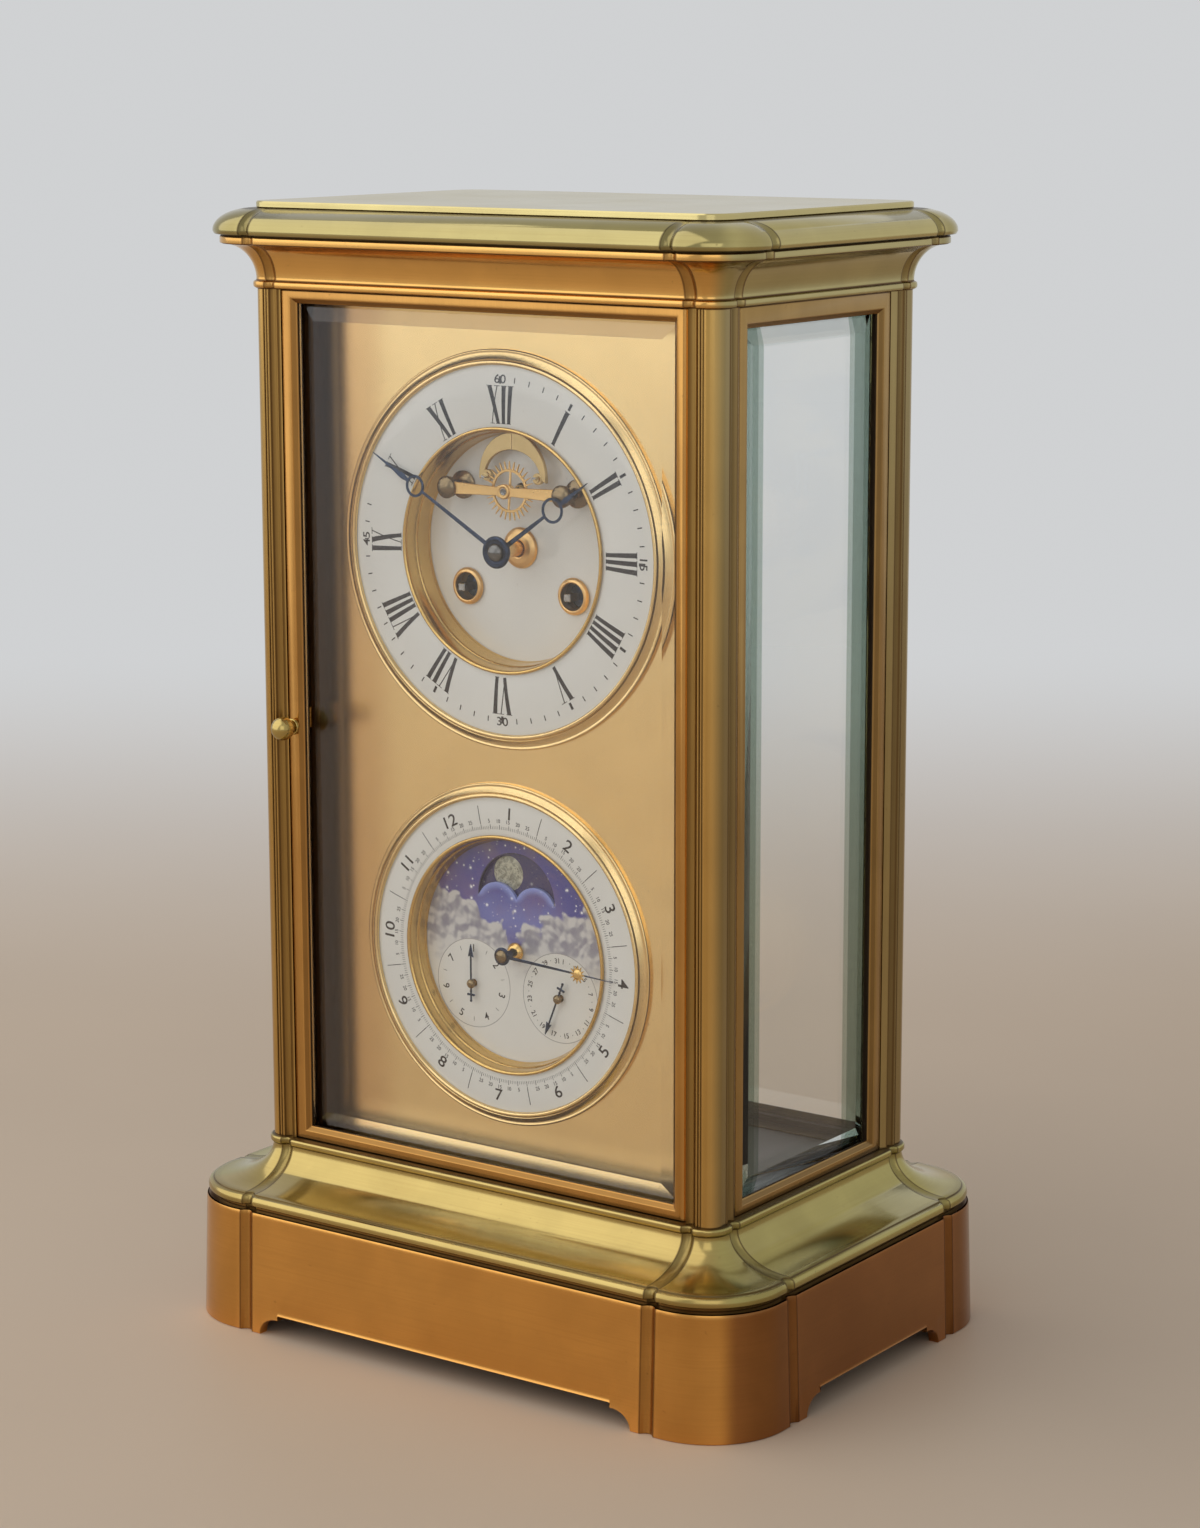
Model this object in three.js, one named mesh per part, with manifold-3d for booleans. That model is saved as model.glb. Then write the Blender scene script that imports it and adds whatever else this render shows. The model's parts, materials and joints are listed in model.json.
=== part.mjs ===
// Four-glass table regulator clock with a visible escapement and a perpetual calendar.
// Millimetres, +Z up, front towards -Y, origin at the bottom centre of the plinth.

import * as THREE from "three";
import { mergeVertices } from "three/addons/utils/BufferGeometryUtils.js";
import Module from "manifold-3d";

const wasm = await Module();
wasm.setup();

// Fits
const GAP = 0.3;             // between fixed neighbours that are cut to each other
const RUN = 0.1;             // radial play of a shaft in its hole

// Facets
const DIAL_SIDES = 28;
const DRUM_SIDES = 16;
const SHAFT_SIDES = 8;
const FASTENER_SIDES = 6;
const PIPE_SIDES = 12;
const LOBE_STEPS = 3;
const FLUTE_STEPS = 2;
const CURVE_STEPS = 3;

// Case plan: the pillars' outer faces, and the flutes that part each side from its corner
const PILLAR_X = 97.6;
const PILLAR_Y = 63.0;
const CORNER_X = 9.6;        // from a corner's side face in to its flute
const CORNER_Y = 11;
const FLUTE_X = PILLAR_X - CORNER_X;
const FLUTE_Y = PILLAR_Y - CORNER_Y;
const FLUTE_DEPTH = 1.7;
const PLINTH_FLUTE = 2.7;    // half widths
const MOULDING_FLUTE = 2.2;
const PILLAR_FLUTE = 1.8;
const LOBE_ROUNDING = 0.9;   // share of a corner's length that its round takes

// Case levels: each member stands on the one below
const PLINTH_TOP = 45;
const BASE_HEIGHT = 21.4;
const PILLAR_HEIGHT = 306.9;
const COVE_HEIGHT = 18.3;
const OVOLO_HEIGHT = 9.4;
const TOP_THICK = 2.4;
const MOULDING_TOP = PLINTH_TOP + BASE_HEIGHT;
const PILLAR_TOP = MOULDING_TOP + PILLAR_HEIGHT;
const COVE_TOP = PILLAR_TOP + COVE_HEIGHT;
const OVOLO_TOP = COVE_TOP + OVOLO_HEIGHT;
const TOTAL_HEIGHT = OVOLO_TOP + TOP_THICK;

// How far each moulding stands out from the pillars
const FOOT_OUT = 25.9;
const PLINTH_BATTER = 1.5;
const PLINTH_WALL = 4;
const PLINTH_WEB = 4;
const LIP_OUT = 24;
const LIP_THICK = 4;
const RING_OUT = 1.9;
const RING_THICK = 2.8;
const FILLET_OUT = 12.9;
const FILLET_THICK = 2.6;
const OVOLO_OUT = 15.2;
const TOP_OUT = 1.1;
const TOP_CORNER = 8;

// Cut-outs between the bracket feet
const CUT_HEIGHT = 8.2;
const CUT_STEP = 1.8;
const CUT_CURVE = 7.6;
const FOOT_X = 24.5;         // from a pillar's face in to the cut-out
const FOOT_Y = 27.3;
const CUT_HALF_X = PILLAR_X - FOOT_X;
const CUT_HALF_Y = PILLAR_Y - FOOT_Y;

// Pillars
const PILLAR_EDGE_X = 0.7;   // flat between a flute and the pillar's inner face
const PILLAR_EDGE_Y = 2.9;
const PILLAR_INNER_X = FLUTE_X - PILLAR_FLUTE - PILLAR_EDGE_X;
const PILLAR_INNER_Y = FLUTE_Y - PILLAR_FLUTE - PILLAR_EDGE_Y;
const PILLAR_ROUND = 5.2;
const REED = 1.2;

// Glazed frames: two doors and two sides
const FRAME_GAP = 0.3;       // between a frame and the pillars
const DOOR_SUNK = 1.4;       // how far the frames lie behind the pillars' faces
const SIDE_SUNK = 1.6;
const DOOR_STILE = 5.9;
const SIDE_STILE = 6;
const DOOR_FACE_Y = PILLAR_Y - DOOR_SUNK;
const DOOR_HALF = PILLAR_INNER_X - FRAME_GAP;
const DOOR_OPEN_HALF = DOOR_HALF - DOOR_STILE;
const SIDE_FACE_X = PILLAR_X - SIDE_SUNK;
const SIDE_HALF = PILLAR_INNER_Y - FRAME_GAP;
const SIDE_OPEN_HALF = SIDE_HALF - SIDE_STILE;
const FRAME_DEPTH = 9;
const FRAME_LIP = 2.6;
const REBATE = 2.4;
const DOOR_SILL = 5.1;
const DOOR_HEAD = 4.9;
const SIDE_SILL = 4.7;
const SIDE_HEAD = 7.6;
const DOOR_OPEN_LOW = MOULDING_TOP + DOOR_SILL;
const DOOR_OPEN_HIGH = PILLAR_TOP - DOOR_HEAD;
const SIDE_OPEN_LOW = MOULDING_TOP + SIDE_SILL;
const SIDE_OPEN_HIGH = PILLAR_TOP - SIDE_HEAD;
const GLASS_THICK = 4.5;
const GLASS_EDGE = 2.4;
const BEVEL_WIDTH = 8;

// Door pivots and catches
const PIVOT_INSET = 2.2;
const PIN_RADIUS = 1.1;
const PIN_LENGTH = 2.1;
const CATCH_RISE = 152.6;    // over the base moulding
const CATCH_HEIGHT = MOULDING_TOP + CATCH_RISE;
const CATCH_INSET = 2.3;
const CATCH_SHAFT = 1;
const KNOB_RADIUS = 4.2;
const KNOB_STAND = 2.2;
const TONGUE_REACH = 5.6;
const TONGUE_HALF = 1.6;
const TONGUE_THICK = 1.4;

// Dial plate and case floor
const PLATE_FRONT = -44.8;
const PLATE_THICK = 2.5;
const PLATE_SIDE_GAP = 0.4;
const PLATE_HALF = SIDE_FACE_X - FRAME_DEPTH - PLATE_SIDE_GAP;
const FLOOR_THICK = 2.5;
const FLOOR_SUNK = 0.5;
const FLOOR_TOP = MOULDING_TOP - FLOOR_SUNK;
const FLOOR_HALF_X = PILLAR_INNER_X - FRAME_GAP;
const FLOOR_HALF_Y = PILLAR_INNER_Y - 0.4;

// Dials: each has an enamel ring, a bezel round it, a gilt ring inside and a sunk centre
const ENAMEL_THICK = 1.4;
const ENAMEL_STAND = 1.6;
const TIME_RISE = 220.1;     // dial centres over the base moulding
const CALENDAR_RISE = 77.8;
const TIME_DIAL = {
  height: MOULDING_TOP + TIME_RISE, enamel: 63.5, bezel: 69, inner: 42.65, sunk: 11.1,
};
const CALENDAR_DIAL = {
  height: MOULDING_TOP + CALENDAR_RISE, enamel: 56, bezel: 61.2, inner: 42.9, sunk: 6.8,
};
const BEZEL_RISE = 4.2;
const BEZEL_LAP = 1.3;       // how far a bezel covers its enamel's edge
const BEZEL_COVE = 1.2;
const BEZEL_EDGE = 0.8;
const SEAT = 0.2;            // space under a seated piece
const RING_FACE = 1.4;
const RING_STAND = 0.9;
const RING_WALL_DEPTH = 2.2;
const TUBE_WALL = 0.7;
const INNER_RING_WALL = 1.05;

// Movement plates
const FRONT_PLATE_Y = -29.6;
const MOVEMENT_PLATE = 2.4;
const PLATE_SPACING = 28.2;
const MOVEMENT_RADIUS = 45;
const PILLAR_POST = 2.6;
const POST_SEAT = 1;         // how far posts and feet run into a plate
const NUT_ON_POST = 2.2;
const NUT_THICK = 1.6;
const POST_CIRCLE = 40.5;
const POST_ANGLES = [50, 130, 180, 0, 270];
const DIAL_FOOT = 1.4;
const DIAL_FOOT_CIRCLE = 43.4;
const DIAL_FOOT_ANGLES = [35, 145, 215, 325];
const BUSH_RADIUS = 1.5;
const BUSH_BORE = 0.25;      // over its arbor's radius
const BUSH_STAND = 1.8;      // in front of the sunk centre
const STUD_REACH = 3.9;
const BELL_STAND = 1.6;

// Regulator arbor, above twelve
const REGULATOR_RISE = 61.5;
const REGULATOR_RADIUS = 0.9;

// Winding
const WINDING_X = 22.6;
const WINDING_DROP = 15;
const WINDING_SHAFT = 2.2;
const WINDING_SQUARE = 2.7;
const WINDING_FRONT = -40;
const BARREL_RADIUS = 15.2;
const GROMMET_RADIUS = 6.5;
const GROMMET_HOLE = 4.7;
const GROMMET_STAND = 1.9;
const GROMMET_LIP = 1.6;
const GROMMET_EDGE = 0.6;
const BOSS_RADIUS = 7.2;
const BOSS_FACE = 6.2;
const BOSS_STAND = 2;
const BOSS_LIP = 1.3;

// Train: teeth, modules and the planes that the wheels turn in
const WHEEL_THICK = 0.8;
const MESH_PLAY = 0.12;      // added to each distance between meshing axes
const PLANE_THIRD = -26.6;
const PLANE_CENTRE = -25.2;
const PLANE_SECOND = -23.8;
const PLANE_GREAT = -22.4;
const GREAT = { teeth: 48, pinion: 8, module: 0.7 };
const SECOND = { teeth: 48, pinion: 6, module: 0.59 };
const CENTRE = { teeth: 72, pinion: 6, module: 0.4 };
const THIRD = { teeth: 66, pinion: 6, module: 0.4 };
const CANNON = { teeth: 30, pinion: 10, module: 0.5 };
const HOUR = { teeth: 32, pinion: 8, module: 0.5 };
const CENTRE_SHAFT = 1.7;
const THIN_SHAFT = 0.7;
const REAR_SHAFT = 1;
const PALLET_SHAFT = 0.8;
const MINUTE_STUD = 1;
const PIPE_WALL = 0.8;
const PIN_WHEEL_RADIUS = 7.6;
const PIN_CIRCLE = 6.4;
const PIN_REACH = 1.6;
const STRIKE_BEARING = 67;   // from the strike barrel up to its pin wheel, degrees
const MINUTE_BEARING = -34;  // from the centre to the minute wheel

// Escapement
const ESCAPE_RISE = 20.3;
const ESCAPE_TIP = 10.2;
const ESCAPE_ROOT = 7.5;
const ESCAPE_TEETH = 30;
const ESCAPE_PLANE = -42.1;
const ESCAPE_THICK = 0.7;
const PALLET_RISE = 37.5;
const PALLET_RADIUS = 0.9;
const PALLET_GAP = 0.6;
const PALLET_ANGLE = 23;
const ARCH_PLANE = -40.4;
const ARCH_THICK = 1.4;
const ARCH_OUTER = 15;
const ARCH_INNER = 11.4;
const COCK_HALF = 24.4;
const COCK_FRONT = -45.3;
const COCK_THICK = 1.1;
const COCK_POST = 1.7;
const COCK_FLANGE = 4;
const COCK_HEAD = 3.6;

// Hands
const HOUR_HAND_Y = -48.2;
const MINUTE_HAND_Y = -49.6;
const HAND_THICK = 0.6;
const MINUTE_LENGTH = 61.8;
const MINUTE_EYE = 40.7;
const HOUR_LENGTH = 45.2;
const HOUR_EYE = 27.4;
const MINUTE_TIME = 300;     // degrees clockwise from twelve at rest
const HOUR_TIME = 55;

// Pendulum and bell
const PENDULUM_Y = 14;
const PENDULUM_CLEAR = 14.6; // between the rod's end and the case floor
const ROD_RADIUS = 1.5;
const ROD_TAIL = 4;
const ROD_HOOK = 6;
const HOOK_HALF = 3.2;
const HOOK_THICK = 1.6;
const BOB_RADIUS = 30;
const BOB_THICK = 15;
const BOB_GAP = 0.5;
const NUT_RADIUS = 4.5;
const NUT_HEIGHT = 4;
const PENDULUM_LENGTH = TIME_DIAL.height + PALLET_RISE - FLOOR_TOP - PENDULUM_CLEAR
  - BOB_RADIUS - BOB_GAP - NUT_HEIGHT - ROD_TAIL;
const CRUTCH_LENGTH = 34;
const CRUTCH_HALF = 0.9;
const BELL_RADIUS = 20;
const BELL_X = 8;
const BELL_DROP = 2;
const BELL_MOUTH = 19;
const BELL_DEPTH = 12;
const BELL_WALL = 1.2;
const HAMMER_X = 31;
const HAMMER_RISE = 22;
const HAMMER_HEAD = 3;
const HAMMER_ARM = 17.4;
const HAMMER_THICK = 1.6;
const HAMMER_HALF = 0.9;
const HAMMER_HUB = 1.8;
const HAMMER_BEHIND = 1;     // behind the bell's mouth
const HEAD_OVER = 2.4;       // how far the head stands out of its arm
const HEAD_SHIFT = 0.6;
const COLLAR_RADIUS = 2;
const COLLAR_LENGTH = 3;
const TAIL_HALF = 0.8;
const TAIL_CLEAR = 1.2;
const REGULATOR_REACH = 7.5; // behind the back plate

// Calendar
const CALENDAR_BACK_Y = -31.6;
const CALENDAR_BACK_RADIUS = 47.5;
const MOON_RISE = 18.6;
const MOON_WINDOW = 16.4;
const MOON_DISC = 17.2;
const MOON_RADIUS = 6.3;
const MOON_ORBIT = 9.8;
const MOON_BEARING = 118;    // degrees anticlockwise from the right at rest
const SUBDIAL_X = 18.9;
const SUBDIAL_DROP = 14.1;
const MONTH_SHAFT = 1.2;
const MOON_SHAFT = 1;
const SMALL_SHAFT = 0.9;
const MONTH_LENGTH = 47.2;
const MONTH_TIME = 93;
const SUN_AT = 32.4;
const SUN_RADIUS = 3.2;
const MONTH_STAND = 1.6;     // in front of the enamel
const MONTH_HALF = 0.7;
const MONTH_POINT = 0.25;
const MONTH_HUB = 2.4;
const MONTH_BOSS = 3.4;
const SMALL_THICK = 0.5;
const SMALL_HUB = 1.7;
const STAR_BEHIND = 4.2;     // behind the sunk centre
const WEEKDAY_STAR = { points: 7, radius: 6 };
const DATE_STAR = { points: 31, radius: 9 };
const SMALL_LENGTH = 14.4;
const SMALL_TAIL = 6.2;
const DATE_TIME = 201.6;

// Materials
const metal = (color, roughness) => new THREE.MeshStandardMaterial({ color, roughness, metalness: 1 });
const plain = (color, roughness) => new THREE.MeshStandardMaterial({ color, roughness, metalness: 0 });
const BRASS = metal(0xb58a3c, 0.3);
const SATIN = metal(0xcdb27a, 0.45);
const GILT = metal(0xd9a441, 0.2);
const STEEL = metal(0x8d8f92, 0.25);
const BLUED = metal(0x1b2a4a, 0.25);
const ENAMEL = plain(0xf1efe6, 0.2);
const SKY = plain(0x3b3f9a, 0.4);
const GLASS = new THREE.MeshStandardMaterial({
  color: 0xdfeee6, roughness: 0.02, metalness: 0, transparent: true, opacity: 0.3,
});

const group = new THREE.Group();
const radians = THREE.MathUtils.degToRad;
const v2 = (x, y) => new THREE.Vector2(x, y);

// Solid helpers

// Merges shared corners, drops collapsed faces and turns the faces outwards
function tidy(geometry) {
  geometry.deleteAttribute("uv");
  geometry.deleteAttribute("normal");
  const merged = mergeVertices(geometry, 1e-4);
  const old = merged.index.array;
  const kept = [];
  for (let i = 0; i < old.length; i += 3) {
    const [a, b, c] = [old[i], old[i + 1], old[i + 2]];
    if (a !== b && b !== c && c !== a) kept.push(a, b, c);
  }
  const p = merged.attributes.position;
  const at = (i) => new THREE.Vector3().fromBufferAttribute(p, i);
  let volume = 0;
  for (let i = 0; i < kept.length; i += 3) {
    volume += at(kept[i]).dot(at(kept[i + 1]).cross(at(kept[i + 2])));
  }
  if (volume < 0) kept.reverse();
  merged.setIndex(kept);
  return merged;
}

function toSolid(geometry) {
  const g = tidy(geometry);
  return new wasm.Manifold(new wasm.Mesh({
    numProp: 3,
    vertProperties: Float32Array.from(g.attributes.position.array),
    triVerts: Uint32Array.from(g.index.array),
  }));
}

function toGeometry(solid) {
  const mesh = solid.getMesh();
  const g = new THREE.BufferGeometry();
  g.setAttribute("position", new THREE.BufferAttribute(Float32Array.from(mesh.vertProperties), 3));
  g.setIndex(Array.from(mesh.triVerts));
  return g;
}

function join(...geometries) {
  return toGeometry(geometries.map(toSolid).reduce((a, b) => a.add(b)));
}

function cut(body, ...tools) {
  return toGeometry(tools.map(toSolid).reduce((a, b) => a.subtract(b), toSolid(body)));
}

function moved(geometry, x, y, z) {
  return geometry.clone().translate(x, y, z);
}

function box(x0, x1, y0, y1, z0, z1) {
  const g = new THREE.BoxGeometry(x1 - x0, y1 - y0, z1 - z0);
  return g.translate((x0 + x1) / 2, (y0 + y1) / 2, (z0 + z1) / 2);
}

// A shape drawn in the XZ plane, extruded from depth y0 to y1
function slab(shape, y0, y1) {
  const g = new THREE.ExtrudeGeometry(shape, { depth: y1 - y0, bevelEnabled: false, curveSegments: 8 });
  return g.rotateX(Math.PI / 2).translate(0, y1, 0);
}

// A shape drawn in plan, extruded from height z0 to z1
function column(shape, z0, z1) {
  const g = new THREE.ExtrudeGeometry(shape, { depth: z1 - z0, bevelEnabled: false, curveSegments: 6 });
  return g.translate(0, 0, z0);
}

// A profile of [radius, y] points turned about a front-to-back axis
function turned(profile, sides = DRUM_SIDES) {
  return tidy(new THREE.LatheGeometry(profile.map(([r, y]) => v2(r, y)), sides));
}

function rod(radius, y0, y1, sides = SHAFT_SIDES) {
  return turned([[0, y0], [radius, y0], [radius, y1], [0, y1]], sides);
}

// A rod standing at a point of the dial's plane
function rodAt(at, radius, y0, y1, sides) {
  return moved(rod(radius, y0, y1, sides), at.x, 0, at.y);
}

// The hole that a shaft of this radius runs in, widened for its flat facets
function holeFor(radius, y0, y1, sides = SHAFT_SIDES) {
  return rod((radius + RUN) / Math.cos(Math.PI / sides), y0, y1, sides);
}

function tube(inner, outer, y0, y1, sides = DRUM_SIDES) {
  return turned([[inner, y0], [outer, y0], [outer, y1], [inner, y1], [inner, y0]], sides);
}

// Joins equal rings of 3D points into one closed skin, with flat ends
function loft(rings) {
  const n = rings[0].length;
  const positions = rings.flat().flatMap((p) => [p.x, p.y, p.z]);
  const faces = [];
  for (let r = 0; r + 1 < rings.length; r += 1) {
    for (let i = 0; i < n; i += 1) {
      const j = (i + 1) % n;
      const [a, b, c, d] = [r * n + i, r * n + j, (r + 1) * n + j, (r + 1) * n + i];
      faces.push(a, b, c, a, c, d);
    }
  }
  const flat = (ring) => ring.map((p) => v2(p.x, p.y));
  const last = (rings.length - 1) * n;
  for (const [a, b, c] of THREE.ShapeUtils.triangulateShape(flat(rings[0]), [])) faces.push(c, b, a);
  for (const [a, b, c] of THREE.ShapeUtils.triangulateShape(flat(rings.at(-1)), [])) {
    faces.push(last + a, last + b, last + c);
  }
  const g = new THREE.BufferGeometry();
  g.setAttribute("position", new THREE.Float32BufferAttribute(positions, 3));
  g.setIndex(faces);
  return tidy(g);
}

function arc(cx, cy, radius, from, to, steps) {
  const points = [];
  for (let i = 0; i <= steps; i += 1) {
    const a = radians(from + ((to - from) * i) / steps);
    points.push(v2(cx + radius * Math.cos(a), cy + radius * Math.sin(a)));
  }
  return points;
}

// The point at this radius and bearing, in degrees, about a centre
function polar(radius, degrees, cx = 0, cy = 0) {
  return v2(cx + radius * Math.cos(radians(degrees)), cy + radius * Math.sin(radians(degrees)));
}

function ringPoints(cx, cy, radius, sides = SHAFT_SIDES) {
  return arc(cx, cy, radius, 0, 360 - 360 / sides, sides - 1);
}

function circleHole(cx, cy, radius, sides) {
  return new THREE.Path(ringPoints(cx, cy, radius, sides));
}

// A shaft's hole in a plate, widened for its flat facets
function shaftHole(cx, cy, radius) {
  return circleHole(cx, cy, (radius + RUN) / Math.cos(Math.PI / SHAFT_SIDES));
}

function add(name, geometry, material, parent = group, x = 0, y = 0, z = 0) {
  const mesh = new THREE.Mesh(tidy(geometry.clone()), material);
  mesh.name = name;
  mesh.position.set(x, y, z);
  parent.add(mesh);
  return mesh;
}

function centredGroup(x, z) {
  const g = new THREE.Group();
  g.position.set(x, 0, z);
  group.add(g);
  return g;
}

// Case plan

// A concave flute across a straight run, as points from one edge to the other
function flutePoints(centre, half, depth, place) {
  const points = [];
  for (let i = 0; i <= FLUTE_STEPS; i += 1) {
    const t = (2 * i) / FLUTE_STEPS - 1;
    points.push(place(centre + half * t, depth * (1 - t * t)));
  }
  return points;
}

// Corner outline from the front's flute, round the lobe, to the side's flute
function cornerOutline(out, fluteHalf) {
  const x = PILLAR_X + out;
  const y = PILLAR_Y + out;
  const r = LOBE_ROUNDING * Math.min(x - FLUTE_X - fluteHalf, y - FLUTE_Y - fluteHalf);
  return [
    ...flutePoints(FLUTE_X, fluteHalf, FLUTE_DEPTH, (u, d) => v2(u, -y + d)),
    ...arc(x - r, -y + r, r, -90, 0, LOBE_STEPS),
    ...flutePoints(-FLUTE_Y, fluteHalf, FLUTE_DEPTH, (u, d) => v2(x - d, u)),
  ];
}

// The whole plan, anticlockwise from above
function casePlan(out, fluteHalf = MOULDING_FLUTE) {
  const q = cornerOutline(out, fluteHalf);
  const flip = (points, sx, sy) => points.map((p) => v2(p.x * sx, p.y * sy));
  return [
    ...q,
    ...flip(q, 1, -1).reverse(),
    ...flip(q, -1, -1),
    ...flip(q, -1, 1).reverse(),
  ];
}

// A moulding: the case plan carried up a profile of [out, height] points
function moulding(profile, fluteHalf) {
  const level = ([out, z]) => casePlan(out, fluteHalf).map((p) => new THREE.Vector3(p.x, p.y, z));
  return loft(profile.map(level));
}

function roundedRectangle(halfX, halfY, r, steps = 4) {
  return new THREE.Shape([
    ...arc(halfX - r, -halfY + r, r, -90, 0, steps),
    ...arc(halfX - r, halfY - r, r, 0, 90, steps),
    ...arc(-halfX + r, halfY - r, r, 90, 180, steps),
    ...arc(-halfX + r, -halfY + r, r, 180, 270, steps),
  ]);
}

// A quarter of an ellipse between two points of a moulding, upright at the first
function quarterCurve([out0, z0], [out1, z1]) {
  const points = [];
  for (let i = 0; i <= CURVE_STEPS; i += 1) {
    const t = (Math.PI / 2) * (i / CURVE_STEPS);
    points.push([out0 + (out1 - out0) * (1 - Math.cos(t)), z0 + (z1 - z0) * Math.sin(t)]);
  }
  return points;
}

function plinthCut(half, y0, y1) {
  const foot = half + CUT_CURVE + 0.8;
  const rise = CUT_HEIGHT - CUT_STEP;
  const left = arc(-foot + CUT_CURVE, 0, 1, 180, 90, 4)
    .map((p) => v2(-foot + CUT_CURVE + (p.x + foot - CUT_CURVE) * CUT_CURVE, p.y * rise));
  const right = left.map((p) => v2(-p.x, p.y)).reverse();
  const shape = new THREE.Shape([
    v2(-foot, -1), ...left, v2(-half, rise), v2(-half, CUT_HEIGHT),
    v2(half, CUT_HEIGHT), v2(half, rise), ...right, v2(foot, -1),
  ]);
  return slab(shape, y0, y1);
}

function plinth() {
  const topOut = FOOT_OUT - PLINTH_BATTER;
  const outer = moulding([
    [FOOT_OUT, 0],
    [topOut, PLINTH_TOP - 0.8],
    [topOut - 0.6, PLINTH_TOP],
  ], PLINTH_FLUTE);
  const innerOut = topOut - PLINTH_WALL;
  const hollow = column(
    roundedRectangle(PILLAR_X + innerOut, PILLAR_Y + innerOut, innerOut + 6), -1, PLINTH_TOP - PLINTH_WEB,
  );
  const deep = PILLAR_Y + FOOT_OUT + 5;
  const wide = PILLAR_X + FOOT_OUT + 5;
  const frontBack = plinthCut(CUT_HALF_X, -deep, deep);
  const sides = plinthCut(CUT_HALF_Y, -wide, wide).rotateZ(Math.PI / 2);
  return cut(outer, hollow, frontBack, sides);
}

// The pins that the front door (right) and the rear door (left) turn on
function hingePins(z0, z1) {
  const x = DOOR_HALF - PIVOT_INSET;
  const y = DOOR_FACE_Y - PIVOT_INSET;
  return [[x, -y], [-x, y]].map((at) => column(new THREE.Shape(ringPoints(...at, PIN_RADIUS)), z0, z1));
}

// The case is open inside, from the floor to the top plate
function caseOpening(z0, z1) {
  return box(-FLOOR_HALF_X, FLOOR_HALF_X, -FLOOR_HALF_Y, FLOOR_HALF_Y, z0, z1);
}

function baseMoulding() {
  const lipTop = PLINTH_TOP + 1.8 + LIP_THICK;
  const ringLow = MOULDING_TOP - RING_THICK;
  const solid = moulding([
    [LIP_OUT - 2, PLINTH_TOP],
    [LIP_OUT - 2, PLINTH_TOP + 1.8],
    [LIP_OUT - 0.2, PLINTH_TOP + 2.6],
    [LIP_OUT - 0.2, lipTop - 1],
    ...quarterCurve([1, ringLow], [LIP_OUT - 2.2, lipTop]).reverse(),
    [RING_OUT, ringLow + RING_THICK * 0.3],
    [RING_OUT, ringLow + RING_THICK * 0.7],
    [0.8, MOULDING_TOP],
  ]);
  const open = cut(solid, caseOpening(PLINTH_TOP - 1, MOULDING_TOP + 1));
  return join(open, ...hingePins(MOULDING_TOP - 2, MOULDING_TOP + PIN_LENGTH));
}

function corniceCove() {
  const ringTop = PILLAR_TOP + RING_THICK;
  const filletLow = COVE_TOP - FILLET_THICK;
  const solid = moulding([
    [0.8, PILLAR_TOP],
    [RING_OUT, PILLAR_TOP + RING_THICK * 0.3],
    [RING_OUT, PILLAR_TOP + RING_THICK * 0.7],
    ...quarterCurve([0.8, ringTop], [FILLET_OUT - 0.6, filletLow]),
    [FILLET_OUT, filletLow + 0.2],
    [FILLET_OUT, COVE_TOP],
  ]);
  const open = cut(solid, caseOpening(PILLAR_TOP - 1, COVE_TOP + 1));
  return join(open, ...hingePins(PILLAR_TOP - PIN_LENGTH, PILLAR_TOP + 2));
}

function corniceOvolo() {
  const solid = moulding([
    [FILLET_OUT - 0.9, COVE_TOP],
    [OVOLO_OUT - 0.8, COVE_TOP + 0.4],
    ...quarterCurve([OVOLO_OUT, COVE_TOP + 1.6], [TOP_OUT + 0.4, OVOLO_TOP]),
  ]);
  return cut(solid, caseOpening(COVE_TOP - 1, OVOLO_TOP + 1));
}

// Pillar in plan, drawn for the front right corner: flute, two reeds, round, reed, flute
function pillarShape() {
  const reed = (place) => [-1, 0, 1].map((t) => place(t * REED * 0.45, t === 0 ? 0 : 0.4));
  const x = PILLAR_X;
  const y = PILLAR_Y;
  const roundX = FLUTE_X + PILLAR_FLUTE + 2 * REED + 0.3;
  const roundY = FLUTE_Y + PILLAR_FLUTE + REED + 0.3;
  const faceStep = y - DOOR_FACE_Y;
  return new THREE.Shape([
    v2(PILLAR_INNER_X, -PILLAR_INNER_Y),
    v2(PILLAR_INNER_X, -y + faceStep),
    ...flutePoints(FLUTE_X, PILLAR_FLUTE, FLUTE_DEPTH, (u, d) => v2(u, -y + 0.3 + d)),
    ...reed((t, d) => v2(FLUTE_X + PILLAR_FLUTE + REED * 0.6 + t, -y + d)),
    ...reed((t, d) => v2(FLUTE_X + PILLAR_FLUTE + REED * 1.6 + t, -y + d)),
    v2(roundX, -y + 0.1),
    ...arc(x - PILLAR_ROUND, -y + PILLAR_ROUND, PILLAR_ROUND, -90, 0, 5),
    v2(x - 0.1, -roundY),
    ...reed((t, d) => v2(x - d, -(FLUTE_Y + PILLAR_FLUTE + REED * 0.6) + t)),
    ...flutePoints(-FLUTE_Y, PILLAR_FLUTE, FLUTE_DEPTH, (u, d) => v2(x - 0.3 - d, u)),
    v2(SIDE_FACE_X, -PILLAR_INNER_Y),
  ]);
}

// The mortise that a door catch turns its tongue into
function catchMortise() {
  const back = -DOOR_FACE_Y + FRAME_DEPTH + GAP;
  return box(
    -PILLAR_INNER_X - 4, -PILLAR_INNER_X + 1, back - GAP, back + TONGUE_THICK + GAP,
    CATCH_HEIGHT - TONGUE_HALF - 0.8, CATCH_HEIGHT + TONGUE_REACH + 1,
  );
}

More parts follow.
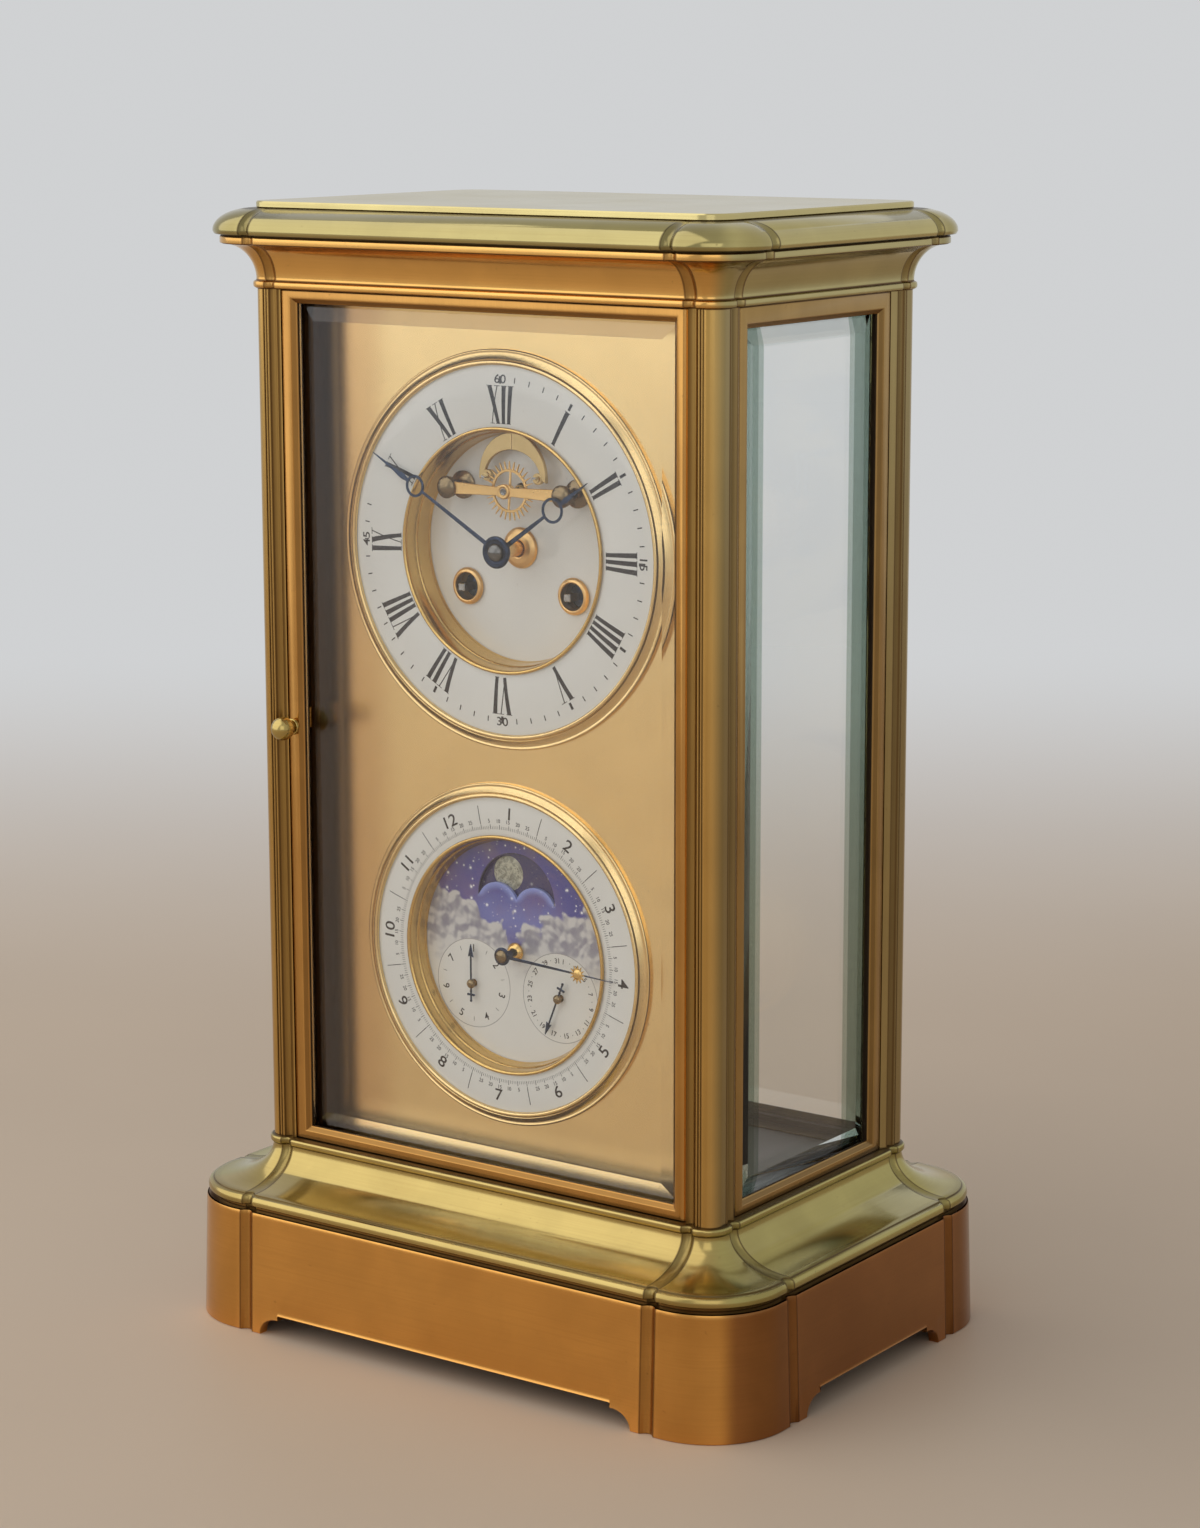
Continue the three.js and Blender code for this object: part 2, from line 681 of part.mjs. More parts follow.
function pillars() {
  const upright = column(pillarShape(), MOULDING_TOP, PILLAR_TOP);
  const corners = { front_right: [1, 1], front_left: [-1, 1], rear_right: [1, -1], rear_left: [-1, -1] };
  for (const [name, [sx, sy]] of Object.entries(corners)) {
    let geometry = tidy(upright.clone().scale(sx, sy, 1));
    if (name === "front_left") geometry = cut(geometry, catchMortise());
    if (name === "rear_right") geometry = cut(geometry, catchMortise().rotateZ(Math.PI));
    add(`pillar_${name}`, geometry, BRASS);
  }
}

// A glazed frame with its outer face at y = 0 and its glass behind the lip
function glazedFrame(half, openHalf, low, high, openLow, openHigh) {
  const outer = box(-half, half, 0, FRAME_DEPTH, low, high);
  const through = box(-openHalf, openHalf, -1, FRAME_DEPTH + 1, openLow, openHigh);
  const rebate = box(
    -openHalf - REBATE, openHalf + REBATE, FRAME_LIP, FRAME_DEPTH + 1, openLow - REBATE, openHigh + REBATE,
  );
  return cut(outer, through, rebate);
}

// Bevelled glass: thin at its edge, full thickness inside the bevel
function bevelledGlass(openHalf, openLow, openHigh) {
  const ring = (inset, y) => {
    const x = openHalf + REBATE - GAP - inset;
    const z0 = openLow - REBATE + GAP + inset;
    const z1 = openHigh + REBATE - GAP - inset;
    return [[-x, z0], [x, z0], [x, z1], [-x, z1]].map(([u, w]) => new THREE.Vector3(u, w, y));
  };
  const front = FRAME_LIP + GAP;
  const back = front + GLASS_THICK;
  const g = loft([ring(0, back), ring(0, back - GLASS_EDGE), ring(BEVEL_WIDTH, front)]);
  const p = g.attributes.position;
  for (let i = 0; i < p.count; i += 1) p.setXYZ(i, p.getX(i), p.getZ(i), p.getY(i));
  return tidy(g);
}

function catchKnob(x) {
  const back = FRAME_DEPTH + GAP;
  const knob = turned([
    [0, -KNOB_STAND - 2 * KNOB_RADIUS],
    [KNOB_RADIUS * 0.7, -KNOB_STAND - KNOB_RADIUS * 1.75],
    [KNOB_RADIUS, -KNOB_STAND - KNOB_RADIUS],
    [KNOB_RADIUS * 0.7, -KNOB_STAND - KNOB_RADIUS * 0.3],
    [1.9, -KNOB_STAND],
    [2.8, -GAP],
    [CATCH_SHAFT, -GAP],
    [CATCH_SHAFT, back + TONGUE_THICK],
    [0, back + TONGUE_THICK],
  ], SHAFT_SIDES);
  const tongue = box(-TONGUE_HALF, TONGUE_HALF, back, back + TONGUE_THICK, -TONGUE_HALF, TONGUE_REACH);
  return moved(join(knob, tongue), x, 0, CATCH_HEIGHT);
}

// A door in its own frame, front face at y = 0, pivots at its right-hand stile
function door(name, parent) {
  const low = MOULDING_TOP + GAP;
  const high = PILLAR_TOP - GAP;
  const edge = PIVOT_INSET;
  const roundEdge = new THREE.Shape([
    v2(DOOR_HALF - edge, -1), v2(DOOR_HALF + 1, -1), v2(DOOR_HALF + 1, edge),
    ...arc(DOOR_HALF - edge, edge, edge, 0, -90, 4),
  ]);
  const pinHoleRadius = (PIN_RADIUS + RUN) / Math.cos(Math.PI / SHAFT_SIDES);
  const pinHoleShape = new THREE.Shape(ringPoints(DOOR_HALF - edge, edge, pinHoleRadius));
  const pinHole = (z0, z1) => column(pinHoleShape, z0, z1);
  const shaftX = -DOOR_HALF + CATCH_INSET;
  const frame = cut(
    glazedFrame(DOOR_HALF, DOOR_OPEN_HALF, low, high, DOOR_OPEN_LOW, DOOR_OPEN_HIGH),
    column(roundEdge, low - 1, high + 1),
    pinHole(low - 1, MOULDING_TOP + PIN_LENGTH + 0.2),
    pinHole(PILLAR_TOP - PIN_LENGTH - 0.2, high + 1),
    moved(holeFor(CATCH_SHAFT, -1, FRAME_DEPTH + 1), shaftX, 0, CATCH_HEIGHT),
  );
  add(`${name}_door_frame`, frame, BRASS, parent);
  add(`${name}_door_glass`, bevelledGlass(DOOR_OPEN_HALF, DOOR_OPEN_LOW, DOOR_OPEN_HIGH), GLASS, parent);
  add(`${name}_door_catch`, catchKnob(shaftX), BRASS, parent);
}

function glazing() {
  const front = new THREE.Group();
  front.position.y = -DOOR_FACE_Y;
  const rear = new THREE.Group();
  rear.position.y = DOOR_FACE_Y;
  rear.rotation.z = Math.PI;
  group.add(front, rear);
  door("front", front);
  door("rear", rear);
  const sideFrame = glazedFrame(
    SIDE_HALF, SIDE_OPEN_HALF, MOULDING_TOP, PILLAR_TOP, SIDE_OPEN_LOW, SIDE_OPEN_HIGH,
  );
  for (const [name, side] of [["left", -1], ["right", 1]]) {
    const place = new THREE.Group();
    place.position.x = side * SIDE_FACE_X;
    place.rotation.z = (side * Math.PI) / 2;
    group.add(place);
    add(`side_frame_${name}`, sideFrame, BRASS, place);
    add(`side_glass_${name}`, bevelledGlass(SIDE_OPEN_HALF, SIDE_OPEN_LOW, SIDE_OPEN_HIGH), GLASS, place);
  }
}

function casework() {
  add("plinth", plinth(), BRASS);
  add("base_moulding", baseMoulding(), BRASS);
  add("case_floor", box(
    -FLOOR_HALF_X + GAP, FLOOR_HALF_X - GAP, -FLOOR_HALF_Y + GAP, FLOOR_HALF_Y - GAP,
    FLOOR_TOP - FLOOR_THICK, FLOOR_TOP,
  ), BRASS);
  pillars();
  glazing();
  add("cornice_cove", corniceCove(), BRASS);
  add("cornice_ovolo", corniceOvolo(), BRASS);
  const top = roundedRectangle(PILLAR_X + TOP_OUT, PILLAR_Y + TOP_OUT, TOP_CORNER);
  add("top_plate", column(top, OVOLO_TOP, TOTAL_HEIGHT), BRASS);
}

// Dials

const enamelFront = PLATE_FRONT - ENAMEL_STAND;
const ringTubeOuter = (dial) => dial.inner - INNER_RING_WALL;
const sunkFront = (dial) => enamelFront + dial.sunk;

function bezel(dial) {
  const seat = PLATE_FRONT - SEAT;
  const rise = PLATE_FRONT - BEZEL_RISE;
  const span = dial.bezel - dial.enamel;
  return turned([
    [dial.enamel + BEZEL_LAP, seat],
    [dial.enamel + BEZEL_LAP, enamelFront - GAP],
    [dial.enamel, enamelFront - GAP],
    [dial.enamel + span * 0.3, rise],
    [dial.enamel + span * 0.75, rise + BEZEL_COVE],
    [dial.bezel, seat - BEZEL_EDGE],
    [dial.bezel, seat],
    [dial.enamel + BEZEL_LAP, seat],
  ], DIAL_SIDES);
}

function enamelRing(dial, holes = []) {
  const shape = new THREE.Shape(ringPoints(0, 0, dial.enamel + 1, DIAL_SIDES));
  shape.holes.push(circleHole(0, 0, ringTubeOuter(dial) + 2 * GAP, DIAL_SIDES), ...holes);
  return slab(shape, enamelFront, enamelFront + ENAMEL_THICK);
}

function innerRing(dial) {
  const tubeOuter = ringTubeOuter(dial);
  const wall = tubeOuter - RING_WALL_DEPTH;
  const sunk = sunkFront(dial);
  return turned([
    [dial.inner, enamelFront - GAP],
    [dial.inner - RING_FACE, enamelFront - RING_STAND],
    [wall, sunk - GAP],
    [tubeOuter - TUBE_WALL, sunk - GAP],
    [tubeOuter - TUBE_WALL, sunk + ENAMEL_THICK + GAP],
    [tubeOuter, sunk + ENAMEL_THICK + GAP],
    [tubeOuter, enamelFront - GAP],
    [dial.inner, enamelFront - GAP],
  ], DIAL_SIDES);
}

function sunkDial(dial, holes) {
  const shape = new THREE.Shape(ringPoints(0, 0, ringTubeOuter(dial) - TUBE_WALL - GAP, DIAL_SIDES));
  shape.holes.push(...holes);
  return slab(shape, sunkFront(dial), sunkFront(dial) + ENAMEL_THICK);
}

function dialPlate() {
  const z0 = MOULDING_TOP + 0.1;
  const z1 = PILLAR_TOP - GAP;
  const shape = new THREE.Shape([
    v2(-PLATE_HALF, z0), v2(PLATE_HALF, z0), v2(PLATE_HALF, z1), v2(-PLATE_HALF, z1),
  ]);
  for (const dial of [TIME_DIAL, CALENDAR_DIAL]) {
    shape.holes.push(circleHole(0, dial.height, ringTubeOuter(dial) + 2 * GAP, DIAL_SIDES));
  }
  shape.holes.push(shaftHole(0, TIME_DIAL.height + REGULATOR_RISE, REGULATOR_RADIUS));
  return slab(shape, PLATE_FRONT, PLATE_FRONT + PLATE_THICK);
}

function dials() {
  add("dial_plate", dialPlate(), SATIN);
  const time = centredGroup(0, TIME_DIAL.height);
  const calendar = centredGroup(0, CALENDAR_DIAL.height);

  add("time_bezel", bezel(TIME_DIAL), BRASS, time);
  add("chapter_ring", enamelRing(TIME_DIAL, [circleHole(0, REGULATOR_RISE, 1.9)]), ENAMEL, time);
  add("time_inner_ring", innerRing(TIME_DIAL), GILT, time);
  const timeHoles = [
    circleHole(0, 0, 4.1, DRUM_SIDES),
    circleHole(-WINDING_X, -WINDING_DROP, GROMMET_HOLE + 1, DRUM_SIDES),
    circleHole(WINDING_X, -WINDING_DROP, GROMMET_HOLE + 1, DRUM_SIDES),
    circleHole(0, ESCAPE_RISE, 2.1),
    circleHole(0, PALLET_RISE, 1.6),
    circleHole(-COCK_HALF, ESCAPE_RISE, COCK_POST + GAP),
    circleHole(COCK_HALF, ESCAPE_RISE, COCK_POST + GAP),
  ];
  add("time_centre_dial", sunkDial(TIME_DIAL, timeHoles), ENAMEL, time);
  const front = sunkFront(TIME_DIAL);
  const bossHole = CENTRE_SHAFT + PIPE_WALL + 2 * RUN + 0.3;
  add("centre_boss", turned([
    [bossHole, front + ENAMEL_THICK],
    [bossHole, front - BOSS_STAND],
    [BOSS_FACE, front - BOSS_LIP],
    [BOSS_RADIUS, front - GAP],
    [bossHole + TUBE_WALL, front - GAP],
    [bossHole + TUBE_WALL, front + ENAMEL_THICK],
    [bossHole, front + ENAMEL_THICK],
  ], DRUM_SIDES), GILT, time);
  for (const [name, side] of [["left", -1], ["right", 1]]) {
    add(`grommet_${name}`, turned([
      [GROMMET_HOLE, front + ENAMEL_THICK],
      [GROMMET_HOLE, front - GROMMET_STAND],
      [GROMMET_RADIUS - GROMMET_EDGE, front - GROMMET_LIP],
      [GROMMET_RADIUS, front - GAP],
      [GROMMET_HOLE + GROMMET_EDGE, front - GAP],
      [GROMMET_HOLE + GROMMET_EDGE, front + ENAMEL_THICK],
      [GROMMET_HOLE, front + ENAMEL_THICK],
    ], DRUM_SIDES), GILT, time, side * WINDING_X, 0, -WINDING_DROP);
  }

  add("calendar_bezel", bezel(CALENDAR_DIAL), BRASS, calendar);
  add("calendar_ring", enamelRing(CALENDAR_DIAL), ENAMEL, calendar);
  add("calendar_inner_ring", innerRing(CALENDAR_DIAL), GILT, calendar);
  const calendarHoles = [
    circleHole(0, 0, 2),
    circleHole(-SUBDIAL_X, -SUBDIAL_DROP, 1.4),
    circleHole(SUBDIAL_X, -SUBDIAL_DROP, 1.4),
    moonWindow(),
  ];
  add("calendar_centre_dial", sunkDial(CALENDAR_DIAL, calendarHoles), ENAMEL, calendar);
}

// The moon's window: a half circle above, two humps below
function moonWindow() {
  const half = MOON_WINDOW / 2;
  const sagitta = 5.3;
  const humpRadius = (half * half + sagitta * sagitta) / (2 * sagitta);
  const spread = THREE.MathUtils.radToDeg(Math.asin(half / humpRadius));
  const hump = (cx) => arc(cx, MOON_RISE + sagitta - humpRadius, humpRadius, 90 + spread, 90 - spread, 4);
  return new THREE.Path([
    ...arc(0, MOON_RISE, MOON_WINDOW, 0, 162, 9),
    ...hump(-half),
    ...hump(half).slice(1, -1),
  ]);
}

// Gears

// Pointed wheel teeth, or pinion leaves with flat spaces; the first is centred on the phase
function gearOutline(teeth, module, phase, leaves) {
  const pitch = (teeth * module) / 2;
  const tip = pitch + 0.85 * module;
  const root = pitch - (leaves ? 1.15 : 1.3) * module;
  const step = (2 * Math.PI) / teeth;
  const points = [];
  const put = (r, a) => points.push(v2(r * Math.cos(phase + a), r * Math.sin(phase + a)));
  for (let i = 0; i < teeth; i += 1) {
    put(tip, i * step);
    if (leaves) {
      put(root, (i + 0.26) * step);
      put(root, (i + 0.74) * step);
    } else {
      put(root, (i + 0.5) * step);
    }
  }
  return new THREE.Shape(points);
}

// Angle of the mating wheel's first tooth, when it lies at this bearing from the first
function meshPhase(bearing, teethA, phaseA, teethB) {
  const part = ((bearing - phaseA) * teethA) / (2 * Math.PI);
  return bearing + Math.PI - ((2 * Math.PI) / teethB) * (0.5 - part);
}

// Spaces between four spokes
function spokeHoles(inner, outer, spoke) {
  return [45, 135, 225, 315].map((mid) => {
    const lean = (r) => THREE.MathUtils.radToDeg(Math.asin(spoke / 2 / r));
    const out = arc(0, 0, outer, mid - 45 + lean(outer), mid + 45 - lean(outer), 3);
    const back = arc(0, 0, inner, mid + 45 - lean(inner), mid - 45 + lean(inner), 1);
    return new THREE.Path([...out, ...back]);
  });
}

function wheel(teeth, module, phase, y0, thick, hub) {
  const shape = gearOutline(teeth, module, phase, false);
  const rim = (teeth * module) / 2 - 1.3 * module - 1.3;
  if (hub) shape.holes.push(...spokeHoles(hub, rim, 1.4));
  return slab(shape, y0, y0 + thick);
}

function pinion(teeth, module, phase, y0, thick) {
  return slab(gearOutline(teeth, module, phase, true), y0, y0 + thick);
}

// Where two circles about p and q meet, on the side given
function meet(p, rp, q, rq, side) {
  const d = q.clone().sub(p);
  const length = d.length();
  const along = (rp * rp - rq * rq + length * length) / (2 * length);
  const across = Math.sqrt(rp * rp - along * along) * side;
  return p.clone().addScaledVector(d, along / length).add(v2(-d.y, d.x).multiplyScalar(across / length));
}

const distance = ({ teeth, pinion: leaves, module }) => ((teeth + leaves) * module) / 2 + MESH_PLAY;
const bearing = (from, to) => Math.atan2(to.y - from.y, to.x - from.x);

const centreAt = v2(0, 0);
const escapeAt = v2(0, ESCAPE_RISE);
const palletsAt = v2(0, PALLET_RISE);
const goingAt = v2(-WINDING_X, -WINDING_DROP);
const strikeAt = v2(WINDING_X, -WINDING_DROP);
const secondAt = meet(goingAt, distance(GREAT), centreAt, distance(SECOND), 1);
const strikeSecondAt = polar(distance(GREAT), STRIKE_BEARING, strikeAt.x, strikeAt.y);
const thirdAt = meet(centreAt, distance(CENTRE), escapeAt, distance(THIRD), -1);
const minuteWheelAt = polar(distance(CANNON), MINUTE_BEARING);
const hammerAt = v2(HAMMER_X, HAMMER_RISE);

const backPlateY = FRONT_PLATE_Y + MOVEMENT_PLATE + PLATE_SPACING;
const backPlateEnd = backPlateY + MOVEMENT_PLATE;
const pipeBore = (CENTRE_SHAFT + RUN) / Math.cos(Math.PI / PIPE_SIDES);

// A plate with the pivot holes that both plates share, and its own centre hole
function movementPlate(y, centreRadius) {
  const shape = new THREE.Shape(ringPoints(0, 0, MOVEMENT_RADIUS, DIAL_SIDES));
  const pivots = [secondAt, strikeSecondAt, thirdAt, hammerAt, escapeAt].map((at) => [at, THIN_SHAFT]);
  const winding = [goingAt, strikeAt].map((at) => [at, WINDING_SHAFT]);
  const holes = [...pivots, ...winding, [centreAt, centreRadius], [palletsAt, PALLET_SHAFT]];
  for (const [at, radius] of holes) shape.holes.push(shaftHole(at.x, at.y, radius));
  return slab(shape, y, y + MOVEMENT_PLATE);
}

function frontPlate() {
  const plate = movementPlate(FRONT_PLATE_Y, CENTRE_SHAFT);
  const back = FRONT_PLATE_Y + POST_SEAT;
  const dialFeet = DIAL_FOOT_ANGLES.map((a) => rodAt(
    polar(DIAL_FOOT_CIRCLE, a), DIAL_FOOT, PLATE_FRONT + PLATE_THICK + GAP, back, FASTENER_SIDES,
  ));
  const posts = POST_ANGLES.map((a) => rodAt(polar(POST_CIRCLE, a), PILLAR_POST, back, backPlateY - SEAT));
  const stud = rodAt(minuteWheelAt, MINUTE_STUD, FRONT_PLATE_Y - STUD_REACH, back);
  const bushFront = sunkFront(TIME_DIAL) - BUSH_STAND;
  const bush = tube(THIN_SHAFT + BUSH_BORE, BUSH_RADIUS, bushFront, back, SHAFT_SIDES);
  return join(plate, ...dialFeet, ...posts, stud, moved(bush, 0, 0, ESCAPE_RISE));
}

function backPlate() {
  const plate = movementPlate(backPlateY, REAR_SHAFT);
  const bellTop = BELL_MOUTH + BELL_DEPTH - BELL_WALL - GAP;
  const stand = rodAt(v2(BELL_X, -BELL_DROP), BELL_STAND, backPlateY + POST_SEAT, bellTop);
  const nutEnd = backPlateEnd + NUT_THICK;
  const nuts = POST_ANGLES.map((a) => rodAt(
    polar(POST_CIRCLE, a), NUT_ON_POST, backPlateEnd - POST_SEAT / 2, nutEnd, FASTENER_SIDES,
  ));
  return join(plate, stand, ...nuts);
}

// Suspension cock on the back plate, with the spring strip that the pendulum hangs from
function suspensionCock() {
  const foot = box(-9, 9, backPlateEnd + 0.2, backPlateEnd + 2.6, PALLET_RISE + 3, REGULATOR_RISE + 3);
  const arm = box(-4, 4, backPlateEnd + 1, PENDULUM_Y + 4, PALLET_RISE + 12, PALLET_RISE + 19);
  const strip = box(-3, 3, PENDULUM_Y - 0.3, PENDULUM_Y + 0.3, PALLET_RISE + 0.3, PALLET_RISE + 13);
  const sleeve = moved(rod(2.6, backPlateEnd + 1, backPlateEnd + 8), 0, 0, REGULATOR_RISE);
  const way = holeFor(REGULATOR_RADIUS, backPlateEnd - 1, backPlateEnd + 9);
  return cut(join(foot, arm, strip, sleeve), moved(way, 0, 0, REGULATOR_RISE));
}

function bell() {
  const curve = (r, depth) => [0, 1, 2, 3].map((i) => {
    const p = polar(1, i * 30);
    return [r * p.x, BELL_MOUTH + depth * p.y];
  });
  return turned([
    ...curve(BELL_RADIUS, BELL_DEPTH),
    ...curve(BELL_RADIUS - BELL_WALL, BELL_DEPTH - BELL_WALL).reverse(),
    [BELL_RADIUS, BELL_MOUTH],
  ], 20);
}

function motionWork(time) {
  const minuteFront = FRONT_PLATE_Y - 1.4;
  const hourFront = FRONT_PLATE_Y - 3.4;
  const bearingOut = bearing(centreAt, minuteWheelAt);
  const minutePhase = meshPhase(bearingOut, CANNON.pinion, 0, CANNON.teeth);
  const hourPhase = meshPhase(bearingOut + Math.PI, HOUR.pinion, 0, HOUR.teeth);

  const minuteWheel = cut(
    join(
      wheel(CANNON.teeth, CANNON.module, minutePhase, minuteFront, WHEEL_THICK),
      pinion(HOUR.pinion, HOUR.module, 0, hourFront - 0.2, minuteFront - hourFront + 0.6),
    ),
    holeFor(MINUTE_STUD, hourFront - 1, FRONT_PLATE_Y + 1),
  );
  add("minute_wheel", minuteWheel, BRASS, time, minuteWheelAt.x, 0, minuteWheelAt.y);

  const pipe = tube(pipeBore, pipeBore + PIPE_WALL, HOUR_HAND_Y + HAND_THICK, hourFront + 0.4, PIPE_SIDES);
  const hourDisc = wheel(HOUR.teeth, HOUR.module, hourPhase, hourFront, WHEEL_THICK);
  const bore = rod(pipeBore, hourFront - 1, hourFront + WHEEL_THICK + 1, PIPE_SIDES);
  add("hour_wheel", join(cut(hourDisc, bore), pipe), BRASS, time);

  add("centre_arbor", join(
    rod(CENTRE_SHAFT, MINUTE_HAND_Y + HAND_THICK, PLANE_CENTRE + WHEEL_THICK / 2, PIPE_SIDES),
    rod(REAR_SHAFT, PLANE_CENTRE, backPlateEnd),
    pinion(CANNON.pinion, CANNON.module, 0, minuteFront - 0.2, WHEEL_THICK + 0.4),
    wheel(CENTRE.teeth, CENTRE.module, 0, PLANE_CENTRE, WHEEL_THICK, 3),
    pinion(SECOND.pinion, SECOND.module, 0, PLANE_SECOND - 0.2, WHEEL_THICK + 0.4),
  ), BRASS, time);
}

// A pierced-eye hand along +Z: stem, round eye, and a fine point
function eyeHand(length, eyeAt, eyeRadius, stem, bore, hubRadius, y) {
  const outline = new THREE.Shape([
    v2(-stem, hubRadius * 0.6), v2(stem, hubRadius * 0.6),
    v2(stem * 0.7, eyeAt), v2(stem * 0.5, eyeAt + eyeRadius), v2(0.2, length), v2(-0.2, length),
    v2(-stem * 0.5, eyeAt + eyeRadius), v2(-stem * 0.7, eyeAt),
  ]);
  const stemPiece = slab(outline, y, y + HAND_THICK);
  const eye = moved(rod(eyeRadius, y, y + HAND_THICK, DRUM_SIDES), 0, 0, eyeAt);
  const eyeHole = moved(rod(eyeRadius - 0.9, y - 1, y + HAND_THICK + 1, DRUM_SIDES), 0, 0, eyeAt);
  const hub = rod(hubRadius, y, y + HAND_THICK, DRUM_SIDES);
  const hand = cut(join(stemPiece, eye, hub), eyeHole);
  return bore > 0 ? cut(hand, rod(bore, y - 1, y + HAND_THICK + 1, PIPE_SIDES)) : hand;
}

function hands(time) {
  const minuteDrawn = join(
    eyeHand(MINUTE_LENGTH, MINUTE_EYE, 3.9, 0.8, 0, 5.6, MINUTE_HAND_Y),
    turned([
      [0, MINUTE_HAND_Y - 2.6], [2.2, MINUTE_HAND_Y - 2.2], [3.9, MINUTE_HAND_Y - 0.8],
      [4.2, MINUTE_HAND_Y + 0.2], [0, MINUTE_HAND_Y + 0.2],
    ], DRUM_SIDES),
  );
  add("minute_hand", minuteDrawn.rotateY(radians(MINUTE_TIME)), BLUED, time);
  const hourDrawn = eyeHand(HOUR_LENGTH, HOUR_EYE, 4.4, 0.9, pipeBore, 4.6, HOUR_HAND_Y);
  add("hour_hand", hourDrawn.rotateY(radians(HOUR_TIME)), BLUED, time);
}

function barrels(time) {
  const sides = [
    ["going", goingAt, meshPhase(bearing(secondAt, goingAt), GREAT.pinion, 0, GREAT.teeth)],
    ["strike", strikeAt, meshPhase(bearing(strikeSecondAt, strikeAt), GREAT.pinion, 0, GREAT.teeth)],
  ];
  for (const [name, at, phase] of sides) {
    const great = wheel(GREAT.teeth, GREAT.module, phase, PLANE_GREAT, 1.2);
    const drum = turned([
      [0, PLANE_GREAT + 0.6],
      [BARREL_RADIUS, PLANE_GREAT + 0.6],
      [BARREL_RADIUS, backPlateY - 1.6],
      [BARREL_RADIUS - 1, backPlateY - 0.8],
      [0, backPlateY - 0.8],
    ]);
    const barrel = cut(join(great, drum), holeFor(WINDING_SHAFT, PLANE_GREAT - 1, backPlateY));
    add(`${name}_barrel`, barrel, BRASS, time, at.x, 0, at.y);
    const half = WINDING_SQUARE / 2;
    const arbor = join(
      rod(WINDING_SHAFT, FRONT_PLATE_Y - 1, backPlateEnd + 1),
      rod(WINDING_SHAFT + 1.4, FRONT_PLATE_Y - 2.4, FRONT_PLATE_Y - 0.6),
      box(-half, half, WINDING_FRONT, FRONT_PLATE_Y - 0.8, -half, half),
    );
    add(`${name}_winding_arbor`, arbor, STEEL, time, at.x, 0, at.y);
  }
}

function train(time) {
  const secondPhase = meshPhase(bearing(centreAt, secondAt), SECOND.pinion, 0, SECOND.teeth);
  const second = join(
    wheel(SECOND.teeth, SECOND.module, secondPhase, PLANE_SECOND, WHEEL_THICK, 3),
    pinion(GREAT.pinion, GREAT.module, 0, PLANE_SECOND + 0.4, 3),
    rod(THIN_SHAFT, FRONT_PLATE_Y, backPlateEnd),
  );
  add("second_wheel", second, BRASS, time, secondAt.x, 0, secondAt.y);

  const leafPhase = meshPhase(bearing(centreAt, thirdAt), CENTRE.teeth, 0, CENTRE.pinion);
  const third = join(
    wheel(THIRD.teeth, THIRD.module, 0, PLANE_THIRD, WHEEL_THICK, 2.4),
    pinion(CENTRE.pinion, CENTRE.module, leafPhase, PLANE_THIRD + 0.4, 2.4),
    rod(THIN_SHAFT, FRONT_PLATE_Y, backPlateEnd),
  );
  add("third_wheel", third, BRASS, time, thirdAt.x, 0, thirdAt.y);

  const pins = [0, 45, 90, 135, 180, 225, 270, 315].map((a) => rodAt(
    polar(PIN_CIRCLE, a), 0.45, PLANE_SECOND - PIN_REACH, PLANE_SECOND + 0.2, 4,
  ));
  const pinWheel = join(
    rod(PIN_WHEEL_RADIUS, PLANE_SECOND, PLANE_SECOND + WHEEL_THICK, DRUM_SIDES),
    pinion(GREAT.pinion, GREAT.module, 0, PLANE_SECOND + 0.4, 3),
    rod(THIN_SHAFT, FRONT_PLATE_Y, backPlateEnd),
    ...pins,
  );
  add("strike_pin_wheel", pinWheel, BRASS, time, strikeSecondAt.x, 0, strikeSecondAt.y);
}

// The hammer: its arbor runs through both plates, with the lifting tail between them
function hammer(time) {
  const armFront = BELL_MOUTH + HAMMER_BEHIND;
  const armBack = armFront + HAMMER_THICK;
  const tailEnd = HAMMER_RISE - strikeSecondAt.y - PIN_CIRCLE - TAIL_CLEAR;
  const collar = backPlateEnd + COLLAR_RADIUS;
  const swung = join(
    rod(THIN_SHAFT, FRONT_PLATE_Y, armBack + 1),
    rod(COLLAR_RADIUS, collar, collar + COLLAR_LENGTH),
    rod(HAMMER_HUB, armFront, armBack + 0.4),
    box(-HAMMER_HALF, HAMMER_HALF, armFront, armBack, -HAMMER_ARM, 0),
    moved(rod(HAMMER_HEAD, armFront - HEAD_OVER, armBack + HEAD_OVER), HEAD_SHIFT, 0, -HAMMER_ARM),
    box(-TAIL_HALF, TAIL_HALF, PLANE_SECOND - PIN_REACH, PLANE_SECOND - 0.6, -tailEnd, 0),
  );
  add("hammer", swung, STEEL, time, hammerAt.x, 0, hammerAt.y);
}

// Escapement

function escapeWheel() {
  const step = 360 / ESCAPE_TEETH;
  const points = [];
  for (let i = 0; i < ESCAPE_TEETH; i += 1) {
    const a = i * step;
    const side = step * 0.22;
    points.push(polar(ESCAPE_ROOT, a - side), polar(ESCAPE_TIP, a), polar(ESCAPE_ROOT, a + side));
  }
  const shape = new THREE.Shape(points);
  shape.holes.push(...spokeHoles(1.8, ESCAPE_ROOT - 1, 0.8));
  const leafPhase = meshPhase(bearing(thirdAt, escapeAt), THIRD.teeth, 0, THIRD.pinion);
  return join(
    slab(shape, ESCAPE_PLANE, ESCAPE_PLANE + ESCAPE_THICK),
    rod(1.5, ESCAPE_PLANE - 0.8, ESCAPE_PLANE + 1.6),
    pinion(THIRD.pinion, THIRD.module, leafPhase, PLANE_THIRD - 0.2, WHEEL_THICK + 0.4),
    rod(THIN_SHAFT, COCK_FRONT + 0.2, backPlateEnd),
  );
}

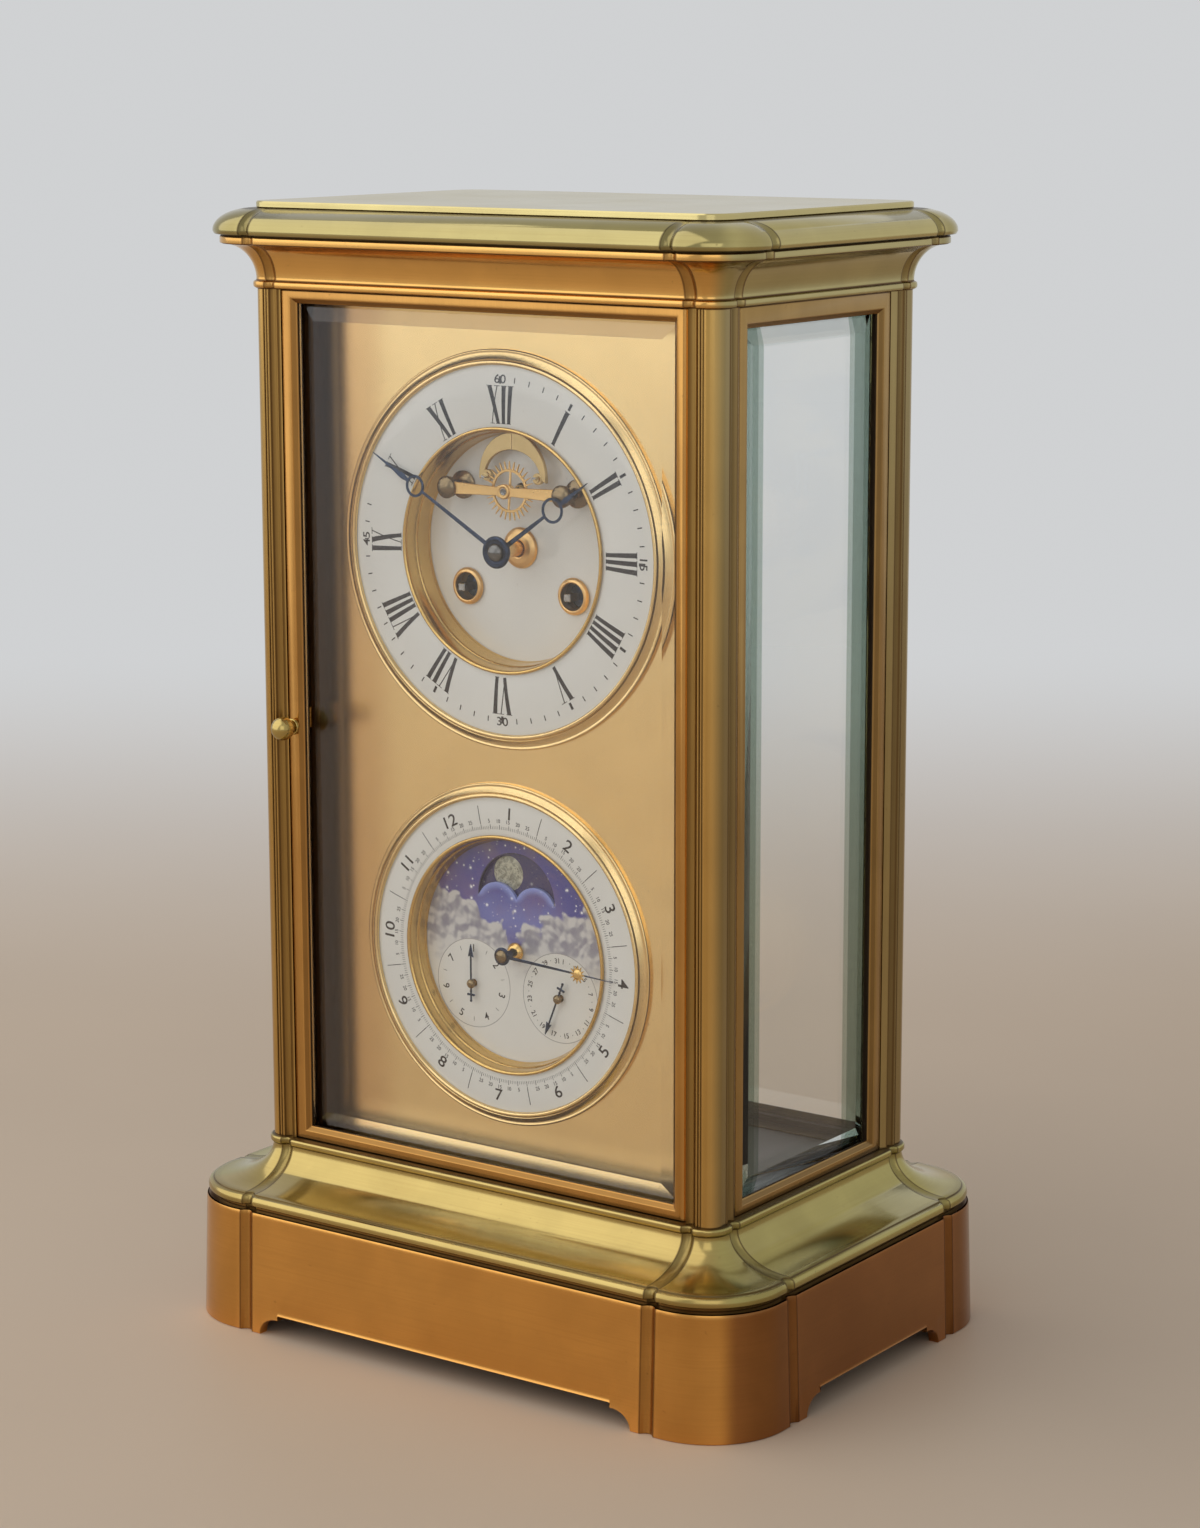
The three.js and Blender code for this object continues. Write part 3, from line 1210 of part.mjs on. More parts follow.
const palletCircle = ESCAPE_TIP + PALLET_GAP + PALLET_RADIUS;
const palletX = palletCircle * Math.cos(radians(PALLET_ANGLE));
const palletZ = ESCAPE_RISE + palletCircle * Math.sin(radians(PALLET_ANGLE));

// The anchor turns on its own arbor: crescent arch, two half-round pallets, and the crutch behind
function anchor() {
  const archZ = palletZ - PALLET_RISE;
  const outer = arc(0, archZ, ARCH_OUTER - 0.6, -6, 186, 14);
  const inner = arc(0, archZ - 1, ARCH_INNER - 0.6, 176, 4, 12);
  const arch = slab(new THREE.Shape([...outer, ...inner]), ARCH_PLANE, ARCH_PLANE + ARCH_THICK);
  const pallets = [-1, 1].map((side) => {
    const pin = rod(PALLET_RADIUS, ESCAPE_PLANE - 0.5, ARCH_PLANE + 0.4);
    const seat = rod(2, ARCH_PLANE, ARCH_PLANE + ARCH_THICK, 12);
    return moved(join(pin, seat), side * palletX, 0, archZ);
  });
  const front = PENDULUM_Y - 5.8;
  const back = PENDULUM_Y - 4.4;
  const foot = 3 - CRUTCH_LENGTH;
  const near = ROD_RADIUS + GAP;
  const far = near + 1.1;
  return join(
    arch,
    ...pallets,
    rod(2, ARCH_PLANE, ARCH_PLANE + ARCH_THICK),
    rod(PALLET_SHAFT, ARCH_PLANE, back),
    rod(2.2, front, back),
    box(-CRUTCH_HALF, CRUTCH_HALF, front, back, -CRUTCH_LENGTH, 0),
    box(-far, far, front, back, -CRUTCH_LENGTH, foot),
    box(near, far, front, PENDULUM_Y + 2, -CRUTCH_LENGTH, foot),
    box(-far, -near, front, PENDULUM_Y + 2, -CRUTCH_LENGTH, foot),
  );
}

function cock() {
  const end = COCK_FRONT + COCK_THICK;
  const bar = slab(new THREE.Shape([
    v2(-COCK_HALF, -2.2), v2(0, -1.5), v2(COCK_HALF, -2.2),
    v2(COCK_HALF, 2.2), v2(0, 1.5), v2(-COCK_HALF, 2.2),
  ]), COCK_FRONT, end);
  const boss = rod(2.6, COCK_FRONT - 0.5, end, 12);
  const hole = holeFor(THIN_SHAFT, COCK_FRONT - 0.1, end + 1);
  const flangeFront = sunkFront(TIME_DIAL) - 1.5;
  const posts = [-1, 1].map((side) => moved(turned([
    [0, COCK_FRONT - 2], [COCK_HEAD * 0.7, COCK_FRONT - 1.6], [COCK_HEAD, COCK_FRONT - 0.4],
    [COCK_HEAD, end + 0.4], [COCK_POST, end + 0.4], [COCK_POST, flangeFront], [COCK_FLANGE, flangeFront],
    [COCK_FLANGE, sunkFront(TIME_DIAL) - GAP], [COCK_POST, sunkFront(TIME_DIAL) - GAP],
    [COCK_POST, FRONT_PLATE_Y - 0.2], [0, FRONT_PLATE_Y - 0.2],
  ], SHAFT_SIDES), side * COCK_HALF, 0, 0));
  return cut(join(bar, boss, ...posts), hole);
}

function pendulum(time) {
  const top = -0.1;
  const bobAt = -PENDULUM_LENGTH;
  const nutTop = bobAt - BOB_RADIUS - BOB_GAP;
  const nutLow = nutTop - NUT_HEIGHT;
  const upright = (radius, sides, z0, z1) => column(
    new THREE.Shape(ringPoints(0, PENDULUM_Y, radius, sides)), z0, z1,
  );
  add("pendulum_rod", join(
    upright(ROD_RADIUS, SHAFT_SIDES, nutLow - ROD_TAIL, top - ROD_TAIL),
    box(-HOOK_HALF, HOOK_HALF, PENDULUM_Y - HOOK_THICK, PENDULUM_Y + HOOK_THICK, top - ROD_HOOK, top),
    upright(NUT_RADIUS, DRUM_SIDES, nutLow, nutTop),
  ), STEEL, time, 0, 0, PALLET_RISE);
  const lens = turned([
    [0, -BOB_THICK / 2], [BOB_RADIUS * 0.7, -BOB_THICK * 0.4], [BOB_RADIUS, -0.6],
    [BOB_RADIUS, 0.6], [BOB_RADIUS * 0.7, BOB_THICK * 0.4], [0, BOB_THICK / 2],
  ], 24);
  const wayRadius = (ROD_RADIUS + RUN) / Math.cos(Math.PI / SHAFT_SIDES);
  const way = column(new THREE.Shape(ringPoints(0, 0, wayRadius)), -BOB_RADIUS - 5, BOB_RADIUS + 5);
  const bob = moved(cut(lens, way), 0, PENDULUM_Y, bobAt);
  add("pendulum_bob", bob, BRASS, time, 0, 0, PALLET_RISE);
}

function movement() {
  const time = centredGroup(0, TIME_DIAL.height);
  add("movement_front_plate", frontPlate(), BRASS, time);
  add("movement_back_plate", backPlate(), BRASS, time);
  add("suspension_cock", suspensionCock(), BRASS, time);
  add("bell", bell(), BRASS, time, BELL_X, 0, -BELL_DROP);
  motionWork(time);
  hands(time);
  barrels(time);
  train(time);
  hammer(time);
  add("escapement_cock", cock(), BRASS, time, 0, 0, ESCAPE_RISE);
  add("escape_wheel", escapeWheel(), BRASS, time, 0, 0, ESCAPE_RISE);
  add("anchor", anchor(), BRASS, time, 0, 0, PALLET_RISE);
  pendulum(time);
  const regulator = rod(REGULATOR_RADIUS, enamelFront + SEAT, backPlateEnd + REGULATOR_REACH);
  add("regulator_arbor", regulator, STEEL, time, 0, 0, REGULATOR_RISE);
}

// Calendar

const calendarSunk = sunkFront(CALENDAR_DIAL);
const calendarHandY = calendarSunk - 2;

// A small arrow hand with a cross tail, its arbor and its star wheel
function smallHand({ points, radius }, angle) {
  const arrow = new THREE.Shape([
    v2(-0.35, -SMALL_TAIL), v2(0.35, -SMALL_TAIL), v2(0.35, SMALL_LENGTH - 4), v2(1.3, SMALL_LENGTH - 4),
    v2(0.1, SMALL_LENGTH), v2(-0.1, SMALL_LENGTH), v2(-1.3, SMALL_LENGTH - 4), v2(-0.35, SMALL_LENGTH - 4),
  ]);
  const star = [];
  for (let i = 0; i < points; i += 1) {
    const a = (i * 360) / points;
    star.push(polar(radius, a), polar(radius * 0.8, a + 180 / points));
  }
  const handBack = calendarHandY + SMALL_THICK;
  const half = 1.4;
  const cross = box(-half, half, calendarHandY, handBack, half - SMALL_TAIL, 2 * half - SMALL_TAIL);
  const starFront = calendarSunk + STAR_BEHIND;
  return join(
    slab(arrow, calendarHandY, handBack).rotateY(radians(angle)),
    cross.rotateY(radians(angle)),
    rod(SMALL_HUB, calendarHandY - SMALL_THICK, calendarHandY + 0.8),
    rod(SMALL_SHAFT, calendarHandY, CALENDAR_BACK_Y + 1.6),
    slab(new THREE.Shape(star), starFront, starFront + WHEEL_THICK),
  );
}

function monthHand() {
  const y = enamelFront - MONTH_STAND;
  const needle = new THREE.Shape([
    v2(-MONTH_HALF, 0), v2(MONTH_HALF, 0), v2(MONTH_POINT, MONTH_LENGTH), v2(-MONTH_POINT, MONTH_LENGTH),
  ]);
  const sun = [];
  for (let i = 0; i < 12; i += 1) {
    const a = i * 30;
    sun.push(polar(SUN_RADIUS, a, 0, SUN_AT), polar(SUN_RADIUS * 0.6, a + 15, 0, SUN_AT));
  }
  const drawn = join(
    slab(needle, y, y + SMALL_THICK),
    slab(new THREE.Shape(sun), y - 0.3, y + 0.4),
    turned([
      [0, y - MONTH_STAND], [MONTH_HUB * 0.75, y - 1.2], [MONTH_HUB, y + 0.6], [0, y + 0.6],
    ], PIPE_SIDES),
  ).rotateY(radians(MONTH_TIME));
  return join(
    drawn,
    rod(MONTH_SHAFT, y, CALENDAR_BACK_Y + 1.6),
    turned([
      [0, calendarSunk - 1.8], [MONTH_HUB, calendarSunk - 1.5],
      [MONTH_BOSS, calendarSunk - 0.5], [0, calendarSunk - 0.5],
    ], PIPE_SIDES),
  );
}

function moonDisc() {
  const front = calendarSunk + ENAMEL_THICK + 0.5;
  const disc = rod(MOON_DISC, front, front + 0.8, DIAL_SIDES);
  const moons = [MOON_BEARING, MOON_BEARING + 180].map((bearingNow) => {
    const at = polar(MOON_ORBIT, bearingNow);
    return moved(rod(MOON_RADIUS, front - 0.2, front + 0.4, DRUM_SIDES), at.x, 0, at.y);
  });
  return join(disc, ...moons, rod(MOON_SHAFT, front, CALENDAR_BACK_Y + 1.6));
}

function calendarBack() {
  const shape = new THREE.Shape(ringPoints(0, 0, CALENDAR_BACK_RADIUS, DIAL_SIDES));
  const centres = [
    [0, 0, MONTH_SHAFT], [0, MOON_RISE, MOON_SHAFT],
    [-SUBDIAL_X, -SUBDIAL_DROP, SMALL_SHAFT], [SUBDIAL_X, -SUBDIAL_DROP, SMALL_SHAFT],
  ];
  for (const [x, z, r] of centres) shape.holes.push(shaftHole(x, z, r));
  const plate = slab(shape, CALENDAR_BACK_Y, CALENDAR_BACK_Y + 2);
  const feet = [45, 135, 225, 315].map((a) => {
    const at = polar(CALENDAR_BACK_RADIUS - 2.6, a);
    return moved(rod(1.6, PLATE_FRONT + PLATE_THICK + GAP, CALENDAR_BACK_Y + 1), at.x, 0, at.y);
  });
  return join(plate, ...feet);
}

function calendar() {
  const works = centredGroup(0, CALENDAR_DIAL.height);
  add("calendar_back_plate", calendarBack(), BRASS, works);
  add("moon_disc", moonDisc(), SKY, works, 0, 0, MOON_RISE);
  add("month_hand", monthHand(), BLUED, works);
  add("weekday_hand", smallHand(WEEKDAY_STAR, 0), BLUED, works, -SUBDIAL_X, 0, -SUBDIAL_DROP);
  add("date_hand", smallHand(DATE_STAR, DATE_TIME), BLUED, works, SUBDIAL_X, 0, -SUBDIAL_DROP);
}

casework();
dials();
movement();
calendar();

export default group;
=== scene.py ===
"""Regulator clock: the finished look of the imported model, laid out as a Blender add-on."""

import json
import math
from collections import namedtuple
from functools import partial
from types import SimpleNamespace

import bmesh
import bpy
from bpy.props import FloatProperty, FloatVectorProperty, PointerProperty
from mathutils import Matrix, Vector
from mathutils.geometry import tessellate_polygon


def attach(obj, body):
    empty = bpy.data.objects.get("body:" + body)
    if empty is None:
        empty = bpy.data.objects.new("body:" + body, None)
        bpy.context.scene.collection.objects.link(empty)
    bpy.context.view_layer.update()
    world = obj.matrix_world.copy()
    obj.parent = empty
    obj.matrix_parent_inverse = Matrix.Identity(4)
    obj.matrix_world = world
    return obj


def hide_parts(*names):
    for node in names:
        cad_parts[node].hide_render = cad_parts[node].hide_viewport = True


bl_info = {
    "name": "Regulator clock",
    "version": (1, 0, 0),
    "blender": (4, 5, 0),
    "location": "View3D > Sidebar > Clock",
    "description": "Builds the four-glass regulator clock piece by piece round its packed model",
    "category": "Add Mesh",
}

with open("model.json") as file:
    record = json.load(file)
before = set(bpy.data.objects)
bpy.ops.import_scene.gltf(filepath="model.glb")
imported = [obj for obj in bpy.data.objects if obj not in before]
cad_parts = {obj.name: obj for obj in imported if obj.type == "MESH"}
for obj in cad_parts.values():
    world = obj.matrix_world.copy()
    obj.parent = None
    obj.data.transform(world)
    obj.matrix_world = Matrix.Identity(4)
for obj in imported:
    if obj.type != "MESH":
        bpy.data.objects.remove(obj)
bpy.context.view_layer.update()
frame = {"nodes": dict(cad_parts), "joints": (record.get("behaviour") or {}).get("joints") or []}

MM = 0.001
WELD = 0.002                  # points closer than this, in millimetres, become one
SHARP = math.radians(36)      # edges that turn further stay crisp

# Case plan and levels, in millimetres
FLUTE_X = 88                  # where the corner flutes run, on the front and on the sides
FLUTE_Y = 52
CORNER_SKEW = 35.3            # x less y at the middle of a round corner
INSIDE_X = 94.3               # what lies within these is inside the case
INSIDE_Y = 60
FLUTE_DEPTH = 1.7
PLINTH_FLUTE = 2.7
MOULDING_FLUTE = 2.2
PILLAR_FLUTE = 1.8
LOBE_ROUNDING = 0.9
PLINTH_TOP = 45
MOULDING_TOP = 66.4
PILLAR_TOP = 373.3
COVE_TOP = 391.6
OVOLO_TOP = 401
TOTAL_HEIGHT = 403.4
RING_OUT = 1.9
RING_THICK = 2.8
FILLET_OUT = 12.9
FILLET_THICK = 2.6
TOP_OUT = 1.1
TOP_CORNER = 8
CUT_HALF_X = 73.1
CUT_HALF_Y = 35.7
CUT_CURVE = 7.6
CUT_STEP = 1.8
CUT_HEIGHT = 8.2
OPENING_X = 85.2
OPENING_Y = 46.9

# Pillars and glazed frames
PILLAR_INNER_X = 85.5
PILLAR_INNER_Y = 47.3
PILLAR_ROUND = 5.2
REED = 1.2
DOOR_FACE_Y = 61.6
DOOR_HALF = 85.2
DOOR_OPEN_HALF = 79.3
SIDE_FACE_X = 96
SIDE_HALF = 47
SIDE_OPEN_HALF = 41
FRAME_DEPTH = 9
FRAME_LIP = 2.6
REBATE = 2.4
FRAME_GAP = 0.3
DOOR_OPEN = (71.5, 368.4)
SIDE_OPEN = (71.1, 365.7)
CATCH_HEIGHT = 219
PIVOT_INSET = 2.2
HINGE_ROUND = 2.2

# Dials
PLATE_FRONT = -44.8
ENAMEL_FRONT = -46.4
ENAMEL_THICK = 1.4
DOME = 0.55                   # how far an enamel ring swells forward of its edges
TIME_DIAL = SimpleNamespace(height=286.5, enamel=63.5, bezel=69.0, inner=42.65, sunk=11.1)
CALENDAR_DIAL = SimpleNamespace(height=144.2, enamel=56.0, bezel=61.2, inner=42.9, sunk=6.8)
TIME_SUNK = ENAMEL_FRONT + TIME_DIAL.sunk
CALENDAR_SUNK = ENAMEL_FRONT + CALENDAR_DIAL.sunk
WINDING_X = 22.6
WINDING_DROP = 15
INK = 0.045                   # thickness of printed figures

FULL_RELIEF = 0.03            # strength of brushed brass's bump


# Plane geometry

def polar(radius, degrees, x=0.0, z=0.0):
    """The point at this radius, this many degrees clockwise from straight up."""
    a = math.radians(degrees)
    return x + radius * math.sin(a), z + radius * math.cos(a)


def arc(x, z, radius, start, end, steps):
    """Points on a circle, by degrees anticlockwise from the right."""
    turns = (math.radians(start + (end - start) * i / steps) for i in range(steps + 1))
    return [(x + radius * math.cos(a), z + radius * math.sin(a)) for a in turns]


def circle(x, z, radius, sides=64):
    """A closed circle of points, anticlockwise from the right."""
    return arc(x, z, radius, 0, 360 - 360 / sides, sides - 1)


def rounded(points, radius, steps=3, closed=True):
    """The same line with each corner turned into a small curve."""
    made = []
    count = len(points)
    for i, (x, z) in enumerate(points):
        if not closed and i in (0, count - 1):
            made.append((x, z))
            continue
        here = Vector((x, z))
        before = Vector(points[i - 1]) - here
        after = Vector(points[(i + 1) % count]) - here
        reach = min(radius, before.length * 0.45, after.length * 0.45)
        if reach < 1e-4:
            made.append((x, z))
            continue
        a, b = here + before.normalized() * reach, here + after.normalized() * reach
        for k in range(steps + 1):
            t = k / steps
            made.append(tuple(a * (1 - t) ** 2 + here * 2 * t * (1 - t) + b * t * t))
    return made


def inset(points, distance):
    """A closed anticlockwise line moved inwards by this distance."""
    made = []
    count = len(points)
    for i, (x, z) in enumerate(points):
        before = Vector((x - points[i - 1][0], z - points[i - 1][1]))
        after = Vector((points[(i + 1) % count][0] - x, points[(i + 1) % count][1] - z))
        before, after = before.normalized(), after.normalized()
        side = Vector((-before.y - after.y, before.x + after.x))
        share = max(0.35, 1 + before.dot(after))
        made.append((x + side.x * distance / share, z + side.y * distance / share))
    return made


def anticlockwise(points):
    """The same closed line, turned round if it runs clockwise."""
    area = sum(a[0] * b[1] - b[0] * a[1] for a, b in zip([points[-1], *points], points))
    return points if area > 0 else points[::-1]


def rectangle(x0, x1, z0, z1, corner=0.0, steps=3):
    """A rectangle, anticlockwise, with rounded corners if asked."""
    points = [(x0, z0), (x1, z0), (x1, z1), (x0, z1)]
    return rounded(points, corner, steps) if corner else points


def both_sides(right):
    """A closed outline from its right half, which runs upwards."""
    return [(-u, w) for u, w in reversed(right)] + right


def turns(steps, span=math.pi / 2):
    """Equal steps of an angle from 0 to this span."""
    return [span * i / steps for i in range(steps + 1)]


def quarter(start, end, steps):
    """A quarter of an ellipse between two points of a moulding, upright at the first."""
    (out0, z0), (out1, z1) = start, end
    return [(out0 + (out1 - out0) * (1 - math.cos(t)), z0 + (z1 - z0) * math.sin(t)) for t in turns(steps)]


class Shape:
    """Points and faces of a piece, in millimetres, gathered from simple forms."""

    def __init__(self, x=0.0, z=0.0, y=0.0):
        self.points, self.faces, self.origin = [], [], (x, y, z)

    def add(self, points, faces):
        start = len(self.points)
        ox, oy, oz = self.origin
        self.points += [(x + ox, y + oy, z + oz) for x, y, z in points]
        self.faces += [[start + i for i in face] for face in faces]
        return self

    def join(self, *others):
        """Takes up other shapes."""
        for other in others:
            self.add(other.points, other.faces)
        return self

    def skin(self, rows, closed=False, caps=True):
        """A skin over equal closed rows of points."""
        n = len(rows[0])
        faces = []
        for r in range(len(rows) if closed else len(rows) - 1):
            low, high = r * n, (r + 1) % len(rows) * n
            faces += [
                (low + i, low + (i + 1) % n, high + (i + 1) % n, high + i) for i in range(n)
            ]
        if caps and not closed:
            faces += [tuple(range(n)), tuple(range((len(rows) - 1) * n, len(rows) * n))]
        return self.add([p for row in rows for p in row], faces)

    def lathe(self, profile, x=0.0, z=0.0, sides=72, closed=False, upright=False, soft=0.0, steps=3):
        """A profile of (radius, depth) points, softened if asked, turned about a level or upright axis."""
        if soft:
            profile = rounded(profile, soft, steps, closed)
        def place(r, y, a):
            u, w = r * math.cos(a), r * math.sin(a)
            return (x + u, z + w, y) if upright else (x + u, y, z + w)
        rows = [[place(r, y, 2 * math.pi * i / sides) for i in range(sides)] for r, y in profile]
        return self.skin(rows, closed, caps=False)

    def rod(self, radius, y0, y1, x=0.0, z=0.0, edge=0.12, sides=32):
        edge = min(edge, radius / 2)
        profile = [(0, y0), (radius - edge, y0), (radius, y0 + edge),
                   (radius, y1 - edge), (radius - edge, y1), (0, y1)]
        return self.lathe(profile, x, z, sides)

    def plate(self, outline, holes, y0, y1, edge=0.12, upright=False):
        """A flat plate with holes and softened edges, drawn in the dial's plane or in plan."""
        lines = [anticlockwise(outline)] + [anticlockwise(hole)[::-1] for hole in holes]
        rows = []
        for y, distance in ((y0, edge), (y0 + edge, 0), (y1 - edge, 0), (y1, edge)):
            rows.append([(inset(line, distance) if distance else line, y) for line in lines])
        points, faces, first = [], [], []
        for row in rows:
            first.append(len(points))
            for line, y in row:
                points += [(u, w, y) if upright else (u, y, w) for u, w in line]
        start = 0
        for line in lines:
            n = len(line)
            for r in range(3):
                low, high = first[r] + start, first[r + 1] + start
                faces += [
                    (low + i, low + (i + 1) % n, high + (i + 1) % n, high + i) for i in range(n)
                ]
            start += n
        caps = tessellate_polygon([[Vector((u, w, 0)) for u, w in inset(line, edge)] for line in lines])
        faces += [tuple(first[0] + i for i in face) for face in caps]
        faces += [tuple(first[3] + i for i in face) for face in caps]
        return self.add(points, faces)

    def block(self, x0, x1, y0, y1, z0, z1, edge=0.2):
        return self.plate(rectangle(x0, x1, z0, z1, edge, 2), [], y0, y1, edge)

    def turned(self, degrees, x=0.0, z=0.0):
        """Turns what is gathered clockwise about a point, as seen from the front."""
        c, s = math.cos(math.radians(degrees)), math.sin(math.radians(degrees))
        self.points = [
            (x + (u - x) * c + (w - z) * s, y, z - (u - x) * s + (w - z) * c)
            for u, y, w in self.points
        ]
        return self

    def mesh(self, name):
        """A clean mesh in metres, with a relief value at each point: hollows above 0, edges below."""
        mesh = bpy.data.meshes.new(name)
        mesh.from_pydata([Vector(p) * MM for p in self.points], [], self.faces)
        bm = bmesh.new()
        bm.from_mesh(mesh)
        bmesh.ops.remove_doubles(bm, verts=bm.verts, dist=WELD * MM)
        bmesh.ops.dissolve_degenerate(bm, dist=WELD * MM / 4, edges=bm.edges)
        bmesh.ops.recalc_face_normals(bm, faces=bm.faces)
        relief = bm.verts.layers.float.new("relief")
        bm.normal_update()
        for v in bm.verts:
            bends = [(e.other_vert(v).co - v.co).normalized().dot(v.normal) for e in v.link_edges]
            v[relief] = sum(bends) / max(1, len(bends))
        bm.to_mesh(mesh)
        bm.free()
        mesh.shade_smooth()
        mesh.set_sharp_from_angle(angle=SHARP)
        return mesh

    def turning(self, body, name, finish, replaces=None, degrees=0.0):
        """Makes this shape, turned clockwise and set on a body's axis, a piece that rides on the body."""
        at_centre(self.turned(degrees), AXIS[body]).piece(name, finish, body, replaces)

    def piece(self, name, finish, body="case", replaces=None, slot=None):
        """Makes the gathered shape a piece that rides on a body and stands for a solid of the model."""
        made = bpy.data.objects.new(name, self.mesh(name))
        bpy.context.scene.collection.objects.link(made)
        coat(made, finish)
        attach(made, body)
        if replaces:
            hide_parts(replaces)
        slot or SLOT_OF.get(finish, "polished_brass")


def at_centre(shape, centre):
    """The same shape set on an axis of the dial."""
    return Shape(*centre).join(shape)


def coat(made, finish):
    """Gives an object this finish alone."""
    made.data.materials.clear()
    made.data.materials.append(finish_of(finish))


# Shader building

def add_node(tree, kind, settings=None, *values, output=0, **named):
    """Any node: its settings first, then the values or links of its sockets, by place or by name."""
    node = tree.nodes.new(kind if kind.startswith(("Geometry", "NodeGroup")) else "ShaderNode" + kind)
    for key, value in (settings or {}).items():
        setattr(node, key, value)
    for key, value in (dict(enumerate(values)) | named).items():
        target = node.inputs[key.replace("_", " ") if isinstance(key, str) else key]
        if isinstance(value, Socket):
            tree.links.new(value.socket, target)
        elif value is not None:
            target.default_value = value
    return Socket(tree, node.outputs[output]) if node.outputs else node


class Socket:
    """A shader value that takes part in sums."""

    def __init__(self, tree, socket):
        self.tree, self.socket = tree, socket

    def output(self, name):
        """Another output of the same node."""
        return Socket(self.tree, self.socket.node.outputs[name])

    def _sum(self, operation, *values):
        return add_node(self.tree, "Math", {"operation": operation}, *values)

    def __add__(self, other):
        return self._sum("ADD", self, other)

    def __sub__(self, other):
        return self._sum("SUBTRACT", self, other)

    def __rsub__(self, other):
        return self._sum("SUBTRACT", other, self)

    def __mul__(self, other):
        return self._sum("MULTIPLY", self, other)

    def __truediv__(self, other):
        return self._sum("DIVIDE", self, other)

    def __pow__(self, other):
        return self._sum("POWER", self, other)

    def __neg__(self):
        return self._sum("MULTIPLY", self, -1.0)

    __radd__, __rmul__ = __add__, __mul__

    def least(self, other):
        return self._sum("MINIMUM", self, other)

    def most(self, other):
        return self._sum("MAXIMUM", self, other)

    def size(self):
        return self._sum("ABSOLUTE", self)

    def root(self):
        return self._sum("SQRT", self)

    def step(self, low, high, start=0.0, end=1.0):
        """Runs smoothly from start to end while the value goes from low to high."""
        settings = {"interpolation_type": "SMOOTHSTEP"}
        return add_node(self.tree, "MapRange", settings, self, low, high, start, end)


class Finish:
    """A node material under construction."""

    def __init__(self, name):
        self.material = bpy.data.materials.new(name)
        self.material.use_nodes = True
        self.tree = self.material.node_tree
        self.tree.nodes.clear()

    def node(self, kind, settings=None, *values, output=0, **named):
        return add_node(self.tree, kind, settings, *values, output=output, **named)

    def place(self):
        """Where a point of the piece lies, in metres."""
        return self.node("TexCoord", output="Object")

    def axes(self):
        split = self.node("SeparateXYZ", {}, self.place())
        return [split.output(name) for name in "XYZ"]

    def stretched(self, x, y, z, at=(0, 0, 0)):
        return self.node("Mapping", {}, self.place(), Location=at, Scale=(x, y, z))

    def noise(self, vector, scale, detail=3.0, roughness=0.5, distortion=0.0):
        return self.node(
            "TexNoise", {}, Vector=vector, Scale=scale, Detail=detail,
            Roughness=roughness, Distortion=distortion,
        )

    def relief(self):
        return self.node("Attribute", {"attribute_name": "relief"}, output="Fac")

    def mix(self, factor, a, b, blend="MIX"):
        """A colour between two colours."""
        a, b = (value if isinstance(value, Socket) else (*value[:3], 1) for value in (a, b))
        settings = {"data_type": "RGBA", "blend_type": blend}
        return self.node("Mix", settings, factor, *[None] * 5, a, b, output=2)

    def bump(self, height, strength, distance):
        return self.node("Bump", {}, Strength=strength, Distance=distance, Height=height)

    def surface(self, shader):
        """The finished material."""
        self.node("OutputMaterial", {}, Surface=shader)
        return self.material

    def principled(self, **named):
        colour = named.get("Base_Color")
        if colour is not None and not isinstance(colour, Socket):
            named["Base_Color"] = (*colour[:3], 1)
        return self.node("BsdfPrincipled", {}, **named)


SLOT_OF = {
    "plate_brass": "satin_brass", "gilt_brass": "gilt_brass", "satin_gilt": "gilt_brass",
    "wheel_brass": "gilt_brass", "aged_brass": "gilt_brass", "polished_steel": "polished_steel",
    "dark_steel": "polished_steel",
    "blued_steel": "blued_steel", "enamel": "white_enamel", "printing_ink": "white_enamel",
    "grey_ink": "white_enamel", "painted_dial": "white_enamel", "moon_sky": "night_sky",
    "moon_face": "night_sky", "glass": "bevelled_glass",
}
FINISHES = {}


def finish_of(name):
    """The material of this name, made when it is first asked for."""
    if name not in FINISHES:
        FINISHES[name] = MAKERS[name](Finish(name), bpy.context.scene.clock_finishes)
    return FINISHES[name]


def shade(colour, share):
    """A share of a colour."""
    return tinted(colour, share, share, share)


def tinted(colour, red, green, blue):
    """A colour with each channel scaled, up to 1."""
    return min(1, colour[0] * red), min(1, colour[1] * green), min(1, colour[2] * blue)


def band(value, middle, half, soft=0.3):
    """1 where a length in millimetres lies within this band."""
    return (value - middle).size().step(half * (1 + soft), half * (1 - soft))


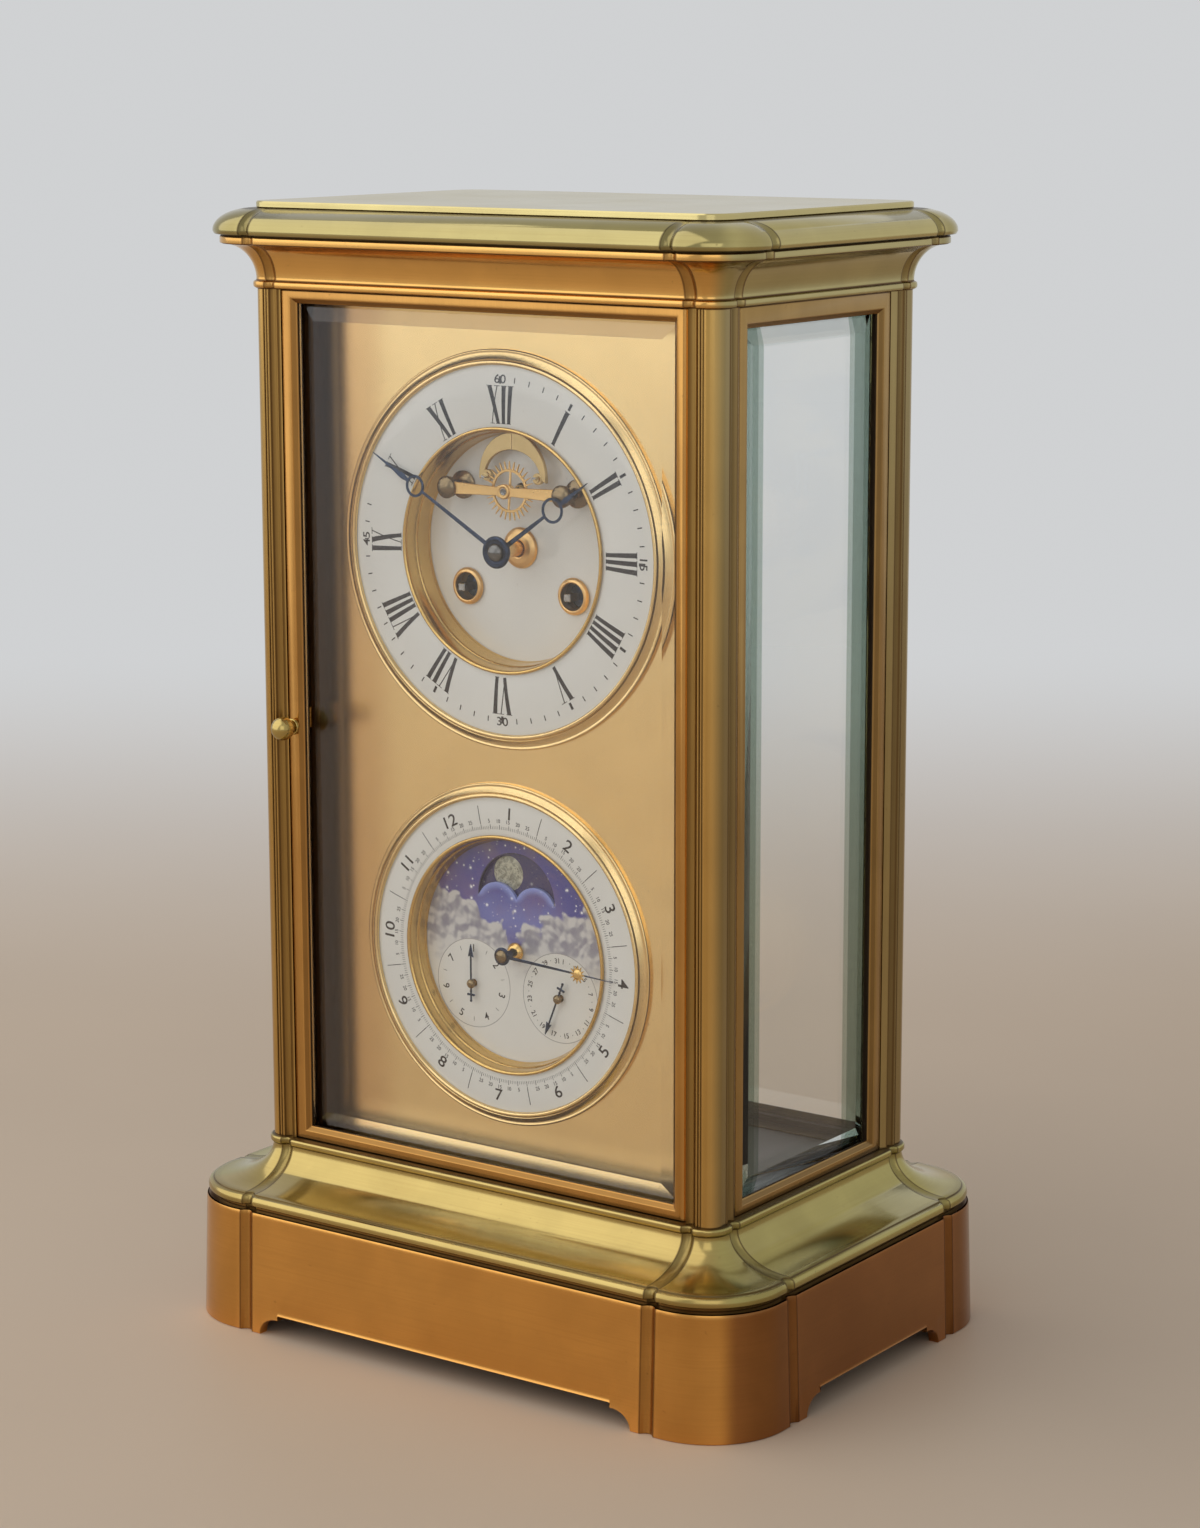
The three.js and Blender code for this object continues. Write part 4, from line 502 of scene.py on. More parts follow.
def brass(
    f, colour, roughness, grain, tarnish, flute=0.0, lines=(), reeds=(), corner=0.0, painted_inside_shade=False,
    relief=FULL_RELIEF, side=None,
):
    """Lacquered brass: brushed grain and soft patina, dirt and painted shade in grooves, joints and hollows,
    wear and a painted highlight on rounded edges.

    flute is the corner flutes' half width, lines are levels and reeds are upright joints, both darkened with
    dirt and painted shade;
    corner is how far the round corners get a painted reflection, darker beside their middle; the flag after
    it, when true, lays dark brown painted shade on what the case encloses; relief is the depth of the
    brushing, and side tints the case's sides with painted reflection.
    """
    place = f.place()
    x, y, z = (axis / MM for axis in f.axes())
    mottle = f.noise(place, 46, 4, 0.55, 0.4)
    brushing = f.noise(f.stretched(*grain), 1.0, 3, 0.65)
    clouds = f.noise(place, 11, 2, 0.5, 0.8)
    # Darkening of hollows, flutes, level joints and the lines between reeds: partly dirt, partly painted
    # shade in these recesses.
    bend = f.relief()
    dark = bend.step(0.06, 0.3) * 0.75
    if flute:
        for line, middle in ((x.size(), FLUTE_X), (y.size(), FLUTE_Y)):
            hollow = 0.5 if reeds else 0.4
            dark = dark.most(band(line, middle, flute + 0.3, 0.25) * hollow)
            dark = dark.most(band((line - middle).size(), flute + 0.1, 0.34, 0.8) * 0.8)
    for level in lines:
        dark = dark.most(band(z, level, 0.3, 0.6) * 0.9)
    for level, edge in reeds:
        dark = dark.most(band(x.size() if edge == "x" else y.size(), level, 0.38, 0.9) * 0.85)
    # Rounded edges are made lighter and bluer: partly wear, partly a painted highlight.
    worn_and_highlit = (-bend).step(0.07, 0.42)
    brushed = min(1.0, relief / FULL_RELIEF)
    uneven = 0.3 + 0.7 * brushed
    # Tarnish colour, also used darker for the painted reflection on the round corners, and the near black
    # brown of dirt and painted shade.
    tarnish_and_shade, grime_and_shade = tinted(colour, 0.62, 0.52, 0.42), tinted(colour, 0.15, 0.11, 0.1)
    bright = tinted(colour, 1.35, 1.33, 1.45)
    tone = f.mix(mottle.step(0.3, 0.72), shade(colour, 1 - 0.07 * uneven), shade(colour, 1 + 0.06 * uneven))
    tone = f.mix(clouds.step(0.42, 0.72, 0.0, tarnish), tone, tarnish_and_shade)
    tone = f.mix(brushing.step(0.35, 0.75, 0.0, 0.16 * brushed), tone, tarnish_and_shade)
    tone = f.mix(worn_and_highlit * 0.5, tone, bright)
    sideways = x.size() - y.size() - CORNER_SKEW
    # Painted reflection: each round corner is darker on both sides of its middle, as if the polished lobe
    # mirrored darker surroundings there.
    if corner:
        lobe = (x.size() - FLUTE_X).step(0, corner * 0.4)
        lobe = lobe * (y.size() - FLUTE_Y).step(0, corner * 0.4)
        tone = f.mix(lobe * sideways.size().step(corner * 0.2, corner) * 0.22, tone, shade(tarnish_and_shade, 0.6))
    # Painted reflection: the case's sides get their own tint, for the darker and cooler surroundings that
    # they mirror.
    if side:
        tone = f.mix(sideways.step(-5, 5), tone, side, "MULTIPLY")
    # Dirt and painted shade in the recesses.
    tone = f.mix(dark, tone, grime_and_shade)
    specks = f.noise(place, 640, 2, 0.5).step(0.72, 0.79)
    tone = f.mix(specks * 0.3, tone, grime_and_shade)
    spread = 0.15 * brushed
    rough = clouds.step(0.3, 0.8, roughness * (1 - spread), roughness * (1 + spread))
    rough = rough + dark * 0.25 + brushing.step(0.3, 0.8, 0, 0.05 * brushed)
    if painted_inside_shade:
        # Painted shade and dark reflection: what the case encloses is browned nearly black.
        inside = x.size().step(INSIDE_X + 0.3, INSIDE_X - 0.3) * y.size().step(INSIDE_Y + 0.3, INSIDE_Y - 0.3)
        tone = f.mix(inside, tone, (0.085, 0.055, 0.035))
        rough = rough + inside * 0.3
    return f.surface(f.principled(
        Base_Color=tone, Metallic=1.0, Roughness=rough, Normal=f.bump(brushing, relief, 0.00012),
        Coat_Weight=0.1, Coat_Roughness=0.1,
    ))


def steel(f, colour, roughness, share):
    """Polished steel, mottled towards a share of its colour, lighter on rounded edges with wear and a painted
    highlight.
    """
    mottle = f.noise(f.place(), 90, 4, 0.6)
    lines = f.noise(f.stretched(900, 900, 900), 1.0, 2)
    # Rounded edges are made lighter: partly wear, partly a painted highlight.
    worn_and_highlit = (-f.relief()).step(0.08, 0.4)
    tone = f.mix(mottle.step(0.3, 0.75), colour, shade(colour, share))
    tone = f.mix(worn_and_highlit * 0.4, tone, tuple(min(1, c * 1.7 + 0.03) for c in colour[:3]))
    return f.surface(f.principled(
        Base_Color=tone, Metallic=1.0, Roughness=mottle.step(0.2, 0.8, roughness * 0.8, roughness * 1.3),
        Normal=f.bump(lines, 0.05, 0.0001),
    ))


def enamel_surface(f, tone):
    """Fired enamel: a wet gloss over a faintly uneven surface."""
    ripple = f.noise(f.place(), 55, 2, 0.4)
    pits = f.noise(f.place(), 900, 2, 0.5)
    return f.surface(f.principled(
        Base_Color=tone, Roughness=ripple.step(0.2, 0.8, 0.1, 0.2),
        Normal=f.bump(ripple + pits * 0.04, 0.06, 0.0006), Coat_Weight=0.5, Coat_Roughness=0.04,
    ))


def enamel_tone(f, colour):
    """An enamel colour, faintly cloudy and specked."""
    cloudy = f.noise(f.place(), 30, 3, 0.5)
    specks = f.noise(f.place(), 700, 1, 0.5).step(0.76, 0.8)
    tone = f.mix(cloudy.step(0.3, 0.7), colour, shade(colour, 0.955))
    return f.mix(specks * 0.25, tone, (0.3, 0.26, 0.2))


def enamel(f, finishes):
    """Plain white enamel."""
    return enamel_surface(f, enamel_tone(f, finishes.enamel))


def from_calendar(f):
    """How far a point lies aside of the calendar dial's centre and above it, in millimetres."""
    x, _, z = f.axes()
    return x / MM, (z - CALENDAR_DIAL.height * MM) / MM


def night(f, side, up, finishes):
    """Deep sky from violet above to a light blue glow at the humps, with stars of several sizes."""
    drift = f.noise(f.place(), 60, 4, 0.6, 0.8)
    tone = f.mix(drift.step(0.35, 0.7), finishes.sky, finishes.dusk)
    tone = f.mix((up - 27).step(0, 12) * drift.step(0.35, 0.65) * 0.5, tone, (0.14, 0.12, 0.22))
    glow = (up - 11 + (drift - 0.5) * 12).size().step(12, 0) * side.size().step(26, 12)
    tone = f.mix(glow * 0.55, tone, finishes.glow)
    flat = f.node("CombineXYZ", {}, side, up, 0.0)
    for scale, size, strength, rare in (
        (0.17, 0.1, 1.0, 0.58), (0.27, 0.1, 0.85, 0.66), (0.5, 0.11, 0.5, 0.72)
    ):
        settings = {"voronoi_dimensions": "2D"}
        cells = f.node("TexVoronoi", settings, Vector=flat, Scale=scale, Randomness=1.0)
        pick = f.node("TexVoronoi", settings, Vector=flat, Scale=scale, Randomness=1.0, output="Color")
        chance = f.node("SeparateColor", {}, pick)
        core, halo = cells.step(size, size * 0.4), cells.step(size * 2.2, 0) * 0.3
        star = (core + halo) * chance.step(rare, rare + 0.02)
        tone = f.mix(star * strength, tone, (0.95, 0.95, 1.0))
    return tone


def away_from(side, up, x, z):
    """How far a point of the dial lies from this one."""
    du, dw = side - x, up - z
    return (du * du + dw * dw).root()


def billows(f, side, up, dx=0.0, dz=0.0):
    """Height of soft rounded clouds: round lobes of three sizes, bent a little."""
    bend = f.noise(f.place(), 90, 2, 0.4)
    flat = f.node("CombineXYZ", {}, side + dx + bend * 5, up + dz - bend * 5, 0.0)
    height = 0.0
    for scale, share in ((0.1, 0.58), (0.21, 0.3), (0.42, 0.12)):
        cells = f.node(
            "TexVoronoi", {"voronoi_dimensions": "2D", "feature": "SMOOTH_F1"},
            Vector=flat, Scale=scale, Smoothness=0.7, Randomness=0.9,
        )
        height = (1 - cells) * share + height
    return height


def painted_dial(f, finishes):
    """The calendar's centre: sky, soft clouds below it, plain enamel at the foot and in the small dials."""
    side, up = from_calendar(f)
    sky = night(f, side, up, finishes)
    half, radius, middle = hump_sizes()
    # Painted highlight: a light blue rim along the edges of the two humps.
    for sign in (-1, 1):
        away = away_from(side, up, sign * half, middle)
        rim = away.step(radius - 3.2, radius) * away.step(radius + 0.5, radius + 0.1)
        rim = rim * (up - MOON_RISE).step(-1.5, 1)
        sky = f.mix(rim * 0.85, sky, finishes.gleam)
    rise = up - MOON_RISE
    arch = (side * side + rise * rise).root()
    # Painted shadow along the upper edge of the moon's window.
    sky = f.mix(
        band(arch, MOON_WINDOW + 0.1, 0.25, 0.6) * rise.step(-0.5, 0.5) * 0.85, sky, (0.015, 0.012, 0.05)
    )
    puffs = billows(f, side, up)
    lit = billows(f, side, up, -0.9, 1.5)
    wisps = f.noise(f.place(), 150, 3, 0.5, 0.6)
    cloud = f.mix((puffs - lit).step(-0.1, 0.11), finishes.cloud_shade, finishes.cloud)
    cloud = f.mix(wisps.step(0.35, 0.8, 0, 0.3), cloud, (0.72, 0.70, 0.70))
    bank = up - (puffs - 0.5) * 30 - side.size() * 0.4
    tone = f.mix((bank - 2.5).step(-2.2, 1.6), cloud, sky)
    ground = enamel_tone(f, finishes.enamel)
    fade = (up + (wisps - 0.5) * 12 + 3).step(-8, 9)
    tone = f.mix(fade, ground, tone)
    for sign in (-1, 1):
        away = away_from(side, up, sign * SUBDIAL_X, -SUBDIAL_DROP)
        tone = f.mix(away.step(SUBDIAL_RADIUS, SUBDIAL_RADIUS - 0.12), tone, ground)
        tone = f.mix(band(away, SUBDIAL_RADIUS - 0.2, 0.12, 0.4) * 0.75, tone, (0.2, 0.18, 0.2))
    return enamel_surface(f, tone)


def moon_sky(f, finishes):
    """The darker sky on the moon's disc."""
    return enamel_surface(f, f.mix(0.68, night(f, *from_calendar(f), finishes), (0.02, 0.016, 0.06)))


def moon_face(f, finishes):
    """Pale moon with craters."""
    place = f.place()
    rough = f.noise(place, 420, 4, 0.7, 0.8)
    craters = f.node("TexVoronoi", {}, Vector=place, Scale=900, Randomness=1.0)
    tone = f.mix(rough.step(0.38, 0.62), finishes.moon, shade(finishes.moon, 0.45))
    tone = f.mix(craters.step(0.32, 0.18, 0, 0.7), tone, shade(finishes.moon, 0.3))
    return f.surface(f.principled(
        Base_Color=tone, Roughness=0.42, Metallic=0.25, Normal=f.bump(craters, 0.3, 0.0002),
    ))


def ink(f, colour, spread):
    """Printing fired into the enamel, a little uneven."""
    tone = f.mix(f.noise(f.place(), 500, 2).step(0.3, 0.8), colour, shade(colour, spread))
    return f.surface(f.principled(Base_Color=tone, Roughness=0.24, Coat_Weight=0.35, Coat_Roughness=0.06))


def glass(f, finishes):
    """Clear plate glass, green in its bevelled edges, with a painted brown reflection on the front pane near
    its catch; lamps shine through it.
    """
    x, y, z = (axis / MM for axis in f.axes())
    side = x.size().step(80.0, 82.0)                                # the side panes
    slope = side * y.size().step(28.2, 28.8)                        # their upright bevels
    slope = slope.most((z.step(80.5, 79.0) + z.step(358.4, 359.8)) * side * 0.25)     # and the level ones
    # Painted reflection: the front pane near its catch is tinted brown.
    door = (1 - side) * x.step(-54.0, -70.0) * y.step(1, -1) * 0.55     # the front pane near its catch
    tone = f.mix(slope, finishes.glass, finishes.glass_edge)
    body = f.principled(
        Base_Color=f.mix(door, tone, (0.72, 0.52, 0.38)), Roughness=0.0, Transmission_Weight=1.0, IOR=1.5,
    )
    clear = f.node("BsdfTransparent", {}, Color=(*shade(finishes.glass, 0.97), 1))
    shadow = f.node("LightPath", output="Is Shadow Ray")
    return f.surface(f.node("MixShader", {}, shadow.most(shadow.output("Is Diffuse Ray")), body, clear))


LEVEL = (18, 18, 2400)        # brushing that runs along a moulding
UPRIGHT = (2400, 2400, 14)    # brushing that runs up a pillar
BASE_LINES = (PLINTH_TOP, 50.5, 63.5, MOULDING_TOP)
CORNICE_LINES = (PILLAR_TOP, 376.2, 388.9, COVE_TOP, 392.1, OVOLO_TOP)
REED_LINES = ((89.8, "x"), (91.1, "x"), (92.3, "x"), (53.8, "y"), (55.1, "y"))

BRUSHED, SATIN, COARSE = (900, 900, 900), (700, 700, 700), (1500, 1500, 1500)

# The case's brasses are one brass in tinted copies: the plinth, mouldings, top, pillars and frames each get a
# tint, and a side tint apart from the front, which are painted reflection of what these faces mirror.
MAKERS = {
    "plinth_brass": lambda f, s: brass(
        f, tinted(s.brass, 1.30, 0.81, 0.52), 0.2, LEVEL, 0.3, PLINTH_FLUTE, (PLINTH_TOP,), corner=16,
        side=(0.5, 0.44, 0.55),
    ),
    "base_brass": lambda f, s: brass(
        f, tinted(s.brass, 0.86, 0.8, 0.72), 0.19, LEVEL, 0.25, MOULDING_FLUTE, BASE_LINES, corner=16,
        side=(0.95, 1.08, 1.1),
    ),
    "cove_brass": lambda f, s: brass(
        f, tinted(s.brass, 1.36, 0.95, 0.70), 0.19, LEVEL, 0.2, MOULDING_FLUTE, CORNICE_LINES, corner=12,
        side=(0.64, 0.95, 1.45),
    ),
    "cornice_brass": lambda f, s: brass(
        f, tinted(s.brass, 0.70, 0.73, 0.78), 0.15, LEVEL, 0.12, MOULDING_FLUTE, CORNICE_LINES, corner=14,
        side=(1.38, 1.39, 1.38),
    ),
    "top_brass": lambda f, s: brass(f, tinted(s.brass, 1.05, 1.1, 1.25), 0.17, LEVEL, 0.12),
    "pillar_brass": lambda f, s: brass(
        f, tinted(s.brass, 1.10, 0.84, 0.62), 0.17, UPRIGHT, 0.3, PILLAR_FLUTE, (MOULDING_TOP, PILLAR_TOP),
        REED_LINES, 4, True, side=(0.58, 0.72, 1.05),
    ),
    "frame_brass": lambda f, s: brass(
        f, tinted(s.brass, 0.93, 0.60, 0.42), 0.2, UPRIGHT, 0.25, lines=(66.7, 373.0), painted_inside_shade=True,
        side=(0.82, 0.98, 1.25),
    ),
    "floor_brass": lambda f, s: brass(f, (0.075, 0.07, 0.065), 0.42, COARSE, 0.2),
    "movement_brass": lambda f, s: brass(f, tinted(s.brass, 1.1, 0.95, 0.9), 0.3, COARSE, 0.2),
    "plate_brass": lambda f, s: brass(f, s.satin, 0.25, (2600, 900, 60), 0.05, relief=0.002),
    "rim_brass": lambda f, s: brass(f, shade(s.satin, 0.95), 0.22, BRUSHED, 0.05),
    "ring_gilt": lambda f, s: brass(f, tinted(s.gilt, 0.84, 0.84, 0.8), 0.2, BRUSHED, 0.15),
    # Painted shade: the anchor's arch is a darker, greyer copy of the gilding, as it lies partly in shadow.
    "arch_gilt": lambda f, s: brass(f, tinted(s.gilt, 0.68, 0.76, 0.95), 0.3, SATIN, 0.15),
    "gilt_brass": lambda f, s: brass(f, s.gilt, 0.2, BRUSHED, 0.1),
    "satin_gilt": lambda f, s: brass(f, tinted(s.gilt, 1.0, 0.96, 1.1), 0.34, SATIN, 0.1),
    "wheel_brass": lambda f, s: brass(f, tinted(s.gilt, 0.9, 0.88, 0.95), 0.26, SATIN, 0.1),
    # Painted reflection: gilding darkened to brown, for polished domes, posts and hubs that would mirror dark
    # surroundings.
    "aged_brass": lambda f, s: brass(f, tinted(s.gilt, 0.30, 0.33, 0.5), 0.17, BRUSHED, 0.2),
    "polished_steel": lambda f, s: steel(f, s.steel, 0.16, 0.8),
    # Painted reflection: steel at half its colour, so that polished caps look as if they mirror dark
    # surroundings.
    "dark_steel": lambda f, s: steel(f, shade(s.steel, 0.5), 0.1, 0.72),
    "blued_steel": lambda f, s: steel(f, s.blued, 0.22, 0.5),
    "enamel": enamel,
    "painted_dial": painted_dial,
    "moon_sky": moon_sky,
    "moon_face": moon_face,
    "printing_ink": lambda f, s: ink(f, (0.012, 0.01, 0.014), 1.8),
    "grey_ink": lambda f, s: ink(f, (0.075, 0.07, 0.08), 0.7),
    "glass": glass,
}


# Geometry Nodes that repeat a drawn mark

def node_group(name, inputs):
    """An empty geometry tree with these named inputs, and its input and output nodes."""
    tree = bpy.data.node_groups.new(name, "GeometryNodeTree")
    tree.interface.new_socket("Mark", in_out="INPUT", socket_type="NodeSocketGeometry")
    for label, kind, value in inputs:
        socket = tree.interface.new_socket(label, in_out="INPUT", socket_type=kind)
        if value is not None:
            socket.default_value = value
    tree.interface.new_socket("Made", in_out="OUTPUT", socket_type="NodeSocketGeometry")
    start, end = add_node(tree, "NodeGroupInput"), add_node(tree, "NodeGroupOutput")
    return tree, {o.name: Socket(tree, o) for o in start.socket.node.outputs if o.name}, end


def finish_tree(tree, made, end, material):
    """Every tree ends by making its copies real and giving them the finish."""
    real = add_node(tree, "GeometryNodeRealizeInstances", {}, made)
    out = add_node(tree, "GeometryNodeSetMaterial", {}, real, Material=material)
    tree.links.new(out.socket, end.inputs[0])
    return tree


def ring_tree():
    """Repeats a mark round an axis that runs front to back, leaving out each nth where asked."""
    tree, at, end = node_group("marks_in_a_ring", [
        ("Count", "NodeSocketInt", 12), ("Radius", "NodeSocketFloat", 0.01),
        ("First angle", "NodeSocketFloat", 0.0), ("Leave out each", "NodeSocketInt", 0),
        ("Finish", "NodeSocketMaterial", None),
    ])
    node = partial(add_node, tree)
    index = node("GeometryNodeInputIndex", {})
    angle = at["First angle"] + index * (2 * math.pi) / at["Count"]
    spot = node(
        "CombineXYZ", {},
        node("Math", {"operation": "SINE"}, angle) * at["Radius"], 0.0,
        node("Math", {"operation": "COSINE"}, angle) * at["Radius"],
    )
    points = node("GeometryNodePoints", {}, at["Count"], spot)
    beat = node("Math", {"operation": "MODULO"}, index, at["Leave out each"].most(1.0))
    dropped = node("Math", {"operation": "LESS_THAN"}, beat, 0.5) * at["Leave out each"].least(1.0)
    kept = node("GeometryNodeDeleteGeometry", {"domain": "POINT"}, points, dropped)
    turn = node("CombineXYZ", {}, 0.0, angle, 0.0)
    copies = node("GeometryNodeInstanceOnPoints", {}, kept, Instance=at["Mark"], Rotation=turn)
    return finish_tree(tree, copies, end, at["Finish"])


TREES = {}


def grown(maker, mark, finish="gilt_brass", **inputs):
    """The shape that a tree makes of a drawn mark; lengths are given in metres, angles in radians."""
    if maker not in TREES:
        TREES[maker] = maker()
    tree = TREES[maker]
    mesh = bpy.data.meshes.new("drawn")
    mesh.from_pydata([Vector(p) * MM for p in mark.points], [], mark.faces)
    drawn = bpy.data.objects.new("drawn", mesh)
    bpy.context.scene.collection.objects.link(drawn)
    modifier = drawn.modifiers.new("made", "NODES")
    modifier.node_group = tree
    inputs["Finish"] = finish_of(finish)
    for item in tree.interface.items_tree:
        if item.in_out == "INPUT" and item.name.replace(" ", "_") in inputs:
            modifier[item.identifier] = inputs[item.name.replace(" ", "_")]
    made = bpy.data.meshes.new_from_object(drawn.evaluated_get(bpy.context.evaluated_depsgraph_get()))
    drawn.modifiers.clear()
    bpy.data.objects.remove(drawn)
    return Shape().add([tuple(v.co / MM) for v in made.vertices], [tuple(p.vertices) for p in made.polygons])


def ring(mark, count, radius=0.0, first=0.0, leave_out=0, finish="gilt_brass"):
    """Copies of a mark drawn upright at the top, round an axis; radius in millimetres, first in degrees."""
    return grown(
        ring_tree, mark, finish, Count=count, Radius=radius * MM,
        First_angle=math.radians(first), Leave_out_each=leave_out,
    )


# The case

def flute(centre, half, depth, place, steps=10):
    """A hollow of parabolic section across a face."""
    points = []
    for i in range(steps + 1):
        t = 2 * i / steps - 1
        points.append(place(centre + half * t, depth * (1 - t * t)))
    return points


def case_plan(case, out, half, front=(), side=()):
    """The case's outline in plan, anticlockwise from above; extra points stand on the straight runs."""
    x, y = case.pillar_x + out, case.pillar_y + out
    r = LOBE_ROUNDING * min(x - case.flute_x - half, y - case.flute_y - half)
    lobe = [(px, -py) for px, py in arc(x - r, y - r, r, 90, 0, 22)]
    corner = [
        *((u, -y) for u in front),
        *flute(case.flute_x, half, FLUTE_DEPTH, lambda u, d: (u, -y + d)),
        *lobe,
        *flute(-case.flute_y, half, FLUTE_DEPTH, lambda u, d: (x - d, u)),
        *((x, -v) for v in reversed(side)),
    ]
    return mirrored(corner, lambda p, sx, sy: (p[0] * sx, p[1] * sy))


def mirrored(corner, flip):
    """A quarter outline carried round all four corners."""
    return [
        *corner,
        *[flip(p, 1, -1) for p in reversed(corner)],
        *[flip(p, -1, -1) for p in corner],
        *[flip(p, -1, 1) for p in reversed(corner)],
    ]


def held(value, limit):
    """A value kept within this limit on both sides."""
    return max(-limit, min(limit, value))


def moulding(case, profile, half):
    """A moulding round the case: a profile of (out, height) points, open inside."""
    rows = [[(x, y, z) for x, y in case_plan(case, out, half)] for out, z in profile]
    for z in (profile[-1][1], profile[0][1]):
        rows.append([(held(x, OPENING_X), held(y, OPENING_Y), z) for x, y, _ in rows[0]])
    return Shape().skin(rows, closed=True)


def foot_line(half):
    """Half the cut between two feet, from the middle out: (distance, height) points."""
    rise = CUT_HEIGHT - CUT_STEP
    curve = [(half + 0.8 + CUT_CURVE * math.sin(t), rise * math.cos(t)) for t in turns(12)]
    return [(0, CUT_HEIGHT), (half - 0.3, CUT_HEIGHT), (half, CUT_HEIGHT - 0.3), (half, rise), *curve]


def plinth(case):
    """The plinth: a battered wall with fluted corners, cut out below between the feet."""
    front, side = foot_line(CUT_HALF_X), foot_line(CUT_HALF_Y)
    def plan(out):
        return case_plan(case, out, PLINTH_FLUTE, [u for u, _ in front], [u for u, _ in side])
    plain = len(case_plan(case, 0, PLINTH_FLUTE)) // 4
    corner = [*(z for _, z in front), *([0.0] * plain), *(z for _, z in reversed(side))]
    lows = mirrored(corner, lambda z, sx, sy: z)
    foot, top = case.foot_out, case.foot_out - case.plinth_batter
    wall = 4
    def level(out, z, lift=0.0):
        return [(x, y, max(z, low + lift)) for (x, y), low in zip(plan(out), lows)]
    inner = [(held(x, OPENING_X), held(y, OPENING_Y)) for x, y in plan(0)]
    low, high = (foot - 0.3, CUT_HEIGHT + 1), (top + 0.1, PLINTH_TOP - 1.2)
    between = [[a + (b - a) * share for a, b in zip(low, high)] for share in (0, 0.025, 0.975, 1)]
    rows = [level(foot - 0.35, 0), level(foot, 0, 0.35), *[level(*step) for step in between]]
    rows += [level(top - 0.15, PLINTH_TOP - 0.35), level(top - 0.6, PLINTH_TOP)]
    rows += [[(x, y, PLINTH_TOP) for x, y in inner], [(x, y, PLINTH_TOP - wall) for x, y in inner]]
    rows += [level(top - wall, PLINTH_TOP - wall), level(foot - wall, 0, 0.35), level(foot - wall, 0)]
    shape = Shape().skin(rows, closed=True)
    n = len(lows)
    shape.faces += [tuple(range(k * n, (k + 1) * n)) for k in (8, 9)]
    shape.faces = [f for f in shape.faces if not (6 * n <= f[0] < 7 * n and len(f) == 4)]
    return shape


def pins(z0, z1):
    """The pins that both doors turn on."""
    shape = Shape()
    for side in (1, -1):
        at = (side * (DOOR_HALF - PIVOT_INSET), -side * (DOOR_FACE_Y - PIVOT_INSET))
        shape.lathe([(0, z0), (1.1, z0), (1.1, z1), (0, z1)], *at, sides=20, upright=True)
    return shape


def base_moulding(case):
    """Lip, cavetto and ring above the plinth, with the doors' lower pins."""
    lip, low, ring_low = case.lip_out, PLINTH_TOP, MOULDING_TOP - RING_THICK
    profile = [
        (lip - 2.4, low), (lip - 2.2, low + 1.4),
        *rounded([
            (lip - 2.2, low + 1.5), (lip - 0.1, low + 1.7), (lip + 0.05, low + 3.4), (lip - 0.5, low + 4.9),
            (lip - 1.6, low + 5.2),
        ], 0.9, 4, closed=False),
        (lip - 1.75, low + 5.25), (lip - 2.0, low + 5.75),
        *quarter((1, ring_low - 0.3), (lip - 2.3, low + 5.85), 18)[::-1],
        *rounded([
            (1.05, ring_low), (RING_OUT, ring_low + 0.3), (RING_OUT + 0.1, ring_low + RING_THICK * 0.5),
            (RING_OUT, ring_low + RING_THICK - 0.5), (0.9, MOULDING_TOP),
        ], 0.7, 4, closed=False),
    ]
    shape = moulding(case, profile, MOULDING_FLUTE)
    return shape.join(pins(MOULDING_TOP - 2, MOULDING_TOP + 2.1))


def cornice_cove(case):
    """Ring, cove and fillet above the pillars, with the doors' upper pins."""
    ring_top, fillet_low = PILLAR_TOP + RING_THICK, COVE_TOP - FILLET_THICK
    profile = [
        *rounded([
            (0.9, PILLAR_TOP), (RING_OUT, PILLAR_TOP + 0.5), (RING_OUT + 0.1, PILLAR_TOP + RING_THICK * 0.5),
            (RING_OUT, ring_top - 0.4), (1.0, ring_top - 0.05),
        ], 0.7, 4, closed=False),
        *quarter((0.85, ring_top + 0.2), (FILLET_OUT - 0.8, fillet_low - 0.15), 18),
        *rounded([
            (FILLET_OUT - 0.7, fillet_low), (FILLET_OUT, fillet_low + 0.15), (FILLET_OUT, COVE_TOP - 0.5),
            (FILLET_OUT - 0.3, COVE_TOP),
        ], 0.25, 3, closed=False),
    ]
    shape = moulding(case, profile, MOULDING_FLUTE)
    return shape.join(pins(PILLAR_TOP - 2.1, PILLAR_TOP + 2))


def cornice_ovolo(case):
    """The cornice's rounded upper member."""
    out = case.ovolo_out
    profile = [
        (FILLET_OUT - 1.1, COVE_TOP), (FILLET_OUT - 1.0, COVE_TOP + 0.45),
        *rounded([
            (FILLET_OUT - 0.9, COVE_TOP + 0.5), (out - 0.5, COVE_TOP + 0.6), (out, COVE_TOP + 1.7),
        ], 0.7, 4, closed=False),
        *quarter((out, COVE_TOP + 1.9), (TOP_OUT + 0.6, OVOLO_TOP), 18)[1:],
    ]
    return moulding(case, profile, MOULDING_FLUTE)


